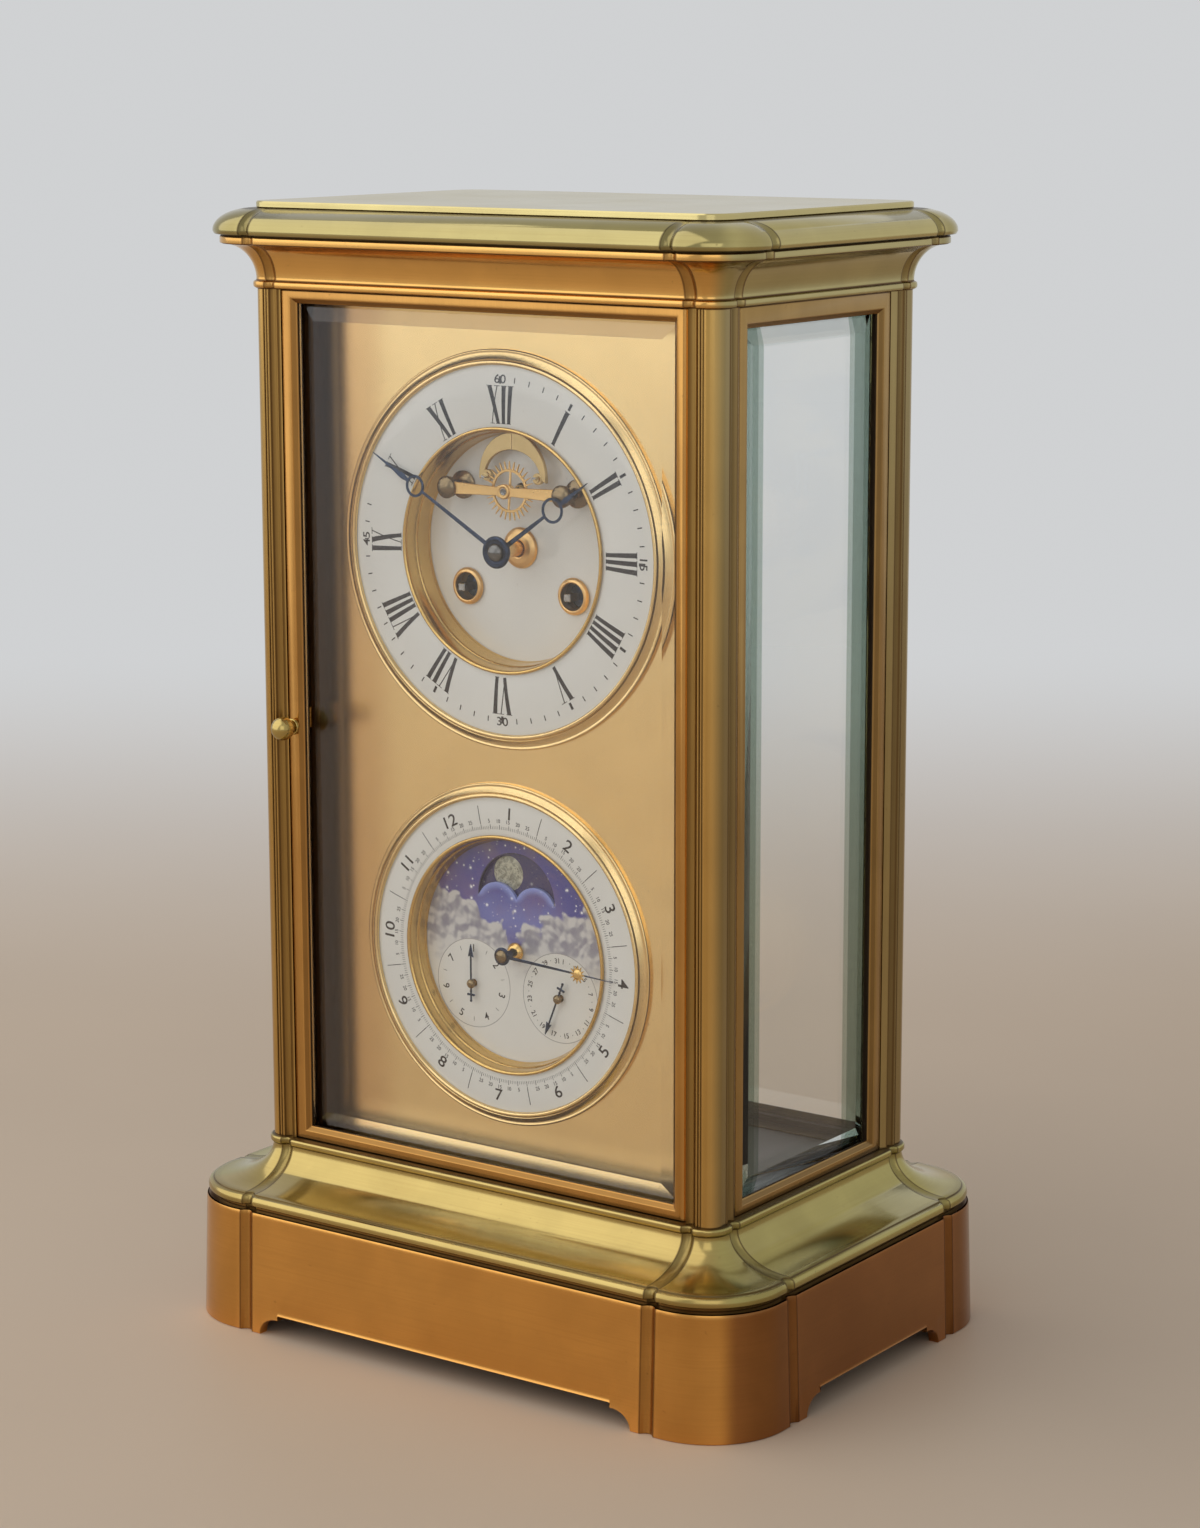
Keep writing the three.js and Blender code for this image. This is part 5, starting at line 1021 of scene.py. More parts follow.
def pillar_line(case, mortise=0.0):
    """The front right pillar in plan, fluted and reeded, with a catch's mortise of this depth."""
    x, y = case.pillar_x, case.pillar_y
    back = FRAME_DEPTH - DOOR_FACE_Y
    pocket = [
        (0, back + 1.4 + 2 * FRAME_GAP), (mortise, back + 1.4 + 2 * FRAME_GAP), (mortise, back), (0, back)
    ]
    def reed(place):
        return [place(0.45 * REED * t / 3, 0.5 * (t / 3) ** 2) for t in range(-3, 4)]
    after = case.flute_x + PILLAR_FLUTE
    behind = case.flute_y + PILLAR_FLUTE
    return [
        (PILLAR_INNER_X, -PILLAR_INNER_Y), *[(PILLAR_INNER_X + u, v) for u, v in pocket if mortise],
        (PILLAR_INNER_X, -DOOR_FACE_Y - 0.2), (PILLAR_INNER_X + 0.2, -DOOR_FACE_Y - 0.4),
        *flute(case.flute_x, PILLAR_FLUTE, FLUTE_DEPTH, lambda u, d: (u, -y + 0.3 + d)),
        *reed(lambda t, d: (after + REED * 0.6 + t, -y + d)),
        *reed(lambda t, d: (after + REED * 1.6 + t, -y + d)),
        (after + REED * 2 + 0.3, -y + 0.1),
        *[(px, -py) for px, py in arc(x - PILLAR_ROUND, y - PILLAR_ROUND, PILLAR_ROUND, 90, 0, 18)],
        (x - 0.1, -behind - REED - 0.3),
        *reed(lambda t, d: (x - d, -(behind + REED * 0.6) + t)),
        *flute(-case.flute_y, PILLAR_FLUTE, FLUTE_DEPTH, lambda u, d: (x - 0.3 - d, u)),
        (SIDE_FACE_X + 0.2, -PILLAR_INNER_Y - 0.2), (SIDE_FACE_X, -PILLAR_INNER_Y),
    ]


def frame_section():
    """A glazed frame's section: which rectangle a row follows, its growth and its depth."""
    return [
        ("outer", 0, FRAME_DEPTH), ("outer", 0, HINGE_ROUND), ("outer", 0, 1.4), ("outer", 0, 0.9),
        ("outer", 0, 0.5),
        ("outer", 0.06, 0.27), ("outer", 0.15, 0.12), ("outer", 0.45, 0.0), ("open", 2.1, 0.0),
        ("open", 1.85, 0.03), ("open", 1.6, 0.25),
        ("open", 0.5, 1.15), ("open", 0.25, 1.3), ("open", 0.02, 1.6), ("open", 0, 2.0),
        ("open", 0, FRAME_LIP), ("open", REBATE, FRAME_LIP), ("open", REBATE, FRAME_DEPTH),
    ]


def glazed_frame(half, low, high, open_half, open_heights, place, hinged=False):
    """Four mitred sides round the glass; a hinged frame's front edge is rounded beside its pillar."""
    rows = []
    for line, grow, y in frame_section():
        if line == "outer":
            x, z0, z1 = half - grow, low + grow, high - grow
        else:
            x, z0, z1 = open_half + grow, open_heights[0] - grow, open_heights[1] + grow
        right = x
        if hinged and line == "outer":
            short = max(0.0, HINGE_ROUND - y)
            right = min(x, half - HINGE_ROUND + math.sqrt(HINGE_ROUND ** 2 - short ** 2))
        rows.append([place(u, y, z) for u, z in ((-x, z0), (right, z0), (right, z1), (-x, z1))])
    return Shape().skin(rows, closed=True)


def door_place(facing):
    """A door's own frame set in the case: 1 for the front door, -1 for the rear."""
    return lambda u, y, z: (facing * u, -facing * (DOOR_FACE_Y - y), z)


def side_place(side):
    """A side frame's own frame set in the case: 1 for the right side, -1 for the left."""
    return lambda u, y, z: (side * (SIDE_FACE_X - y), side * u, z)


def knob(facing):
    """A turned ball knob on its stepped seat, with the tongue behind the stile."""
    back = FRAME_DEPTH + FRAME_GAP
    ball = [(4.2 * math.sin(t), -6.4 - 4.2 * math.cos(t)) for t in turns(18, math.pi * 0.86)]
    neck = rounded(
        [ball[-1], (1.5, -2.5), (1.7, -2.1), (2.9, -1.9), (3.1, -0.9), (2.6, -0.35), (1, -0.3)], 0.3, 3, False
    )
    x = -DOOR_HALF + 2.3
    place = door_place(facing)
    shape = Shape()
    local = Shape().lathe([*ball, *neck[1:], (1, back + 1.4), (0, back + 1.4)], x, CATCH_HEIGHT, 40)
    local.block(x - 1.6, x + 1.6, back, back + 1.4, CATCH_HEIGHT - 1.6, CATCH_HEIGHT + 5.6)
    return shape.add([place(*p) for p in local.points], local.faces)


# Dials

def bezel(dial):
    """A stepped brass rim: fine edge outside, shallow slope, and a bright bead at the enamel."""
    e, b = dial.enamel, dial.bezel
    front = ENAMEL_FRONT
    profile = [
        (b, PLATE_FRONT + 0.2),
        *rounded([(b, PLATE_FRONT - 0.3), (b, -45.9), (b - 0.5, -46.3), (b - 1.0, -46.1)], 0.4, 4, False),
        *[(b - 1.1 - (b - e - 3.2) * t, -46.0 - 1.3 * t ** 1.4) for t in (i / 8 for i in range(1, 9))],
        *rounded([
            (e + 1.9, -47.2), (e + 1.5, -47.9), (e + 0.7, -48.1), (e + 0.1, -47.6), (e, front - 0.3),
        ], 0.4, 4, False),
        (e + 1.3, front - 0.3), (e + 1.3, PLATE_FRONT + 0.2),
    ]
    return Shape(z=dial.height).lathe(profile, sides=160, closed=True)


def dome(dial, r):
    """Depth of an enamel ring's face at this radius."""
    inner, outer = dial.inner - 1.05, dial.enamel + 1
    t = (2 * r - inner - outer) / (outer - inner)
    return ENAMEL_FRONT - DOME * (1 - t * t) * 0.9


def enamel_ring(dial):
    """An enamel ring that swells towards its middle."""
    inner, outer = dial.inner - 0.4, dial.enamel + 1
    face = [(r, dome(dial, r)) for r in (inner + (outer - inner) * i / 12 for i in range(13))]
    back = ENAMEL_FRONT + ENAMEL_THICK
    return Shape(z=dial.height).lathe([*face, (outer, back), (inner, back)], sides=160, closed=True)


def inner_ring(dial):
    """The gilt ring between an enamel ring and its sunk centre: lip, two stepped walls and a foot."""
    tube = dial.inner - 1.05
    front, sunk = ENAMEL_FRONT, ENAMEL_FRONT + dial.sunk
    step = front + dial.sunk * 0.38
    profile = [
        *rounded([
            (tube, front - 0.2), (dial.inner, front - 0.45), (dial.inner - 0.15, front - 1.15),
            (dial.inner - 0.8, front - 1.4), (dial.inner - 1.4, front - 0.95),
            (dial.inner - 1.75, front + 0.2),
        ], 0.4, 4, False),
        *rounded([
            (dial.inner - 1.95, step - 0.2), (dial.inner - 2.25, step + 0.1), (dial.inner - 2.5, step + 0.5),
            (dial.inner - 2.9, sunk - 1.3), (dial.inner - 3.1, sunk - 0.9),
        ], 0.4, 3, False),
        (tube - 2.2, sunk - 0.3), (tube - 0.7, sunk - 0.3), (tube - 0.7, sunk + 1.7), (tube, sunk + 1.7),
    ]
    return Shape(z=dial.height).lathe(profile, sides=160, closed=True)


def sunk_dial(dial, holes):
    """The flat enamel centre of a dial."""
    y = ENAMEL_FRONT + dial.sunk
    return Shape(z=dial.height).plate(circle(0, 0, dial.inner - 2.05, 144), holes, y, y + ENAMEL_THICK, 0.08)


def figure_strokes(figure, low, high, pitch=2.55, thick=0.76, thin=0.17):
    """A Roman figure's strokes and serifs: (start, end, half width), upright, centred, reading outwards."""
    widths = {"I": 1.0, "V": 2.1, "X": 2.1}
    x = -sum(widths[c] for c in figure) * pitch / 2
    strokes = []
    for c in figure:
        wide = widths[c] * pitch
        a, b, mid = x + pitch * 0.5, x + wide - pitch * 0.5, x + wide / 2
        if c == "I":
            strokes.append(((mid, low), (mid, high), thick))
            ends = [(mid, low), (mid, high)]
        elif c == "V":
            strokes += [((mid + 0.2, low), (a, high), thick), ((mid + 0.1, low), (b + 0.3, high), thin)]
            ends = [(a, high), (b + 0.3, high)]
        else:
            strokes += [((b, low), (a, high), thick), ((a - 0.1, low), (b + 0.1, high), thin)]
            ends = [(a, low), (b, low), (a, high), (b, high)]
        strokes += [((ex - pitch * 0.42, ez), (ex + pitch * 0.42, ez), 0.11) for ex, ez in ends]
        x += wide
    return strokes


def printed(shape, start, end, half, face, place=lambda u, w: (u, w)):
    """A thin closed stroke on a swelling face; place moves a drawn point onto the dial."""
    start, end = Vector(start), Vector(end)
    side = Vector((start.y - end.y, end.x - start.x)).normalized() * half
    steps = max(1, round((end - start).length / 1.6))
    rows = []
    for k in range(steps + 1):
        middle = start.lerp(end, k / steps)
        a, b = place(*(middle - side)), place(*(middle + side))
        deep = [face(math.hypot(*p)) for p in (a, b)]
        rows.append([(a[0], deep[0] - INK, a[1]), (b[0], deep[1] - INK, b[1]),
                     (b[0], deep[1] + INK, b[1]), (a[0], deep[0] + INK, a[1])])
    return shape.skin(rows)


def chapter_figures(dial):
    """The twelve hour figures, spread outwards with their radius."""
    shape = Shape(z=dial.height)
    low, high = 43.7, 56.5
    names = ("XII", "I", "II", "III", "IIII", "V", "VI", "VII", "VIII", "IX", "X", "XI")
    for hour, figure in enumerate(names):
        def place(u, w, turn=math.radians(30 * hour)):
            u *= 0.86 + 0.28 * (w - low) / (high - low)
            return u * math.cos(turn) + w * math.sin(turn), w * math.cos(turn) - u * math.sin(turn)
        for start, end, half in figure_strokes(figure, low, high):
            printed(shape, start, end, half, partial(dome, dial), place)
    return shape


GLYPHS = {}


def glyphs(text, size, wide=0.94):
    """Flat closed letters of this height in millimetres, centred on the origin."""
    key = (text, size, wide)
    if key not in GLYPHS:
        curve = bpy.data.curves.new("figure", "FONT")
        curve.body, curve.size = text, size * 1.37
        curve.align_x, curve.align_y = "CENTER", "CENTER"
        curve.extrude, curve.resolution_u, curve.offset = INK / 2, 4, size * 0.012
        drawn = bpy.data.objects.new("figure", curve)
        mesh = drawn.to_mesh()
        xs, zs = [v.co.x for v in mesh.vertices], [v.co.y for v in mesh.vertices]
        middle, level = (min(xs) + max(xs)) / 2, (min(zs) + max(zs)) / 2
        points = [((v.co.x - middle) * wide, v.co.z, v.co.y - level) for v in mesh.vertices]
        GLYPHS[key] = (points, [tuple(p.vertices) for p in mesh.polygons])
        drawn.to_mesh_clear()
        bpy.data.objects.remove(drawn)
    return GLYPHS[key]


def heading(degrees):
    """A figure's turn on a circle: its head points outwards, and upwards in the lower half."""
    return degrees + 180 if 105 < degrees % 360 < 255 else degrees


def lettered(shape, text, size, radius, degrees, face, x=0.0, z=0.0, spin=None, wide=0.94):
    """Figures on a circle; face gives the depth at a radius, spin turns them on the spot."""
    points, faces = glyphs(text, size, wide)
    flat = Shape().add(points, faces).turned(heading(degrees) if spin is None else spin)
    u, w = polar(radius, degrees, x, z)
    def lift(px, pz):
        return face(math.hypot(px + u - x, pz + w - z)) - INK / 2
    return shape.add([(px + u, py + lift(px, pz), pz + w) for px, py, pz in flat.points], flat.faces)


def tick(low, high, half, face):
    """A radial mark between two radii."""
    return printed(Shape(), (0, low), (0, high), half, face)


# Hands and escapement

AXIS = {j["child"]: (j["pos_m"][0] / MM, j["pos_m"][2] / MM) for j in frame["joints"]}
ESCAPE_TEETH = 30
ESCAPE_RISE = 20.3            # the escape wheel and the anchor above the time dial's centre
ANCHOR_RISE = 37.5
PALLET_RADIUS = 11.7          # where the pallets meet the wheel, and how far above its centre
PALLET_ANGLE = math.radians(23)
PALLET_X = PALLET_RADIUS * math.cos(PALLET_ANGLE)
PALLET_DROP = ANCHOR_RISE - ESCAPE_RISE - PALLET_RADIUS * math.sin(PALLET_ANGLE)
ESCAPE_PLANE = -42.1
COCK_FRONT = -45.3
COCK_HALF = 24.4
COCK_THICK = 1.1
ARCH_PLANE = -40.4
HOUR_HAND_Y = -48.2
MINUTE_HAND_Y = -49.6
HAND_THICK = 0.6
HAND_AT = {"minute": 300, "hour": 55, "month": 93, "weekday": 0, "date": 201.6}     # degrees from the top
FRONT_PLATE_Y = -29.6
BACK_PLATE_Y = 1.0
BACK_PLATE_END = 3.4
SUBDIAL_X = 18.9
SUBDIAL_DROP = 14.1
SUBDIAL_RADIUS = 16.2
FIRST_DATE = 5.8              # degrees from the top to the first day of the month
MOON_RISE = 18.6
MOON_WINDOW = 16.4


def eye_hand(length, eye_at, eye_radius, stem, hub, y):
    """A slim hand with a pierced eye: tapering stem, thin ring, small leaf and a fine point."""
    back = y + HAND_THICK
    shape = Shape()
    low = eye_at - eye_radius + 0.35
    high = eye_at + eye_radius - 0.35
    right = [(stem, hub * 0.6), (stem * 0.82, eye_at * 0.6), (stem * 0.62, low)]
    shape.plate(both_sides(right), [], y, back, 0.14)
    tip = [
        (0.5, high), (0.62, high + 0.8), (1.0, high + 2.6), (0.92, high + 4.2), (0.55, high + 7),
        (0.1, length),
    ]
    shape.plate(both_sides(tip), [], y, back, 0.12)
    shape.plate(circle(0, eye_at, eye_radius, 48), [circle(0, eye_at, eye_radius - 0.95, 48)], y, back, 0.16)
    return shape


def minute_hand():
    """The minute hand with its stepped hub."""
    y = MINUTE_HAND_Y
    shape = eye_hand(61.8, 40.7, 3.9, 0.75, 5.6, y)
    shape.lathe([
        (0, y + 0.6), (5.0, y + 0.6), (5.6, y + 0.2), (5.6, y - 0.5), (5.1, y - 0.9), (4.3, y - 0.9),
        (4.2, y - 0.3), (0, y - 0.3),
    ], sides=64, soft=0.25)
    return shape


def steel_dome(radius, y, rise, sides=56):
    """A polished cap, domed towards the front."""
    curve = [(radius * math.cos(t), y - rise * math.sin(t)) for t in turns(12)]
    return Shape().lathe([(0, y + 0.4), (radius - 0.1, y + 0.4), *curve], sides=sides)


def spokes(shape, half, low, tip_half, high, y0, y1, edge, first=0):
    """Four tapering spokes between two radii."""
    line = [(-half, low), (half, low), (tip_half, high), (-tip_half, high)]
    for degrees in (0, 90, 180, 270):
        shape.join(Shape().plate(line, [], y0, y1, edge).turned(degrees + first))
    return shape


def escape_wheel():
    """Thirty long fine teeth on a thin rim, four spokes and a hub."""
    y, back = ESCAPE_PLANE, ESCAPE_PLANE + 0.7
    tooth = Shape().plate(
        [(-0.3, 7.2), (0.3, 7.2), (0.2, 8.6), (0.02, 10.2), (-0.1, 10.2), (-0.22, 8.6)], [], y, back, 0.05
    )
    shape = ring(tooth, ESCAPE_TEETH, finish="wheel_brass")
    shape.plate(circle(0, 0, 7.5, 96), [circle(0, 0, 6.6, 96)], y, back, 0.08)
    spokes(shape, 0.42, 1.4, 0.3, 6.8, y + 0.05, back - 0.05, 0.06, 4)
    shape.rod(2.0, y - 0.1, back + 0.1)
    shape.lathe([
        (0, y - 0.8), (1.1, y - 0.8), (1.5, y - 0.2), (1.5, y + 1.4), (0.7, y + 1.6), (0, y + 1.6),
    ], sides=36, soft=0.2)
    return shape


def escape_arbor():
    """The escape wheel's arbor, from its cock to the back plate."""
    return Shape().rod(PIVOT, COCK_FRONT + 0.2, BACK_PLATE_END, sides=24)


def arch():
    """The crescent anchor with its slit crown and pallet seats."""
    y, back, z = ARCH_PLANE, ARCH_PLANE + 1.4, -PALLET_DROP
    def across(t):
        a, b = math.radians(-5 + 190 * t), math.radians(6 + 168 * t)
        outer = 14.2 * math.cos(a), z + 15.2 * math.sin(a)
        inner = 11.9 * math.cos(b), z - 0.6 + 9.9 * math.sin(b)
        return outer, inner
    def crescent(start, end, front, rear, shift, steps=26):
        rows = []
        for k in range(steps + 1):
            (ox, oz), (ix, iz) = across(start + (end - start) * k / steps)
            if k in (0, steps) and abs(start + (end - start) * k / steps - 0.5) < 0.1:
                ox = ix = shift
            out, cut = Vector((ox - ix, oz - iz)).normalized() * 0.2, 0.2
            rows.append([
                (ox - out.x, front, oz - out.y), (ox, front + cut, oz), (ox, rear, oz),
                (ix, rear, iz), (ix, front + cut, iz), (ix + out.x, front, iz + out.y),
            ])
        return Shape().skin(rows)
    shape = crescent(0, 1, y + 0.5, back, 0, 52)
    for start, end, shift in ((0, 0.497, 0.12), (0.503, 1, -0.12)):
        shape.join(crescent(start, end, y, y + 0.6, shift))
    for side in (-1, 1):
        shape.rod(2.0, y - 0.15, back + 0.15, side * PALLET_X, z)
        shape.lathe([(0, y - 0.6), (1.0, y - 0.6), (1.2, y - 0.1), (0, y - 0.1)], side * PALLET_X, z, 24)
    return shape


def pallet_stones():
    """The two half-round pallets."""
    shape = Shape()
    for side in (-1, 1):
        half = arc(side * PALLET_X, -PALLET_DROP, 0.9, 20 if side > 0 else 160, 200 if side > 0 else 340, 14)
        shape.plate(half, [], ESCAPE_PLANE - 0.5, ARCH_PLANE + 0.2, 0.06)
    return shape


def crutch():
    """Pallet arbor and the crutch whose fork holds the pendulum rod."""
    front, back, low = 8.2, 9.6, -34
    shape = Shape().rod(0.8, ARCH_PLANE + 1.2, back, sides=24)
    shape.rod(2.2, front, back)
    shape.block(-0.9, 0.9, front + 0.1, back - 0.1, low + 0.4, -1.4)
    shape.block(-2.9, 2.9, front, back, low, low + 3, 0.3)
    for side in (-1, 1):
        shape.block(min(side * 1.8, side * 2.9), max(side * 1.8, side * 2.9), front, 16, low, low + 3, 0.25)
    return shape


def cock_bar():
    """The escapement cock: a slim bar, waisted beside its pierced boss."""
    end, h = COCK_FRONT + COCK_THICK, COCK_HALF
    line = rounded([
        (-h, -2.2), (-3, -1.5), (-2.2, -2.2), (2.2, -2.2), (3, -1.5), (h, -2.2), (h, 2.2), (3, 1.5),
        (2.2, 2.2), (-2.2, 2.2), (-3, 1.5), (-h, 2.2),
    ], 0.5, 3)
    shape = Shape().plate(line, [circle(0, 0, 1.2, 24)], COCK_FRONT, end, 0.16)
    boss = [
        (1.2, end), (2.6, end), (2.6, COCK_FRONT - 0.2), (2.3, COCK_FRONT - 0.5), (1.7, COCK_FRONT - 0.5),
        (1.5, COCK_FRONT - 0.2), (1.2, COCK_FRONT - 0.2),
    ]
    return shape.lathe(boss, sides=48, closed=True, soft=0.15, steps=2)


def cock_posts():
    """Domed screws on turned posts, with flanged feet on the enamel."""
    end, foot = COCK_FRONT + COCK_THICK, TIME_SUNK - 1.5
    shape = Shape()
    for side in (-1, 1):
        profile = [
            *[(3.9 * math.sin(t), COCK_FRONT - 0.2 - 1.8 * math.cos(t)) for t in turns(10)],
            (3.9, COCK_FRONT), (3.5, COCK_FRONT + 0.02), (3.3, end), (3.6, end + 0.1), (3.6, end + 0.4),
            (1.7, end + 0.5), (1.7, foot - 1.2), (2.2, foot - 0.6), (4.2, foot - 0.1), (4.9, foot + 0.4),
            (4.9, TIME_SUNK - 0.3), (1.7, TIME_SUNK - 0.3), (1.7, FRONT_PLATE_Y - 0.2),
            (0, FRONT_PLATE_Y - 0.2),
        ]
        shape.lathe(profile, side * COCK_HALF, 0, 56)
    return shape


def small_hand(length, tail):
    """A calendar hand: fine stem, arrow head and a cross at its tail."""
    y, back = CALENDAR_SUNK - 2, CALENDAR_SUNK - 1.5
    line = [(0.28, -tail), (0.28, length - 4.2), (1.15, length - 4.6), (0.08, length)]
    shape = Shape().plate(both_sides(line), [], y, back, 0.08)
    shape.block(-1.35, 1.35, y, back, 1.9 - tail, 2.6 - tail, 0.1)
    for side in (-1, 1):
        shape.rod(0.42, y, back, side * 1.3, 2.25 - tail, sides=16)
    shape.rod(0.45, y, back, 0, -tail, sides=16)
    shape.rod(0.45, y, back, 0, 3.6 - tail, sides=16)
    return shape


def star_wheel(count, radius, y0, y1):
    """A calendar wheel of this many rounded points."""
    line = []
    for i in range(count):
        for r, part in ((0.8, 0.0), (0.8, 0.12), (1.0, 0.46), (1.0, 0.54), (0.8, 0.88)):
            line.append(polar(radius * r, (i + part) * 360 / count))
    return Shape().plate(line, [], y0, y1, 0.08)


def sun():
    """The small gilt sun on the month hand: a domed face and twelve rays."""
    y = ENAMEL_FRONT - 1.9
    ray = Shape().plate([(-0.5, 1.6), (0.5, 1.6), (0.02, 3.25), (-0.02, 3.25)], [], y, y + 0.5, 0.08)
    shape = ring(ray, 12)
    shape.lathe([
        (0, y - 0.5), (1.2, y - 0.35), (1.9, y + 0.1), (1.9, y + 0.5), (0, y + 0.5),
    ], sides=40, soft=0.3, steps=4)
    return Shape(z=32.4).join(shape)


def hump_sizes():
    """The humps below the moon: where they stand aside, their radius and the height of its centre."""
    half, sagitta = MOON_WINDOW / 2, 5.3
    radius = (half * half + sagitta * sagitta) / (2 * sagitta)
    return half, radius, MOON_RISE + sagitta - radius


def moon_window():
    """The moon's opening: a half circle above and two humps below."""
    half, radius, middle = hump_sizes()
    spread = math.degrees(math.asin(half / radius))
    def hump(x):
        return arc(x, middle, radius, 90 + spread, 90 - spread, 16)
    return [*arc(0, MOON_RISE, MOON_WINDOW, 0, 180, 48)[:-1], *hump(-half)[:-1], *hump(half)[:-1]]


# Movement

Gear = namedtuple("Gear", "wheel pinion module")    # teeth, the leaves they drive and their module
WHEEL_THICK = 0.8
GREAT = Gear(48, 8, 0.7)
SECOND = Gear(48, 6, 0.59)
CENTRE = Gear(72, 6, 0.4)
THIRD = Gear(66, 6, 0.4)
CANNON = Gear(30, 10, 0.5)
HOUR = Gear(32, 8, 0.5)
PLANE_THIRD = -26.6
PLANE_CENTRE = -25.2
PLANE_SECOND = -23.8
PLANE_GREAT = -22.4
MOVEMENT_RADIUS = 45
MOVEMENT_PLATE = 2.4
POST_CIRCLE = 40.5
POST_ANGLES = (50, 130, 180, 0, 270)
PIVOT = 0.7                   # radius of the arbors
PIN_CIRCLE = 6.4
HAMMER_RISE = 22
CENTRE_SHAFT = 1.7
PIPE_BORE = 1.87
PENDULUM_Y = 14
PENDULUM_LENGTH = 205
BOB_RADIUS = 30
BELL_AT = (8, -2)
BELL_MOUTH = 19


def spot(radius, degrees, x=0.0, z=0.0):
    """The point at this radius, by degrees anticlockwise from the right."""
    a = math.radians(degrees)
    return x + radius * math.cos(a), z + radius * math.sin(a)


def bearing(start, end):
    """The direction from one point to another, in radians."""
    return math.atan2(end[1] - start[1], end[0] - start[0])


def mesh_phase(angle, count, mating):
    """Where the mating wheel's first tooth stands, when that wheel lies at this angle from one at phase 0."""
    part = angle * count / (2 * math.pi)
    return angle + math.pi - 2 * math.pi / mating * (0.5 - part)


def teeth(count, module, phase, y, thick, leaves=False):
    """A ring of rounded teeth, and the radius that they stand on."""
    pitch, step = count * module / 2, 2 * math.pi / count
    tip, root = pitch + 0.8 * module, pitch - (1.1 if leaves else 1.25) * module
    widths = (0.17, 0.15, 0.07) if leaves else (0.27, 0.18, 0.06)
    right = [(widths[0] * step * root, root - 0.3), (widths[0] * step * root, root + 0.3 * module),
             (widths[1] * step * pitch, pitch), (widths[2] * step * tip, tip - 0.14 * module)]
    line = [*((-u, w) for u, w in right), (0, tip), *right[::-1]]
    mark = Shape().plate(line, [], y, y + thick, 0.05)
    return ring(mark, count, 0, 90 - math.degrees(phase), finish="wheel_brass"), root


def wheel(gear, phase, y, thick, hub=0.0, bore=0.0):
    """A toothed wheel: solid, or crossed out with four tapering spokes round a hub."""
    shape, root = teeth(gear.wheel, gear.module, phase, y, thick)
    sides = 96
    if not hub:
        holes = [circle(0, 0, bore, 32)] if bore else []
        return shape.plate(circle(0, 0, root, sides), holes, y, y + thick, 0.08)
    rim = root - 1.2
    shape.plate(circle(0, 0, root, sides), [circle(0, 0, rim, sides)], y, y + thick, 0.08)
    shape.rod(hub, y - 0.05, y + thick + 0.05, sides=48)
    return spokes(shape, 0.75, hub - 0.4, 0.5, rim + 0.2, y, y + thick, 0.08)


def pinion(gear, phase, y, thick):
    """A solid pinion."""
    shape, root = teeth(gear.pinion, gear.module, phase, y, thick, True)
    return shape.rod(root, y, y + thick, sides=32)


def screw(x, z, radius, y, facing=1, turn=30, height=1.0):
    """A slotted screw head that faces forward (-1) or back (1)."""
    slot = math.degrees(math.asin(0.16))
    low, mid, top = y, y + facing * height * 0.5, y + facing * height
    shape = Shape().rod(radius, min(low, mid), max(low, mid), 0, 0, 0.05, 28)
    for half in (0, 180):
        line = arc(0, 0, radius, half + slot, half + 180 - slot, 14)
        shape.plate(line, [], min(mid - facing * 0.1, top), max(mid - facing * 0.1, top), radius * 0.1)
    return shifted(shape.turned(turn), x, z)


def shifted(shape, x, z, y=0.0):
    """The same shape moved."""
    return Shape(x, z, y).join(shape)


def turned_post(x, z, radius, y0, y1):
    """A pillar between the plates, waisted beside its collars."""
    waist = [
        (0, y0), (radius * 1.25, y0), (radius * 1.25, y0 + 1.2), (radius * 1.1, y0 + 1.5),
        (radius * 0.78, y0 + 3.4),
    ]
    other = [(r, y0 + y1 - y) for r, y in reversed(waist)]
    return Shape(x, z).lathe([*waist, (radius, (y0 + y1) / 2), *other], sides=40)


def movement_plate(y, centre):
    """A round movement plate with its pivot holes."""
    def at(body):
        x, z = AXIS[body]
        return x, z - TIME_DIAL.height
    holes = [
        circle(*at(body), 0.86, 20)
        for body in ("second_wheel", "strike_pin_wheel", "third_wheel", "hammer", "escape_wheel")
    ]
    holes += [circle(*at(body), 2.36, 32) for body in ("going_barrel", "strike_barrel")]
    holes += [circle(0, 0, centre, 32), circle(*at("anchor"), 0.96, 20)]
    return Shape(z=TIME_DIAL.height).plate(
        circle(0, 0, MOVEMENT_RADIUS, 160), holes, y, y + MOVEMENT_PLATE, 0.35
    )


def bushes(y, facing):
    """Turned rings round the pivots of a plate."""
    shape = Shape()
    for body, radius in (
        ("second_wheel", 2), ("strike_pin_wheel", 2), ("third_wheel", 1.8), ("hammer", 2), ("anchor", 1.9)
    ):
        lip = [
            (1.0, y), (radius, y), (radius, y + facing * 0.25), (radius - 0.3, y + facing * 0.4),
            (1.25, y + facing * 0.15), (1.0, y),
        ]
        shape.lathe(lip[:-1], *AXIS[body], 32, closed=True)
    return shape


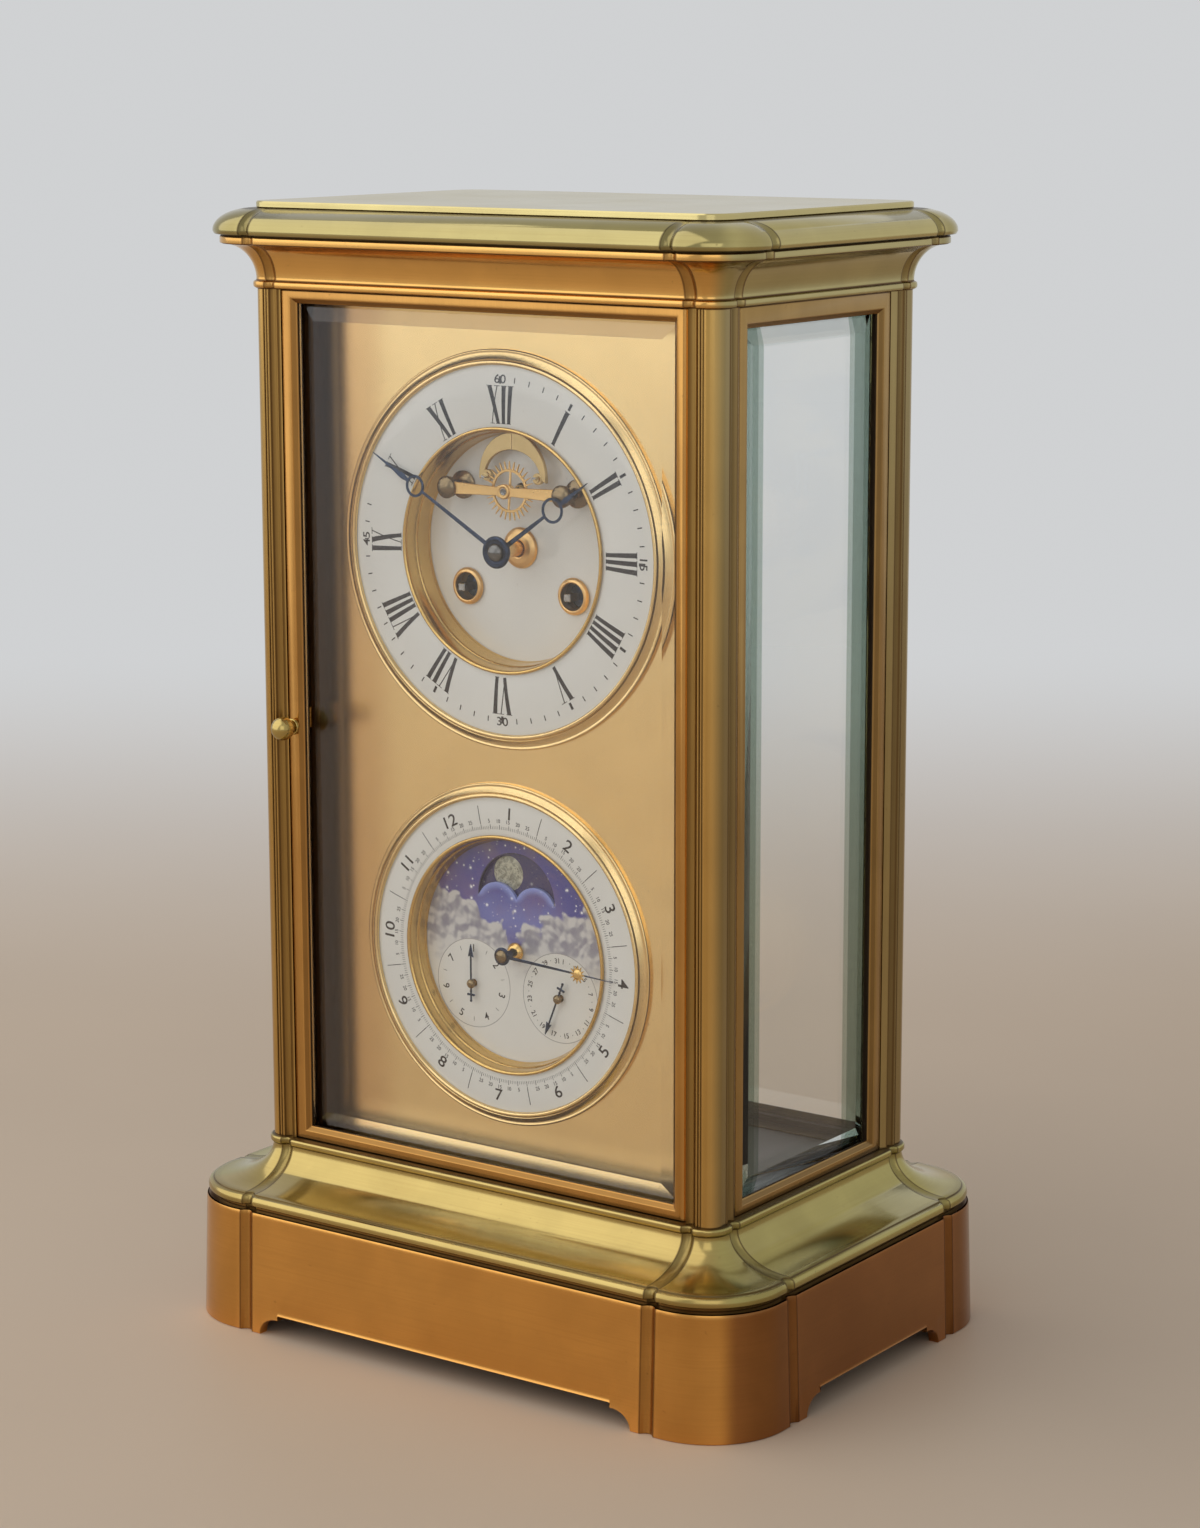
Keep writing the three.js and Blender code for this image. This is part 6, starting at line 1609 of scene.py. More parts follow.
def suspension():
    """The pendulum's cock: shaped foot, arm and the regulator's sleeve."""
    z0, front = TIME_DIAL.height, BACK_PLATE_END + 0.2
    foot = [
        (-9, 40.5), (9, 40.5), (9, 46), (6.5, 50), (5.5, 56), (5.2, 64.5), (-5.2, 64.5), (-5.5, 56),
        (-6.5, 50), (-9, 46),
    ]
    shape = Shape(z=z0).plate(rounded(foot, 1.6, 5), [], front, front + 2.4, 0.3)
    arm = [(-4, 49.6), (4, 49.6), (4, 56.4), (-4, 56.4)]
    shape.plate(rounded(arm, 0.8, 4), [], front + 0.8, PENDULUM_Y + 4, 0.35)
    shape.lathe([
        (1.1, front + 0.8), (2.6, front + 0.8), (2.6, front + 6.9), (2.2, front + 7.6), (1.1, front + 7.6),
    ], 0, AXIS["regulator"][1] - z0, 40, closed=True)
    return shape


def bell():
    """A shallow bell with a rolled mouth."""
    outer = [(20 * math.sin(t), BELL_MOUTH + 12 * math.cos(t)) for t in turns(20)]
    inner = [(18.9 * math.sin(t), BELL_MOUTH + 10.8 * math.cos(t)) for t in reversed(turns(20))]
    lip = [(20.0, BELL_MOUTH - 0.02), (19.4, BELL_MOUTH - 0.02)]
    return Shape().lathe([*outer[:-1], *lip, *inner], sides=96)


def barrel(phase):
    """A barrel: the great wheel and its grooved drum."""
    back = BACK_PLATE_Y - 0.8
    great = wheel(GREAT, phase, PLANE_GREAT, 1.2, bore=2.36)
    low = PLANE_GREAT + 1.2
    drum = [
        (2.36, low), (14.9, low), (15.2, low + 0.3), (15.2, low + 1.4), (14.9, low + 1.7), (14.9, back - 3.2),
        (15.2, back - 2.9), (15.2, back - 1.4), (14.7, back - 0.6), (13.6, back), (6.4, back),
        (6.2, back - 0.5), (4.4, back - 0.5), (4.2, back), (2.36, back),
    ]
    return great.join(Shape().lathe(drum, sides=96, closed=True))


def winding_arbor():
    """A winding arbor with its square."""
    shape = Shape().rod(2.2, FRONT_PLATE_Y - 1, BACK_PLATE_END + 1, sides=40)
    return shape.plate(rectangle(-1.35, 1.35, -1.35, 1.35, 0.12, 3), [], -40, FRONT_PLATE_Y - 0.8, 0.25)


def arbor(radius, y0, y1, *collars):
    """A steel arbor with collars of (front, back, radius)."""
    shape = Shape().rod(radius, y0, y1, sides=24)
    for front, back, wide in collars:
        shape.rod(wide, front, back, edge=0.25, sides=32)
    return shape


def hammer_arm():
    """The hammer's arbor, its arm beside the bell and its lifting tail."""
    front, back = BELL_MOUTH + 1, BELL_MOUTH + 2.6
    shape = arbor(
        PIVOT, FRONT_PLATE_Y, back + 1, (BACK_PLATE_END + 2, BACK_PLATE_END + 5, 2), (front, back + 0.4, 1.8)
    )
    shape.plate(
        rounded([
            (-0.9, 0), (-0.9, -2), (-0.6, -12), (-0.9, -17.4), (0.9, -17.4), (0.7, -12), (0.9, -2), (0.9, 0),
        ], 0.4, 3),
        [], front, back, 0.2,
    )
    drop = HAMMER_RISE - (AXIS["strike_pin_wheel"][1] - TIME_DIAL.height) - PIN_CIRCLE - 1.2
    return shape.block(-0.8, 0.8, PLANE_SECOND - 1.6, PLANE_SECOND - 0.6, -drop, 0, 0.15)


def hammer_head():
    """The hammer's turned head."""
    front, back = BELL_MOUTH - 1.4, BELL_MOUTH + 5
    line = [
        (0, front), (2.5, front), (2.9, front + 0.4), (3.0, front + 1.5), (2.8, front + 2), (2.8, back - 2),
        (3.0, back - 1.5), (2.9, back - 0.4), (2.5, back), (0, back),
    ]
    return Shape(0.6, -17.4).lathe(line, sides=48)


def pendulum_rod():
    """The pendulum's rod, threaded below, with the block that its spring holds."""
    y, top = PENDULUM_Y, -0.1
    low = -PENDULUM_LENGTH - BOB_RADIUS - 0.5
    shape = Shape()
    rod = [(0, low - 8), (1.2, low - 8), (1.5, low - 7.6)]
    thread = [(1.5 - 0.22 * (k % 2), low - 7.6 + 0.35 * k) for k in range(1, 11)]
    rod += [*thread, (1.5, low), (1.5, top - 4), (0, top - 4)]
    shape.lathe(rod, 0, y, 28, upright=True)
    shape.block(-3.2, 3.2, y - 1.6, y + 1.6, top - 6, top, 0.4)
    return shape


def rating_nut():
    """The bob's nut: a milled edge between two plain rims."""
    top = -PENDULUM_LENGTH - BOB_RADIUS - 0.5
    low = top - 4
    shape = Shape().lathe([
        (1.6, low), (3.8, low), (4.1, low + 0.4), (4.1, top - 0.4), (3.8, top), (1.6, top),
    ], 0, PENDULUM_Y, 48, closed=True, upright=True)
    w = 0.18
    for k in range(40):
        x, y = spot(4.1, 9 * k)
        y += PENDULUM_Y
        shape.plate(
            rectangle(x - w, x + w, y - w, y + w, 0.1, 1), [], low + 0.5, top - 0.5, 0.05, upright=True
        )
    return shape


def bob():
    """A lens of brass with a raised rim and a turned ring on both faces."""
    face = [
        (0, 7.1), (5.5, 7.0), (5.8, 7.3), (6.6, 7.3), (6.9, 6.85), (16, 5.3), (22, 3.9), (25.6, 2.7),
        (26, 2.9), (27.2, 2.75), (27.6, 2.0),
    ]
    edge = [(28.8, 1.5), (29.7, 0.9), (30, 0.35)]
    line = [(r, -y) for r, y in face + edge] + [(r, y) for r, y in reversed(face + edge)]
    return shifted(Shape().lathe(line, sides=120), 0, -PENDULUM_LENGTH, PENDULUM_Y)


# Property groups

def length(name, value, note):
    """A length property, given in millimetres."""
    return FloatProperty(
        name=name, description=note, default=value * MM, min=0, subtype="DISTANCE", unit="LENGTH"
    )


def colour(name, value, note):
    """A colour property."""
    return FloatVectorProperty(
        name=name, description=note, default=value, min=0, max=1, size=3, subtype="COLOR"
    )


class ClockCase(bpy.types.PropertyGroup):
    """Sizes of the case."""
    pillar_x: length("Pillar face, sideways", 97.6, "From the centre to the pillars' side faces")
    pillar_y: length("Pillar face, front", 63.0, "From the centre to the pillars' front faces")
    flute_x: length("Flute, sideways", FLUTE_X, "Where the front flutes run")
    flute_y: length("Flute, front", FLUTE_Y, "Where the side flutes run")
    foot_out: length("Foot", 25.9, "How far the plinth's foot stands out from the pillars")
    plinth_batter: length("Batter", 1.5, "How far the plinth leans in by its top")
    lip_out: length("Lip", 24.0, "How far the base moulding's lip stands out")
    ovolo_out: length("Ovolo", 15.2, "How far the cornice stands out")


class ClockFinishes(bpy.types.PropertyGroup):
    """Colours of the finishes."""
    brass: colour("Case brass", (0.56, 0.45, 0.17), "Polished and lacquered casework")
    satin: colour("Dial plate", (0.92, 0.66, 0.31), "Satin brass behind the dials")
    gilt: colour("Gilding", (0.86, 0.56, 0.20), "Rings, bosses and wheels")
    steel: colour("Polished steel", (0.42, 0.41, 0.40), "Arbors and pendulum rod")
    blued: colour("Blued steel", (0.035, 0.058, 0.115), "Hands")
    enamel: colour("Enamel", (0.88, 0.86, 0.83), "Fired dial enamel")
    sky: colour("Night sky", (0.07, 0.07, 0.36), "Upper sky of the moon dial")
    dusk: colour("Dusk", (0.16, 0.11, 0.33), "Violet part of the sky")
    glow: colour("Glow", (0.26, 0.30, 0.72), "Light blue of the sky at the horizon")
    cloud: colour("Cloud", (0.72, 0.70, 0.71), "Lit cloud")
    cloud_shade: colour("Cloud shade", (0.30, 0.285, 0.37), "Underside of the clouds")
    # A painted highlight colour for the edges of the humps.
    gleam: colour("Gleam", (0.34, 0.42, 0.92), "Light blue on the edge of the humps")
    moon: colour("Moon", (0.62, 0.60, 0.48), "Moon's face")
    glass: colour("Glass", (0.975, 0.985, 0.978), "Body colour of the plate glass")
    glass_edge: colour("Glass edge", (0.27, 0.36, 0.30), "Green of the glass in its bevels")


class ClockStage(bpy.types.PropertyGroup):
    """Floor, light and camera."""
    floor: colour("Floor", (0.72, 0.57, 0.43), "Plain pale floor")
    wall: colour("Background", (0.63, 0.64, 0.65), "Plain background that metal and glass also show")
    key: FloatProperty(name="Key lamp", description="Soft window light", default=104.0, min=0, unit="POWER")
    fill: FloatProperty(
        name="Fill lamp", description="Soft light near the camera", default=5.0, min=0, unit="POWER"
    )
    lens: FloatProperty(name="Lens", description="Focal length", default=84.72, min=1, unit="CAMERA")


def sizes(group):
    """A group's lengths in millimetres."""
    return SimpleNamespace(**{key: getattr(group, key) / MM for key in group.__annotations__})


# Operators

SIDES = (("left", -1), ("right", 1))


class CLOCK_OT_plinth(bpy.types.Operator):
    """Plinth on bracket feet"""
    bl_idname = "clock.plinth"
    bl_label = "Plinth"

    def execute(self, context):
        plinth(sizes(context.scene.clock_case)).piece("plinth_case", "plinth_brass", replaces="plinth")
        return {"FINISHED"}


class CLOCK_OT_mouldings(bpy.types.Operator):
    """Base moulding, cornice and top"""
    bl_idname = "clock.mouldings"
    bl_label = "Mouldings"

    def execute(self, context):
        case = sizes(context.scene.clock_case)
        base_moulding(case).piece("moulded_base", "base_brass", replaces="base_moulding")
        cornice_cove(case).piece("moulded_cove", "cove_brass", replaces="cornice_cove")
        cornice_ovolo(case).piece("moulded_ovolo", "cornice_brass", replaces="cornice_ovolo")
        half_x, half_y = case.pillar_x + TOP_OUT, case.pillar_y + TOP_OUT
        top = rounded(rectangle(-half_x, half_x, -half_y, half_y), TOP_CORNER * 1.35, 12)
        lid = Shape().plate(top, [], OVOLO_TOP, TOTAL_HEIGHT, 0.45, upright=True)
        lid.piece("top", "top_brass", replaces="top_plate")
        coat(frame["nodes"]["case_floor"], "floor_brass")
        return {"FINISHED"}


class CLOCK_OT_pillars(bpy.types.Operator):
    """Four reeded and fluted corner pillars"""
    bl_idname = "clock.pillars"
    bl_label = "Pillars"

    def execute(self, context):
        case = sizes(context.scene.clock_case)
        line, notched = pillar_line(case), pillar_line(case, 4.0)
        low, high = CATCH_HEIGHT - 2.4, CATCH_HEIGHT + 6.6
        for name, sx, sy in (
            ("front_right", 1, 1), ("front_left", -1, 1), ("rear_right", 1, -1), ("rear_left", -1, -1)
        ):
            shape = Shape()
            stack = ((line, MOULDING_TOP, low), (notched, low, high), (line, high, PILLAR_TOP))
            for plan, foot, head in stack if sx * sy < 0 else ((line, MOULDING_TOP, PILLAR_TOP),):
                shape.plate([(x * sx, y * sy) for x, y in plan], [], foot, head, 0.0, upright=True)
            shape.piece(f"reeded_{name}", "pillar_brass", replaces=f"pillar_{name}")
        return {"FINISHED"}


class CLOCK_OT_glazing(bpy.types.Operator):
    """Doors, side frames, bevelled glass and catches"""
    bl_idname = "clock.glazing"
    bl_label = "Doors and sides"

    def execute(self, context):
        low, high = MOULDING_TOP + FRAME_GAP, PILLAR_TOP - FRAME_GAP
        for name, facing in (("front", 1), ("rear", -1)):
            shape = glazed_frame(DOOR_HALF, low, high, DOOR_OPEN_HALF, DOOR_OPEN, door_place(facing), True)
            shape.piece(f"{name}_frame", "frame_brass", f"{name}_door", f"{name}_door_frame")
            knob(facing).piece(
                f"{name}_knob", "base_brass", f"{name}_catch", f"{name}_door_catch", "polished_brass"
            )
        for name, side in SIDES:
            shape = glazed_frame(
                SIDE_HALF, MOULDING_TOP, PILLAR_TOP, SIDE_OPEN_HALF, SIDE_OPEN, side_place(side)
            )
            shape.piece(f"{name}_frame", "frame_brass", replaces=f"side_frame_{name}")
        for name in ("front_door_glass", "rear_door_glass", "side_glass_left", "side_glass_right"):
            coat(frame["nodes"][name], "glass")
        return {"FINISHED"}


class CLOCK_OT_time_dial(bpy.types.Operator):
    """Dial plate and the time dial with its figures"""
    bl_idname = "clock.time_dial"
    bl_label = "Time dial"

    def execute(self, context):
        coat(frame["nodes"]["dial_plate"], "plate_brass")
        dial = TIME_DIAL
        bezel(dial).piece("time_rim", "rim_brass", replaces="time_bezel", slot="polished_brass")
        enamel_ring(dial).piece("time_enamel", "enamel", replaces="chapter_ring")
        inner_ring(dial).piece("time_gilt_ring", "ring_gilt", replaces="time_inner_ring")
        holes = [circle(0, 0, 4.1, 48), circle(0, ESCAPE_RISE, 2.1, 32), circle(0, ANCHOR_RISE, 1.6, 24)]
        holes += [circle(side * WINDING_X, -WINDING_DROP, 5.7, 48) for side in (-1, 1)]
        holes += [circle(side * COCK_HALF, ESCAPE_RISE, 2.0, 24) for side in (-1, 1)]
        sunk_dial(dial, holes).piece("time_centre", "enamel", replaces="time_centre_dial")
        chapter_figures(dial).piece("hour_figures", "printing_ink")
        face = partial(dome, dial)
        marks = Shape(z=dial.height)
        for mark, count, skip, first in (
            (tick(57.3, 59.8, 0.5, face), 12, 3, 0), (tick(57.9, 59.8, 0.19, face), 60, 5, 0)
        ):
            marks.join(ring(mark, count, 0, first, skip, "printing_ink"))
        marks.piece("minute_marks", "printing_ink")
        numbers = Shape(z=dial.height)
        for text, degrees, spin in (("60", 0, 0), ("15", 90, 90), ("30", 180, 0), ("45", 270, 270)):
            lettered(numbers, text, 3.1, 59.1 if degrees else 58.9, degrees, face, spin=spin, wide=1.2)
        numbers.piece("minute_numbers", "printing_ink")
        y = TIME_SUNK
        boss = [
            (2.9, y + 1.4), (2.9, y - 2.2), (3.4, y - 2.4), (5.2, y - 2.1), (6.7, y - 1.3), (7.3, y - 0.3),
            (3.6, y - 0.3), (3.6, y + 1.4),
        ]
        made = Shape(z=dial.height).lathe(boss, closed=True, soft=0.3, steps=4)
        made.piece("boss", "satin_gilt", replaces="centre_boss")
        rim = [
            (4.7, y + 1.4), (4.7, y - 1.6), (5.1, y - 2.0), (5.9, y - 1.7), (6.5, y - 0.9), (6.5, y - 0.3),
            (5.3, y - 0.3), (5.3, y + 1.4),
        ]
        for name, side in SIDES:
            made = Shape(
                side * WINDING_X, dial.height - WINDING_DROP
            ).lathe(rim, closed=True, soft=0.35, steps=4)
            made.piece(f"winding_rim_{name}", "satin_gilt", replaces=f"grommet_{name}")
        return {"FINISHED"}


class CLOCK_OT_calendar_dial(bpy.types.Operator):
    """Calendar dial: month ring, sky, moon and small dials"""
    bl_idname = "clock.calendar_dial"
    bl_label = "Calendar dial"

    def execute(self, context):
        dial = CALENDAR_DIAL
        bezel(dial).piece("calendar_rim", "rim_brass", replaces="calendar_bezel", slot="polished_brass")
        enamel_ring(dial).piece("calendar_enamel", "enamel", replaces="calendar_ring")
        inner_ring(dial).piece("calendar_gilt_ring", "ring_gilt", replaces="calendar_inner_ring")
        holes = [circle(0, 0, 2.0, 32), moon_window()]
        holes += [circle(side * SUBDIAL_X, -SUBDIAL_DROP, 1.4, 24) for side in (-1, 1)]
        sunk_dial(dial, holes).piece("calendar_centre", "painted_dial", replaces="calendar_centre_dial")
        face, flat = partial(dome, dial), lambda r: CALENDAR_SUNK
        months, days = Shape(z=dial.height), Shape(z=dial.height)
        for month in range(12):
            middle = 3 + 30 * month
            lettered(months, str(month + 1), 4.4, 50.9, middle, face, wide=1.15)
            for day in range(5):
                lettered(days, str(5 + 5 * day), 1.4, 47.9, middle - 10.4 + 5 * day, face)
        months.piece("month_numbers", "printing_ink")
        for mark, count, skip, first in (
            (tick(46.9, 53.4, 0.13, face), 12, 0, 18), (tick(44.9, 46.0, 0.06, face), 360, 0, 0),
            (tick(44.9, 46.6, 0.1, face), 72, 0, 3),
        ):
            days.join(ring(mark, count, 0, first, skip, "grey_ink"))
        days.piece("day_numbers", "grey_ink")
        small = Shape(z=dial.height)
        for day in range(7):
            lettered(small, str(day + 1), 2.9, 12.7, day * 360 / 7, flat, -SUBDIAL_X, -SUBDIAL_DROP)
        for date in range(0, 31, 2):
            degrees = FIRST_DATE + date * 360 / 31
            lettered(small, str(date + 1), 1.9, 13.4, degrees, flat, SUBDIAL_X, -SUBDIAL_DROP)
        dot = Shape().lathe([(0, -INK / 2), (0.16, -INK / 2), (0.16, INK / 2), (0, INK / 2)], 0, 0, 10)
        weekdays = ring(tick(12.3, 13.9, 0.07, flat), 7, 0, 180 / 7, 0, "printing_ink")
        dates = ring(shifted(dot, 0, 0, CALENDAR_SUNK), 31, 13.6, FIRST_DATE, 2, "printing_ink")
        small.join(shifted(weekdays, -SUBDIAL_X, -SUBDIAL_DROP), shifted(dates, SUBDIAL_X, -SUBDIAL_DROP))
        small.piece("small_figures", "printing_ink")
        return {"FINISHED"}


class CLOCK_OT_hands(bpy.types.Operator):
    """Hour and minute hands"""
    bl_idname = "clock.hands"
    bl_label = "Hands"

    def execute(self, context):
        minute_hand().turning("minute", "minute_pointer", "blued_steel", "minute_hand", HAND_AT["minute"])
        steel_dome(3.3, MINUTE_HAND_Y - 0.3, 2.3).turning("minute", "centre_dome", "dark_steel")
        hour = eye_hand(45.2, 27.4, 4.4, 0.85, 4.6, HOUR_HAND_Y)
        hour.plate(
            circle(0, 0, 4.6, 48), [circle(0, 0, 1.9, 32)], HOUR_HAND_Y, HOUR_HAND_Y + HAND_THICK, 0.14
        )
        hour.turning("hour", "hour_pointer", "blued_steel", "hour_hand", HAND_AT["hour"])
        return {"FINISHED"}


class CLOCK_OT_escapement(bpy.types.Operator):
    """Escapement in view: cock, wheel, arch and pallets"""
    bl_idname = "clock.escapement"
    bl_label = "Escapement"

    def execute(self, context):
        wheel = AXIS["escape_wheel"]
        escape_wheel().turning("escape_wheel", "escape_teeth", "wheel_brass", "escape_wheel")
        escape_arbor().turning("escape_wheel", "escape_arbor", "polished_steel")
        arch().turning("anchor", "anchor_arch", "arch_gilt", "anchor")
        pallet_stones().turning("anchor", "pallet_stones", "polished_steel")
        crutch().turning("anchor", "crutch", "polished_steel")
        at_centre(cock_bar(), wheel).piece("cock_bar", "wheel_brass", replaces="escapement_cock")
        at_centre(cock_posts(), wheel).piece("cock_posts", "aged_brass")
        jewel = Shape().lathe([
            (0, COCK_FRONT - 0.1), (0.5, COCK_FRONT - 0.35), (1.25, COCK_FRONT - 0.3),
            (1.25, COCK_FRONT + 0.3), (0, COCK_FRONT + 0.3),
        ], sides=32)
        at_centre(jewel, wheel).piece("end_stone", "dark_steel")
        return {"FINISHED"}


class CLOCK_OT_calendar_hands(bpy.types.Operator):
    """Month, weekday and date hands, and the moon"""
    bl_idname = "clock.calendar_hands"
    bl_label = "Calendar hands"

    def execute(self, context):
        y = ENAMEL_FRONT - 1.6
        back_end = -30.0
        needle = Shape().plate(
            [(-0.6, 0), (0.6, 0), (0.42, 20), (0.12, 47.2), (-0.12, 47.2), (-0.42, 20)], [], y, y + 0.5, 0.1
        )
        needle.rod(1.2, y, back_end)
        needle.lathe([
            (0, y + 0.6), (2.9, y + 0.6), (3.2, y + 0.2), (3.2, y - 0.4), (2.5, y - 0.7), (2.3, y - 0.2),
            (0, y - 0.2),
        ], sides=48, soft=0.2)
        needle.turning("month", "month_pointer", "blued_steel", "month_hand", HAND_AT["month"])
        sun().turning("month", "month_sun", "gilt_brass", degrees=HAND_AT["month"])
        steel_dome(2.4, y - 0.4, 1.2).turning("month", "month_dome", "aged_brass")
        s = CALENDAR_SUNK
        collar = Shape().lathe([
            (1.3, s - 2.4), (2.2, s - 2.3), (3.3, s - 1.1), (3.4, s - 0.4), (1.3, s - 0.4),
        ], sides=48, closed=True, soft=0.4, steps=4)
        collar.turning("month", "month_collar", "gilt_brass")
        for body, count, radius in (("weekday", 7, 6), ("date", 31, 9)):
            small_hand(14.4, 6.2).turning(
                body, f"{body}_pointer", "blued_steel", f"{body}_hand", HAND_AT[body]
            )
            works = star_wheel(count, radius, s + 4.2, s + 5).rod(0.9, s - 1.6, back_end)
            works.turning(body, f"{body}_star", "wheel_brass")
            hub = Shape().lathe([
                (0, s - 2.9), (0.8, s - 2.9), (1.55, s - 2.3), (1.7, s - 1.7), (1.5, s - 1.2), (0, s - 1.2),
            ], sides=36, soft=0.3, steps=4)
            hub.turning(body, f"{body}_hub", "aged_brass")
        front = s + 1.9
        disc = Shape().plate(circle(0, 0, 17.2, 96), [], front, front + 0.8, 0.05)
        disc.rod(1.0, front + 0.4, back_end)
        disc.turning("moon", "moon_sky_disc", "moon_sky", "moon_disc")
        moons = Shape()
        disc_face = [
            (0, front - 0.22), (5.8, front - 0.2), (6.3, front - 0.05), (6.3, front + 0.3), (0, front + 0.3)
        ]
        for degrees in (118, 298):
            moons.lathe(disc_face, *spot(9.8, degrees), 64)
        moons.turning("moon", "moons", "moon_face")
        return {"FINISHED"}


class CLOCK_OT_movement(bpy.types.Operator):
    """Movement plates, posts, screws, bell and suspension"""
    bl_idname = "clock.movement"
    bl_label = "Movement plates"

    def execute(self, context):
        height = TIME_DIAL.height
        front = Shape().join(movement_plate(FRONT_PLATE_Y, 1.86))
        for degrees in POST_ANGLES:
            post = turned_post(*spot(POST_CIRCLE, degrees), 2.4, FRONT_PLATE_Y + 2.2, BACK_PLATE_Y - 0.2)
            front.join(shifted(post, 0, height))
        for degrees in (35, 145, 215, 325):
            foot = Shape().rod(1.4, PLATE_FRONT + 2.8, FRONT_PLATE_Y + 1, *spot(43.4, degrees), sides=28)
            front.join(shifted(foot, 0, height))
        stud = Shape(*AXIS["minute_wheel"]).rod(1.0, FRONT_PLATE_Y - 3.9, FRONT_PLATE_Y + 1)
        bush = Shape().lathe([
            (0.95, TIME_SUNK - 1.8), (1.4, TIME_SUNK - 1.8), (1.5, TIME_SUNK - 1.5), (1.5, FRONT_PLATE_Y + 1),
            (0.95, FRONT_PLATE_Y + 1),
        ], sides=32, closed=True)
        front.join(stud, bushes(FRONT_PLATE_Y, -1), at_centre(bush, AXIS["escape_wheel"]))
        front.piece("front_plate", "movement_brass", replaces="movement_front_plate")
        stand = Shape().lathe([
            (0, BACK_PLATE_Y + 1), (3, BACK_PLATE_Y + 1), (3, BACK_PLATE_END + 0.7),
            (1.9, BACK_PLATE_END + 1.5), (1.5, 12), (1.6, 29.3), (0, 29.3),
        ], *BELL_AT, 36)
        rear = Shape().join(
            movement_plate(BACK_PLATE_Y, 1.16), bushes(BACK_PLATE_END, 1), shifted(stand, 0, height)
        )
        nuts, heads = Shape(), Shape()
        for degrees in POST_ANGLES:
            px, pz = spot(POST_CIRCLE, degrees, 0, height)
            hexagon = [spot(2.5, 60 * k + 13, px, pz) for k in range(6)]
            nuts.plate(hexagon, [], BACK_PLATE_END, BACK_PLATE_END + 1.6, 0.2)
            nuts.rod(1.3, BACK_PLATE_END + 1, BACK_PLATE_END + 1.8, px, pz)
        rear.piece("back_plate", "movement_brass", replaces="movement_back_plate")
        nuts.piece("post_nuts", "polished_steel")
        for sx, sz, radius in (
            (-6.5, 43.4, 1.5), (6.5, 43.4, 1.5), (-14, 30, 1.3), (17, -24, 1.3), (-20, -26, 1.3)
        ):
            lift = BACK_PLATE_END + (2.6 if abs(sx) == 6.5 else 0)
            heads.join(screw(sx, sz + height, radius, lift, 1, 20 + 17 * sx))
        heads.piece("plate_screws", "blued_steel")
        suspension().piece("suspension_arm", "movement_brass", replaces="suspension_cock")
        spring = Shape(z=height).block(-3, 3, PENDULUM_Y - 0.15, PENDULUM_Y + 0.15, 37.8, 50.5, 0.05)
        spring.piece("suspension_spring", "blued_steel")
        shifted(bell(), BELL_AT[0], height + BELL_AT[1]).piece("bell_cup", "wheel_brass", replaces="bell")
        bell_screw = screw(BELL_AT[0], height + BELL_AT[1], 2.6, BELL_MOUTH + 11.9, 1, 40, 1.1)
        bell_screw.piece("bell_screw", "blued_steel")
        return {"FINISHED"}


class CLOCK_OT_train(bpy.types.Operator):
    """Barrels, wheels, pinions and winding arbors"""
    bl_idname = "clock.train"
    bl_label = "Going and strike trains"

    def execute(self, context):
        centre, second, third = AXIS["minute"], AXIS["second_wheel"], AXIS["third_wheel"]
        going, strike, strike_second = AXIS["going_barrel"], AXIS["strike_barrel"], AXIS["strike_pin_wheel"]
        for name, at, mate in (("going", going, second), ("strike", strike, strike_second)):
            phase = mesh_phase(bearing(mate, at), GREAT.pinion, GREAT.wheel)
            barrel(phase).turning(f"{name}_barrel", f"{name}_drum", "wheel_brass", f"{name}_barrel")
            body = f"{name}_winding_arbor"
            winding_arbor().turning(body, f"{name}_square", "polished_steel", body)
            collar = Shape().rod(4.2, FRONT_PLATE_Y - 2.4, FRONT_PLATE_Y - 0.6, edge=0.3, sides=40)
            collar.turning(body, f"{name}_collar", "blued_steel")
        phase = mesh_phase(bearing(centre, second), SECOND.pinion, SECOND.wheel)
        made = wheel(SECOND, phase, PLANE_SECOND, WHEEL_THICK, 3)
        made.turning("second_wheel", "second_crossed", "wheel_brass", "second_wheel")
        made = pinion(GREAT, 0, PLANE_SECOND + 0.9, 2.5).join(arbor(PIVOT, FRONT_PLATE_Y, BACK_PLATE_END))
        made.turning("second_wheel", "second_arbor", "polished_steel")
        made = wheel(THIRD, 0, PLANE_THIRD, WHEEL_THICK, 2.4)
        made.turning("third_wheel", "third_crossed", "wheel_brass", "third_wheel")
        phase = mesh_phase(bearing(centre, third), CENTRE.wheel, CENTRE.pinion)
        made = pinion(CENTRE, phase, PLANE_THIRD + 0.9, 1.9).join(arbor(PIVOT, FRONT_PLATE_Y, BACK_PLATE_END))
        made.turning("third_wheel", "third_arbor", "polished_steel")
        pins = Shape().plate(circle(0, 0, 7.6, 72), [], PLANE_SECOND, PLANE_SECOND + WHEEL_THICK, 0.1)
        pins.turning("strike_pin_wheel", "pin_disc", "wheel_brass", "strike_pin_wheel")
        made = pinion(GREAT, 0, PLANE_SECOND + 0.9, 2.5).join(arbor(PIVOT, FRONT_PLATE_Y, BACK_PLATE_END))
        for k in range(8):
            made.rod(0.45, PLANE_SECOND - 1.6, PLANE_SECOND + 0.2, *spot(PIN_CIRCLE, 45 * k), sides=16)
        made.turning("strike_pin_wheel", "lifting_pins", "polished_steel")
        phase = mesh_phase(bearing(third, AXIS["escape_wheel"]), THIRD.wheel, THIRD.pinion)
        made = pinion(THIRD, phase, PLANE_THIRD - 0.2, WHEEL_THICK + 0.4)
        made.turning("escape_wheel", "escape_pinion", "polished_steel")
        return {"FINISHED"}


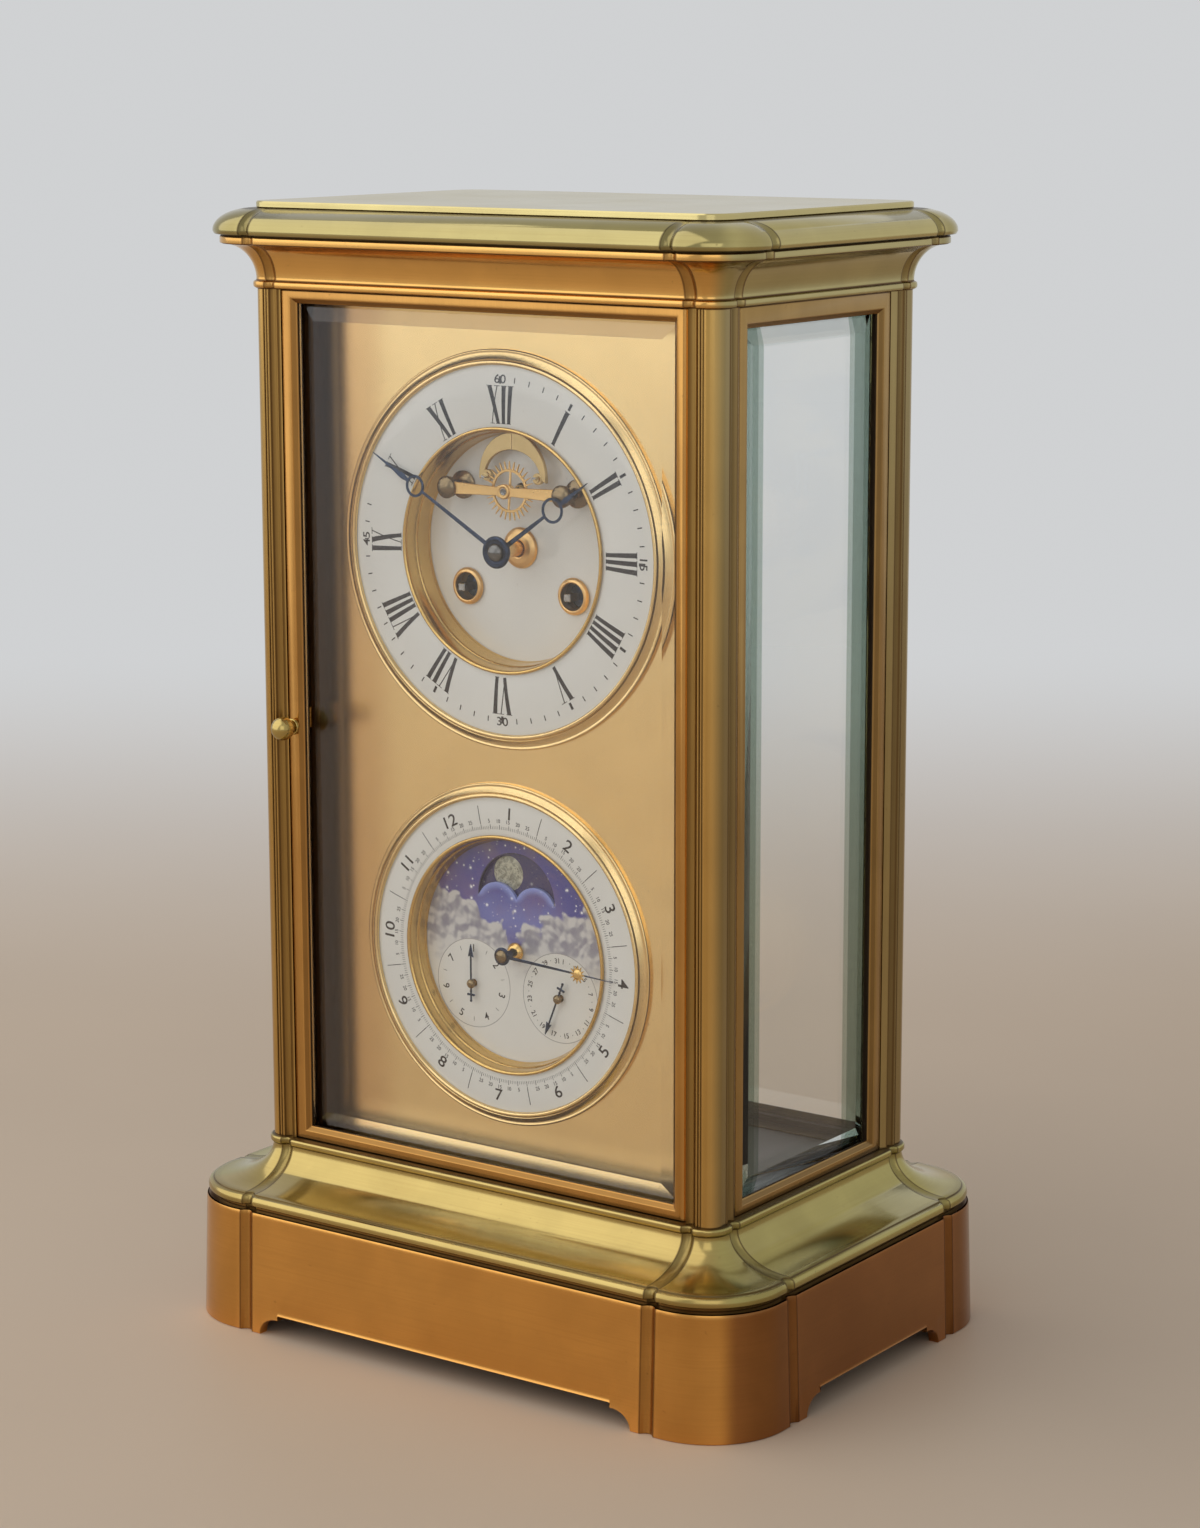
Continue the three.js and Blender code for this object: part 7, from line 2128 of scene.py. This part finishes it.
class CLOCK_OT_motion(bpy.types.Operator):
    """Motion work behind the dial"""
    bl_idname = "clock.motion"
    bl_label = "Motion work"

    def execute(self, context):
        centre, stud = AXIS["minute"], AXIS["minute_wheel"]
        minute_front, hour_front = FRONT_PLATE_Y - 1.4, FRONT_PLATE_Y - 3.4
        out = bearing(centre, stud)
        phase = mesh_phase(out, CANNON.pinion, CANNON.wheel)
        made = wheel(CANNON, phase, minute_front, WHEEL_THICK, bore=1.17)
        leaf, root = teeth(HOUR.pinion, HOUR.module, 0, hour_front - 0.2, 1.9, True)
        core = Shape().lathe([
            (1.17, hour_front - 0.2), (root, hour_front - 0.2), (root, minute_front + 0.1),
            (1.17, minute_front + 0.1),
        ], sides=32, closed=True)
        made.join(leaf, core).turning("minute_wheel", "minute_disc", "wheel_brass", "minute_wheel")
        phase = mesh_phase(out + math.pi, HOUR.pinion, HOUR.wheel)
        made = wheel(HOUR, phase, hour_front, WHEEL_THICK, bore=PIPE_BORE)
        pipe = [
            (PIPE_BORE, HOUR_HAND_Y + HAND_THICK), (PIPE_BORE + 0.75, HOUR_HAND_Y + HAND_THICK),
            (PIPE_BORE + 0.75, hour_front + 0.4), (PIPE_BORE, hour_front + 0.4),
        ]
        made.join(Shape().lathe(pipe, sides=40, closed=True))
        made.turning("hour", "hour_pipe", "wheel_brass", "hour_wheel")
        made = pinion(CANNON, 0, minute_front - 0.2, WHEEL_THICK + 0.4)
        made.join(
            wheel(CENTRE, 0, PLANE_CENTRE, WHEEL_THICK, 3), pinion(SECOND, 0, PLANE_SECOND, WHEEL_THICK + 0.2)
        )
        made.turning("minute", "centre_crossed", "wheel_brass", "centre_arbor")
        made = arbor(CENTRE_SHAFT, MINUTE_HAND_Y + HAND_THICK, PLANE_CENTRE + 0.4)
        made.join(arbor(1.0, PLANE_CENTRE, BACK_PLATE_END))
        made.turning("minute", "centre_steel", "polished_steel")
        return {"FINISHED"}


class CLOCK_OT_pendulum(bpy.types.Operator):
    """Pendulum, hammer and the regulator's arbor"""
    bl_idname = "clock.pendulum"
    bl_label = "Pendulum and hammer"

    def execute(self, context):
        pendulum_rod().turning("pendulum", "rod", "polished_steel", "pendulum_rod")
        bob().turning("pendulum", "bob", "gilt_brass", "pendulum_bob")
        rating_nut().turning("pendulum", "rating_nut", "wheel_brass")
        hammer_arm().turning("hammer", "hammer_arm", "polished_steel", "hammer")
        hammer_head().turning("hammer", "hammer_head", "wheel_brass")
        made = Shape().rod(0.9, ENAMEL_FRONT + 1.4, BACK_PLATE_END + 7.5, sides=28)
        made.plate(
            rectangle(-0.62, 0.62, -0.62, 0.62, 0.06, 2), [], ENAMEL_FRONT + 0.2, ENAMEL_FRONT + 1.6, 0.12
        )
        made.turning("regulator", "regulator_square", "polished_steel", "regulator_arbor")
        return {"FINISHED"}


class CLOCK_OT_calendar_back(bpy.types.Operator):
    """Back plate of the calendar work"""
    bl_idname = "clock.calendar_back"
    bl_label = "Calendar back plate"

    def execute(self, context):
        y, radius = -31.6, 47.5
        centres = (
            (0, 0, 1.36), (0, MOON_RISE, 1.16), (-SUBDIAL_X, -SUBDIAL_DROP, 1.06),
            (SUBDIAL_X, -SUBDIAL_DROP, 1.06),
        )
        shape = Shape(z=CALENDAR_DIAL.height)
        shape.plate(circle(0, 0, radius, 160), [circle(x, z, r, 28) for x, z, r in centres], y, y + 2, 0.3)
        for x, z, r in centres:
            shape.lathe([
                (r, y + 1.9), (r + 1.1, y + 1.9), (r + 1.1, y + 2.2), (r + 0.8, y + 2.4), (r, y + 2.1),
            ], x, z, 36, closed=True)
        heads = Shape()
        for degrees in (45, 135, 225, 315):
            x, z = spot(radius - 2.6, degrees)
            shape.rod(1.6, PLATE_FRONT + 2.8, y + 1, x, z)
            heads.join(screw(x, z + CALENDAR_DIAL.height, 1.9, y + 2, 1, degrees * 1.3))
        shape.piece("calendar_back", "movement_brass", replaces="calendar_back_plate")
        heads.piece("calendar_screws", "blued_steel")
        return {"FINISHED"}


FLOOR_REACH = 6.0             # the stage's lengths are in metres
VIEW_AWAY = (0.58, 0.81)      # the camera looks this way over the floor
LAMPS = (("key", (-2.1, -1.9, 2.4), 6.0), ("fill", (1.2, -1.9, 1.0), 1.5))
CAMERA_AT = (0.734235, -1.022674, 0.453780)
CAMERA_RIGHT = Vector((0.81503, 0.57941, -0.00204))
CAMERA_UP = Vector((-0.11089, 0.15943, 0.98096))


class CLOCK_OT_stage(bpy.types.Operator):
    """Floor, light and camera"""
    bl_idname = "clock.stage"
    bl_label = "Stage"

    def execute(self, context):
        scene, stage = context.scene, context.scene.clock_stage
        floor = bpy.data.meshes.new("floor")
        corners = rectangle(-FLOOR_REACH, FLOOR_REACH, -FLOOR_REACH, FLOOR_REACH)
        floor.from_pydata([(x, y, 0) for x, y in corners], [], [(0, 1, 2, 3)])
        ground = bpy.data.objects.new("floor", floor)
        scene.collection.objects.link(ground)
        f = Finish("floor")
        x, y, _ = f.axes()
        tone = f.mix(f.noise(f.place(), 3, 3).step(0.3, 0.7), stage.floor, shade(stage.floor, 0.96))
        near = f.principled(Base_Color=tone, Roughness=0.55, Specular_IOR_Level=0.3)
        far = f.node("Emission", {}, Color=(*stage.wall[:3], 1), Strength=1.0)
        behind = (y * VIEW_AWAY[1] - x * VIEW_AWAY[0]).step(0.35, 1.5)
        fade = (x * x + y * y).root().step(0.9, 3.6).most(behind)
        floor.materials.append(f.surface(f.node("MixShader", {}, fade, near, far)))
        world = bpy.data.worlds.new("studio")
        scene.world = world
        world.use_nodes = True
        tree = world.node_tree
        tree.nodes.clear()
        seen = add_node(tree, "LightPath", output="Is Camera Ray")
        seen = seen.most(seen.output("Is Glossy Ray")).most(seen.output("Is Transmission Ray"))
        dim = add_node(tree, "Background", {}, Color=(*shade(stage.wall, 0.5), 1), Strength=1.0)
        bright = add_node(tree, "Background", {}, Color=(*stage.wall[:3], 1), Strength=1.0)
        add_node(tree, "OutputWorld", {}, Surface=add_node(tree, "MixShader", {}, seen, dim, bright))
        for (name, at, side), power in zip(LAMPS, (stage.key, stage.fill)):
            data = bpy.data.lights.new(name, "AREA")
            data.energy, data.shape, data.size = power, "SQUARE", side
            lamp = bpy.data.objects.new(name, data)
            lamp.location = at
            lamp.rotation_euler = (Vector((0, 0, 0.2)) - Vector(at)).to_track_quat("-Z", "Y").to_euler()
            scene.collection.objects.link(lamp)
        data = bpy.data.cameras.new("camera")
        data.sensor_width, data.lens, data.clip_start = 36, stage.lens, 0.01
        camera = bpy.data.objects.new("camera", data)
        camera.location = CAMERA_AT
        camera.rotation_mode = "QUATERNION"
        axes = (CAMERA_RIGHT, CAMERA_UP, CAMERA_RIGHT.cross(CAMERA_UP))
        camera.rotation_quaternion = Matrix(axes).transposed().to_quaternion()
        scene.collection.objects.link(camera)
        scene.camera = camera
        scene.view_settings.view_transform = "Standard"
        return {"FINISHED"}


BUILDERS = (
    CLOCK_OT_stage, CLOCK_OT_plinth, CLOCK_OT_mouldings, CLOCK_OT_pillars, CLOCK_OT_glazing,
    CLOCK_OT_time_dial,
    CLOCK_OT_calendar_dial, CLOCK_OT_hands, CLOCK_OT_escapement, CLOCK_OT_calendar_hands, CLOCK_OT_movement,
    CLOCK_OT_train, CLOCK_OT_motion, CLOCK_OT_pendulum, CLOCK_OT_calendar_back,
)


class CLOCK_PT_panel(bpy.types.Panel):
    """Lists the clock's pieces in the sidebar"""
    bl_label = "Regulator clock"
    bl_idname = "CLOCK_PT_panel"
    bl_space_type = "VIEW_3D"
    bl_region_type = "UI"
    bl_category = "Clock"

    def draw(self, context):
        for group in (context.scene.clock_case, context.scene.clock_finishes, context.scene.clock_stage):
            box = self.layout.box()
            for key in group.__annotations__:
                box.prop(group, key)
        for builder in BUILDERS:
            self.layout.operator(builder.bl_idname)


GROUPS = {"clock_case": ClockCase, "clock_finishes": ClockFinishes, "clock_stage": ClockStage}


def register():
    """Makes the add-on's classes and settings known."""
    for kind in (*GROUPS.values(), *BUILDERS, CLOCK_PT_panel):
        bpy.utils.register_class(kind)
    for name, group in GROUPS.items():
        setattr(bpy.types.Scene, name, PointerProperty(type=group))


def unregister():
    """Takes them away again."""
    for name in GROUPS:
        delattr(bpy.types.Scene, name)
    for kind in (CLOCK_PT_panel, *reversed(BUILDERS), *GROUPS.values()):
        bpy.utils.unregister_class(kind)


def main():
    """Builds every piece."""
    register()
    for builder in BUILDERS:
        group, name = builder.bl_idname.split(".")
        getattr(getattr(bpy.ops, group), name)()


if __name__ == "__main__":
    main()
